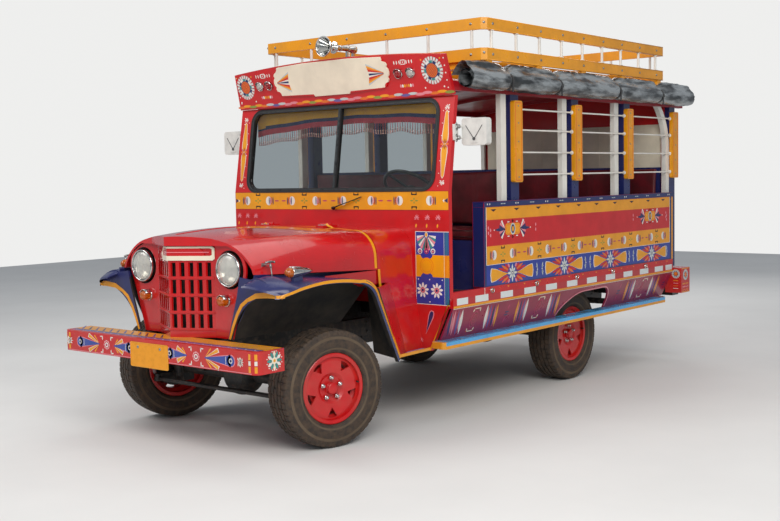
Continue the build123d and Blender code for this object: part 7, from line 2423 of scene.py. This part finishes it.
class CHIVA_OT_rear_end(bpy.types.Operator):
    """Fit the tail lamps, the rear wall's boards and the rear bumper's paint"""
    bl_idname = "chiva.rear_end"
    bl_label = "Rear end"

    def execute(self, context):
        lenses, rims = Stock(), Stock()
        for name, side in SIDES:
            y = side * 0.977
            for z, radius, finish in ((0.700, 0.036, 0), (0.615, 0.036, 1)):
                matrix = facing((back(4.2000), y, z), REARWARD)
                rims.turned([(radius, 0.0), (radius + 0.006, 0.0), (radius + 0.005, 0.007), (radius, 0.009)],
                            matrix, 32)
                lenses.knob([(0, 0.020), (0.5 * radius, 0.018), (0.8 * radius, 0.013), (0.99 * radius, 0.004),
                             (0.99 * radius, 0.001), (0, 0.001)], matrix, 28, finish)
            place = lambda a, b, h: (back(4.0381) + h, side * a, b)
            strokes = rosette(1.000, 0.700, 0.038, 14)
            for k in range(4):
                strokes.append((1, ("yellow", "pink", "orange", "white")[k],
                                bar(0.978, 1.022, 0.640 - 0.022 * k, 0.645 - 0.022 * k)))
            lay_paint("tail_box_front_paint_" + name, strokes, place, slot="red_body_wood")
            outer = on_y(side * 1.050)
            strokes = rosette(4.118, 0.690, 0.046, 16)
            for k in range(3):
                for u in (-0.045, -0.015, 0.015, 0.045):
                    strokes.append((1, ("yellow", "pink", "orange")[k],
                                    oval(4.118 + u, 0.615 - 0.026 * k, 0.010, 0.006, 10)))
            strokes += [(1, "yellow", bar(4.045, 4.193, 0.5435, 0.5495)),
                        (1, "yellow", bar(4.045, 4.193, 0.7405, 0.7465))]
            lay_paint("tail_box_side_paint_" + name, strokes, outer, slot="red_body_wood")
        lens = [red_acrylic(), amber_acrylic()]
        lenses.made("tail_lamp_lenses", lens, slot="lamp_glass")
        rims.made("tail_lamp_bezels", [chromed()])

        wall = on_x(back(BODY_REAR), -1)
        strokes = [(1, "yellow", bar(-0.895, 0.895, 0.985, 1.115)),
                   (1, "blue", bar(-0.895, 0.895, 0.805, 0.970)),
                   (1, "navy", bar(-0.895, 0.895, 1.115, 1.130)),
                   (1, "navy", bar(-0.895, 0.895, 0.970, 0.985)),
                   (1, "yellow", bar(-0.895, 0.895, 1.380, 1.465)),
                   (1, "navy", bar(-0.895, 0.895, 1.370, 1.380))]
        rows = motif_row([(-0.80, 1), (-0.56, -1), (0.06, 1), (0.30, -1), (0.52, 1), (0.78, -1)],
                         [-0.68, 0.18, 0.65], 1.050, 0.120)
        strokes += raised(rows)
        for a in (-0.66, 0.16, 0.62):
            strokes += raised(trumpet(a, 0.888, 1, 0.040, 0.170, 0.034) + trumpet(a, 0.888, -1, 0.040, 0.170,
                                                                                  0.034)
                              + star_flower(a, 0.888, 0.050))
        for k in range(16):
            a = -0.84 + 0.112 * k
            strokes.append((2, "maroon", [(a - 0.030, 1.452), (a, 1.436), (a + 0.030, 1.452)]))
        lay_paint("rear_wall_paint", strokes, wall, slot="red_body_wood")
        seams = Stock()
        for a in (-0.70, -0.25, 0.25, 0.70):
            seams.slab(bar(a - 0.014, a + 0.014, 1.475, 2.050), -0.0004, 0.006, wall, 0)
        for b in (1.475, 2.050):
            seams.slab(bar(-0.888, 0.888, b - 0.014, b + 0.014), -0.0004, 0.0065, wall, 0)
        seams.made("rear_wall_battens", [enamel("red")], 0.002, slot="red_body_wood")
        screws = Stock()
        for b in (0.812, 1.475, 2.050):
            for k in range(13):
                screws.knob([(0, 0.0), (0.0055, 0.0), (0.0050, 0.0015), (0, 0.0025)],
                            facing((back(BODY_REAR) - (0.0064 if b > 1.0 else 0.001), -0.86 + 0.1433 * k, b),
                                   REARWARD), 12)
        screws.made("rear_wall_screws", [zinc_steel()])
        bumper = Stock()
        for a in (-0.60, -0.20, 0.20, 0.60):
            bumper.slab(rounded(a - 0.16, a + 0.16, 4.195, 4.280, 0.008, 3), -0.0004, 0.0010,
                        lambda u, v, h: (back(v), u, 0.579 + h), 0)
        for a in (-0.80, -0.345, 0.345, 0.80):
            bolt(bumper, (back(4.295), a, 0.539), REARWARD, 0.018, 0.009, 1)
        bumper.made("rear_bumper_fittings",
                    [metal("ribbed_tread_plate", "#77777A", 0.85, 0.42, 0.006, 0.0012, "#4E4B48"),
                             zinc_steel()])
        return {"FINISHED"}


class CHIVA_OT_engine_bay(bpy.types.Operator):
    """Dress the engine and radiator with cover, cleaner, fan, fins and hose, and rivet the chassis"""
    bl_idname = "chiva.engine_bay"
    bl_label = "Engine bay and chassis"

    def execute(self, context):
        stock = Stock()
        for distance in (1.000, 1.650, 2.230, 3.080, 3.800):
            for y in (-0.345, 0.345):
                for u in (-0.022, 0.022):
                    bolt(stock, (back(distance) + u, y + 0.003, 0.644), UPWARD, 0.012, 0.006)
        for distance in (0.150, 0.420, 0.760, 1.300, 1.940, 2.640, 3.440, 4.000):
            for side in (1, -1):
                for z in (0.556, 0.616):
                    stock.knob([(0, -0.001), (0.0095, -0.001), (0.0080, 0.004), (0.0040, 0.006), (0, 0.0065)],
                               facing((back(distance), side * 0.370, z), (0, side, 0)), 14)
        stock.made("chassis_rivets", [chassis_black()], slot="frame_paint")

        alloy = metal("cast_aluminium", "#9A9C9E", 1.0, 0.42, 0.004, 0.0006)
        cover = Stock()
        # columns: length's two ends, half the width, corner radius, height
        levels = ((-0.410, 0.210, 0.092, 0.020, 0.0), (-0.410, 0.210, 0.092, 0.020, 0.008),
                  (-0.400, 0.200, 0.082, 0.026, 0.010),
                  (-0.396, 0.196, 0.078, 0.026, 0.045), (-0.380, 0.180, 0.064, 0.026, 0.057),
                  (-0.350, 0.150, 0.036, 0.020, 0.061))
        cover.loft([[(FRONT_AXLE + a, b, 1.0905 + tall) for a, b in rounded(low, high, -wide, wide, radius)]
                    for low, high, wide, radius, tall in levels])
        cap = [(0, 0), (0.028, 0.0), (0.028, 0.016), (0.024, 0.021), (0, 0.022)]
        cover.knob(cap, facing((FRONT_AXLE - 0.290, 0.0, 1.1505), UPWARD), 24, 1)
        for a in (-0.33, -0.10, 0.13):
            for y in (-0.0865, 0.0865):
                bolt(cover, (FRONT_AXLE + a, y, 1.0985), UPWARD, 0.009, 0.005, 2, False)
        cleaner = facing((FRONT_AXLE - 0.060, -0.186, 1.0905), UPWARD)
        cover.knob([(0, 0), (0.036, 0.0), (0.030, 0.006), (0.030, 0.026), (0.076, 0.030), (0.082, 0.036),
                    (0.082, 0.072),
                    (0.076, 0.080), (0.020, 0.084), (0, 0.084)], cleaner, 40, 1)
        cover.knob([(0, 0.083), (0.011, 0.083), (0.010, 0.094), (0, 0.096)], cleaner, 16, 2)
        cover.made("engine_cover_and_cleaner", [alloy, enamel("black"), zinc_steel()], 0.0006)

        core = Stock()
        for k in range(27):
            a = -0.250 + 0.0185 * k
            for face, sense in ((0.352, -1), (0.412, 1)):
                core.slab(bar(a, a + 0.006, 0.66, 1.065), -0.0005, 0.004, on_x(FRONT_AXLE + face, sense))
        core.knob([(0, 0), (0.026, 0.0), (0.026, 0.008), (0.033, 0.010), (0.033, 0.020), (0.026, 0.024),
                   (0, 0.025)],
                  facing((FRONT_AXLE + 0.382, 0.0, 1.1400), UPWARD), 28, 1)
        hose = [(0.3515, 0.055, 1.090), (0.335, 0.055, 1.092), (0.312, 0.055, 1.085), (0.296, 0.055, 1.068),
                (0.2805, 0.055, 1.060)]
        core.rod([Vector((FRONT_AXLE + a, y, z)) for a, y, z in hose], 0.021, 18, 2)
        hub = facing((FRONT_AXLE + 0.2805, 0.0, 0.900), FORWARD)
        core.knob([(0, 0), (0.055, 0.0), (0.055, 0.022), (0.030, 0.024), (0.026, 0.046), (0, 0.048)], hub, 32,
                  3)
        for k in range(4):
            blade = hub @ Matrix.Rotation(k * PI / 2 + 0.4, 4, "Z") @ Matrix.Rotation(math.radians(24), 4,
                                                                                      "X")
            core.slab([(0.022, -0.016), (0.150, -0.034), (0.160, -0.024), (0.160, 0.024), (0.150, 0.034),
                       (0.022, 0.016)],
                      -0.0008, 0.0008, lambda u, v, h: blade @ Vector((u, v, 0.036 + h)), 3)
        core.made("radiator_fittings", [chassis_black(), zinc_steel(), extruded_rubber(),
                                                enamel("yellow")])
        return {"FINISHED"}


class CHIVA_OT_dash_and_floor(bpy.types.Operator):
    """Fit the gauges, switches, wheel boss and floor screws"""
    bl_idname = "chiva.dash_and_floor"
    bl_label = "Dash and floor"

    def execute(self, context):
        gauges, glass, knobs = Stock(), Stock(), Stock()
        x = back(DASH_DISTANCE)
        for y, radius in ((0.42, 0.048), (0.30, 0.028), (0.54, 0.028), (0.22, 0.022), (0.62, 0.022)):
            matrix = facing((x, y, 1.345), REARWARD)
            card = lambda a, b, h: matrix @ Vector((a, b, h))
            gauges.turned([(radius, -0.002), (radius + 0.006, 0.0), (radius + 0.005, 0.007), (radius, 0.008),
                           (radius - 0.002, 0.002)], matrix, 36, 0)
            gauges.knob([(0, 0.0), (radius, 0.0), (radius, 0.002), (0, 0.002)], matrix, 32, 1)
            for k in range(9):
                tick = brush(0, 0, -40 + 260 * k / 8, 0.72 * radius, 0.90 * radius, 0.0008, 0.0008)
                gauges.slab(tick, 0.0018, 0.0026, card, 2)
            needle = [(-0.10 * radius, -0.0012), (0.70 * radius, -0.0003), (0.70 * radius, 0.0003),
                      (-0.10 * radius, 0.0012)]
            gauges.slab([(0.8 * u - 0.6 * v, 0.6 * u + 0.8 * v) for u, v in needle], 0.0026, 0.0034, card, 3)
            glass.knob([(0, 0.0072), (0.6 * radius, 0.0068), (radius - 0.001, 0.0055),
                        (radius - 0.001, 0.0045), (0, 0.0055)],
                       matrix, 32)
        for y in (-0.10, -0.04, 0.02, 0.08, 0.14):
            matrix = facing((x, y, 1.330), REARWARD)
            knobs.knob([(0, 0.0), (0.009, 0.0), (0.008, 0.003), (0.004, 0.005), (0.004, 0.014),
                        (0.009, 0.017),
                        (0.0105, 0.022), (0.008, 0.027), (0, 0.028)], matrix, 20)
        gauges.made("dash_gauges", [chromed(), moulded("printed_gauge_card", "#15161A", 0.5), enamel("white"),
                                            enamel("orange")])
        glass.made("gauge_glasses", [window_glass()])
        knobs.made("dash_knobs", [bakelite()])
        lid = Stock()
        lid.slab(rounded(-0.66, -0.30, 1.235, 1.360, 0.016), 0.0002, 0.004, on_x(x, -1))
        lid.knob([(0, 0.0), (0.012, 0.0), (0.012, 0.010), (0.008, 0.014), (0, 0.014)],
                 facing((x - 0.004, -0.48, 1.340), REARWARD),
                 20, 1)
        lid.made("glove_box_lid", [enamel("red"), chromed()], 0.0015)

        axis = Vector((-math.cos(math.radians(50)), 0, math.sin(math.radians(50))))
        centre = Vector((back(1.200), 0.42, 1.470))
        wheel = facing(centre, axis)
        boss = Stock()
        boss.knob([(0, 0.009), (0.030, 0.010), (0.034, 0.013), (0.031, 0.019), (0.022, 0.023), (0, 0.025)],
                  wheel, 32)
        boss.turned([(0.0225, 0.0215), (0.0240, 0.0240), (0.0255, 0.0215)], wheel, 32, 1)
        for c, s in circle(44):
            ridge = wheel @ Vector((0.2000 * c, 0.2000 * s, -0.0105))
            boss.knob([(0, -0.0030), (0.0055, -0.0030), (0.0040, 0.0016), (0, 0.0022)], facing(ridge, -axis),
                      8)
        boss.made("steering_wheel_boss", [bakelite(), chromed()], body="steering_wheel")

        screws = Stock()
        for k in range(20):
            d = 1.02 + 0.148 * k
            for y in (-0.86, -0.42, 0.0, 0.42, 0.86):
                screws.knob([(0, -0.0005), (0.0050, -0.0005), (0.0046, 0.0010), (0, 0.0016)],
                            facing((back(d), y, FLOOR_TOP), UPWARD), 10)
        screws.made("floor_screws", [zinc_steel()], slot="floor_wood")
        treads = Stock()
        for k in range(10):
            treads.slab(bar(0.910, 1.240, -0.90 + 0.18 * k + 0.012, -0.90 + 0.18 * (k + 1) - 0.012), -0.0003,
                        0.0030,
                        on_z(FLOOR_TOP))
        treads.made("cab_floor_mats", [moulded("ribbed_rubber_mat", "#1C1C1E", 0.6, 0.006)], 0.001,
                    slot="floor_wood")
        return {"FINISHED"}


class CHIVA_OT_board_ends(bpy.types.Operator):
    """Cap the running boards' front ends and line the rear wall's inner face"""
    bl_idname = "chiva.board_ends"
    bl_label = "Board ends and lining"

    def execute(self, context):
        nose = max(v.co.x for v in frame["nodes"]["running_boards"].data.vertices)
        caps, lining = Stock(), Stock()
        outline = arc_points([(0.845, nose), (0.845, nose + 0.004), (0.925, nose + 0.020),
                              [(0.948, nose + 0.010)],
                              (0.955, nose)], 5)
        for _, side in SIDES:
            caps.slab(outline, 0.469, 0.5115, lambda a, b, h: (b - 0.0004, side * a, h), 0)
        caps.made("running_board_caps", [enamel("yellow")], 0.002, slot="yellow_wood")
        place = on_x(back(BODY_REAR - 0.032))
        lining.slab(bar(-0.880, 0.880, 0.820, 1.960), -0.0004, 0.0030, place, 0)
        for a in (-0.587, -0.293, 0.0, 0.293, 0.587):
            lining.slab(bar(a - 0.011, a + 0.011, 0.822, 1.958), 0.0026, 0.0060, place, 0)
        lining.made("rear_wall_lining", [enamel("cream")], 0.0008, slot="white_paint")
        return {"FINISHED"}


class CHIVA_OT_bench_trim(bpy.types.Operator):
    """Bead the bench end boards and plug the posts' screws"""
    bl_idname = "chiva.bench_trim"
    bl_label = "Bench and post trim"

    def execute(self, context):
        beads, plugs = Stock(), Stock()
        for row in range(4):
            d0 = BENCH_FIRST + BENCH_PITCH * row
            for side in (1, -1):
                place = on_y(side * 0.976)
                outer = rounded(d0 + 0.010, d0 + 0.090, 1.520, 2.050, 0.010, 4)
                inner = rounded(d0 + 0.016, d0 + 0.084, 1.526, 2.044, 0.006, 4)
                beads.ring_plate(outer, inner, -0.0004, 0.0012, place, 0)
                for b in (1.545, 1.66, 1.785, 1.91, 2.025):
                    plugs.knob([(0, 0.0), (0.0065, 0.0), (0.0060, 0.0018), (0, 0.0028)],
                               facing((back(d0 + 0.050), side * 0.976, b), (0, side, 0)), 14)
        beads.made("bench_board_lines", [enamel("orange")], slot="yellow_wood")
        plugs.made("bench_board_screws", [zinc_steel()], slot="yellow_wood")
        collars = Stock()
        for level in (1.561, 1.713, 1.865, 2.005):
            for row in range(3):
                for d, ahead in ((BENCH_FIRST + BENCH_PITCH * row + BENCH_THICK, -1),
                                 (BENCH_FIRST + BENCH_PITCH * (row + 1), 1)):
                    collars.turned([(0.0062, 0.0), (0.0150, 0.0003), (0.0145, 0.003), (0.0085, 0.006),
                                    (0.0062, 0.006)],
                                   facing((back(d), 0.9443, level), (ahead, 0, 0)), 18)
        collars.made("window_rod_collars", [enamel("white")], slot="white_paint")
        return {"FINISHED"}


STEPS = (CHIVA_OT_stage, CHIVA_OT_finishes, CHIVA_OT_bumper, CHIVA_OT_front_lamps, CHIVA_OT_fenders,
         CHIVA_OT_fender_lines, CHIVA_OT_bonnet_trim, CHIVA_OT_front_wall_paint, CHIVA_OT_windscreen_trim,
         CHIVA_OT_header,
         CHIVA_OT_mirrors_and_horn, CHIVA_OT_side_paint, CHIVA_OT_skirt_paint, CHIVA_OT_rack_fittings,
         CHIVA_OT_rolled_sheets, CHIVA_OT_cushions, CHIVA_OT_fringe, CHIVA_OT_wheels, CHIVA_OT_rear_end,
         CHIVA_OT_engine_bay, CHIVA_OT_dash_and_floor, CHIVA_OT_board_ends, CHIVA_OT_bench_trim)


class CHIVA_PT_panel(bpy.types.Panel):
    """Lists the settings and the steps that dress the bus"""
    bl_idname = "CHIVA_PT_panel"
    bl_label = "Chiva Bus"
    bl_space_type = "VIEW_3D"
    bl_region_type = "UI"
    bl_category = "Chiva Bus"

    def draw(self, context):
        layout = self.layout
        for settings in (context.scene.chiva_stage, context.scene.chiva_trim):
            for name in settings.__annotations__:
                layout.prop(settings, name)
        for step in STEPS:
            layout.operator(step.bl_idname)


SETTINGS = (ChivaStageSettings, ChivaTrimSettings)


def register():
    for group in SETTINGS + STEPS + (CHIVA_PT_panel,):
        bpy.utils.register_class(group)
    bpy.types.Scene.chiva_stage = bpy.props.PointerProperty(type=ChivaStageSettings)
    bpy.types.Scene.chiva_trim = bpy.props.PointerProperty(type=ChivaTrimSettings)


def unregister():
    del bpy.types.Scene.chiva_trim
    del bpy.types.Scene.chiva_stage
    for group in reversed(SETTINGS + STEPS + (CHIVA_PT_panel,)):
        bpy.utils.unregister_class(group)


def main():
    """Register, run every step in order and write the sizes before and after."""
    register()
    for step in STEPS:
        family, name = step.bl_idname.split(".")
        getattr(getattr(bpy.ops, family), name)()


if __name__ == "__main__":
    main()
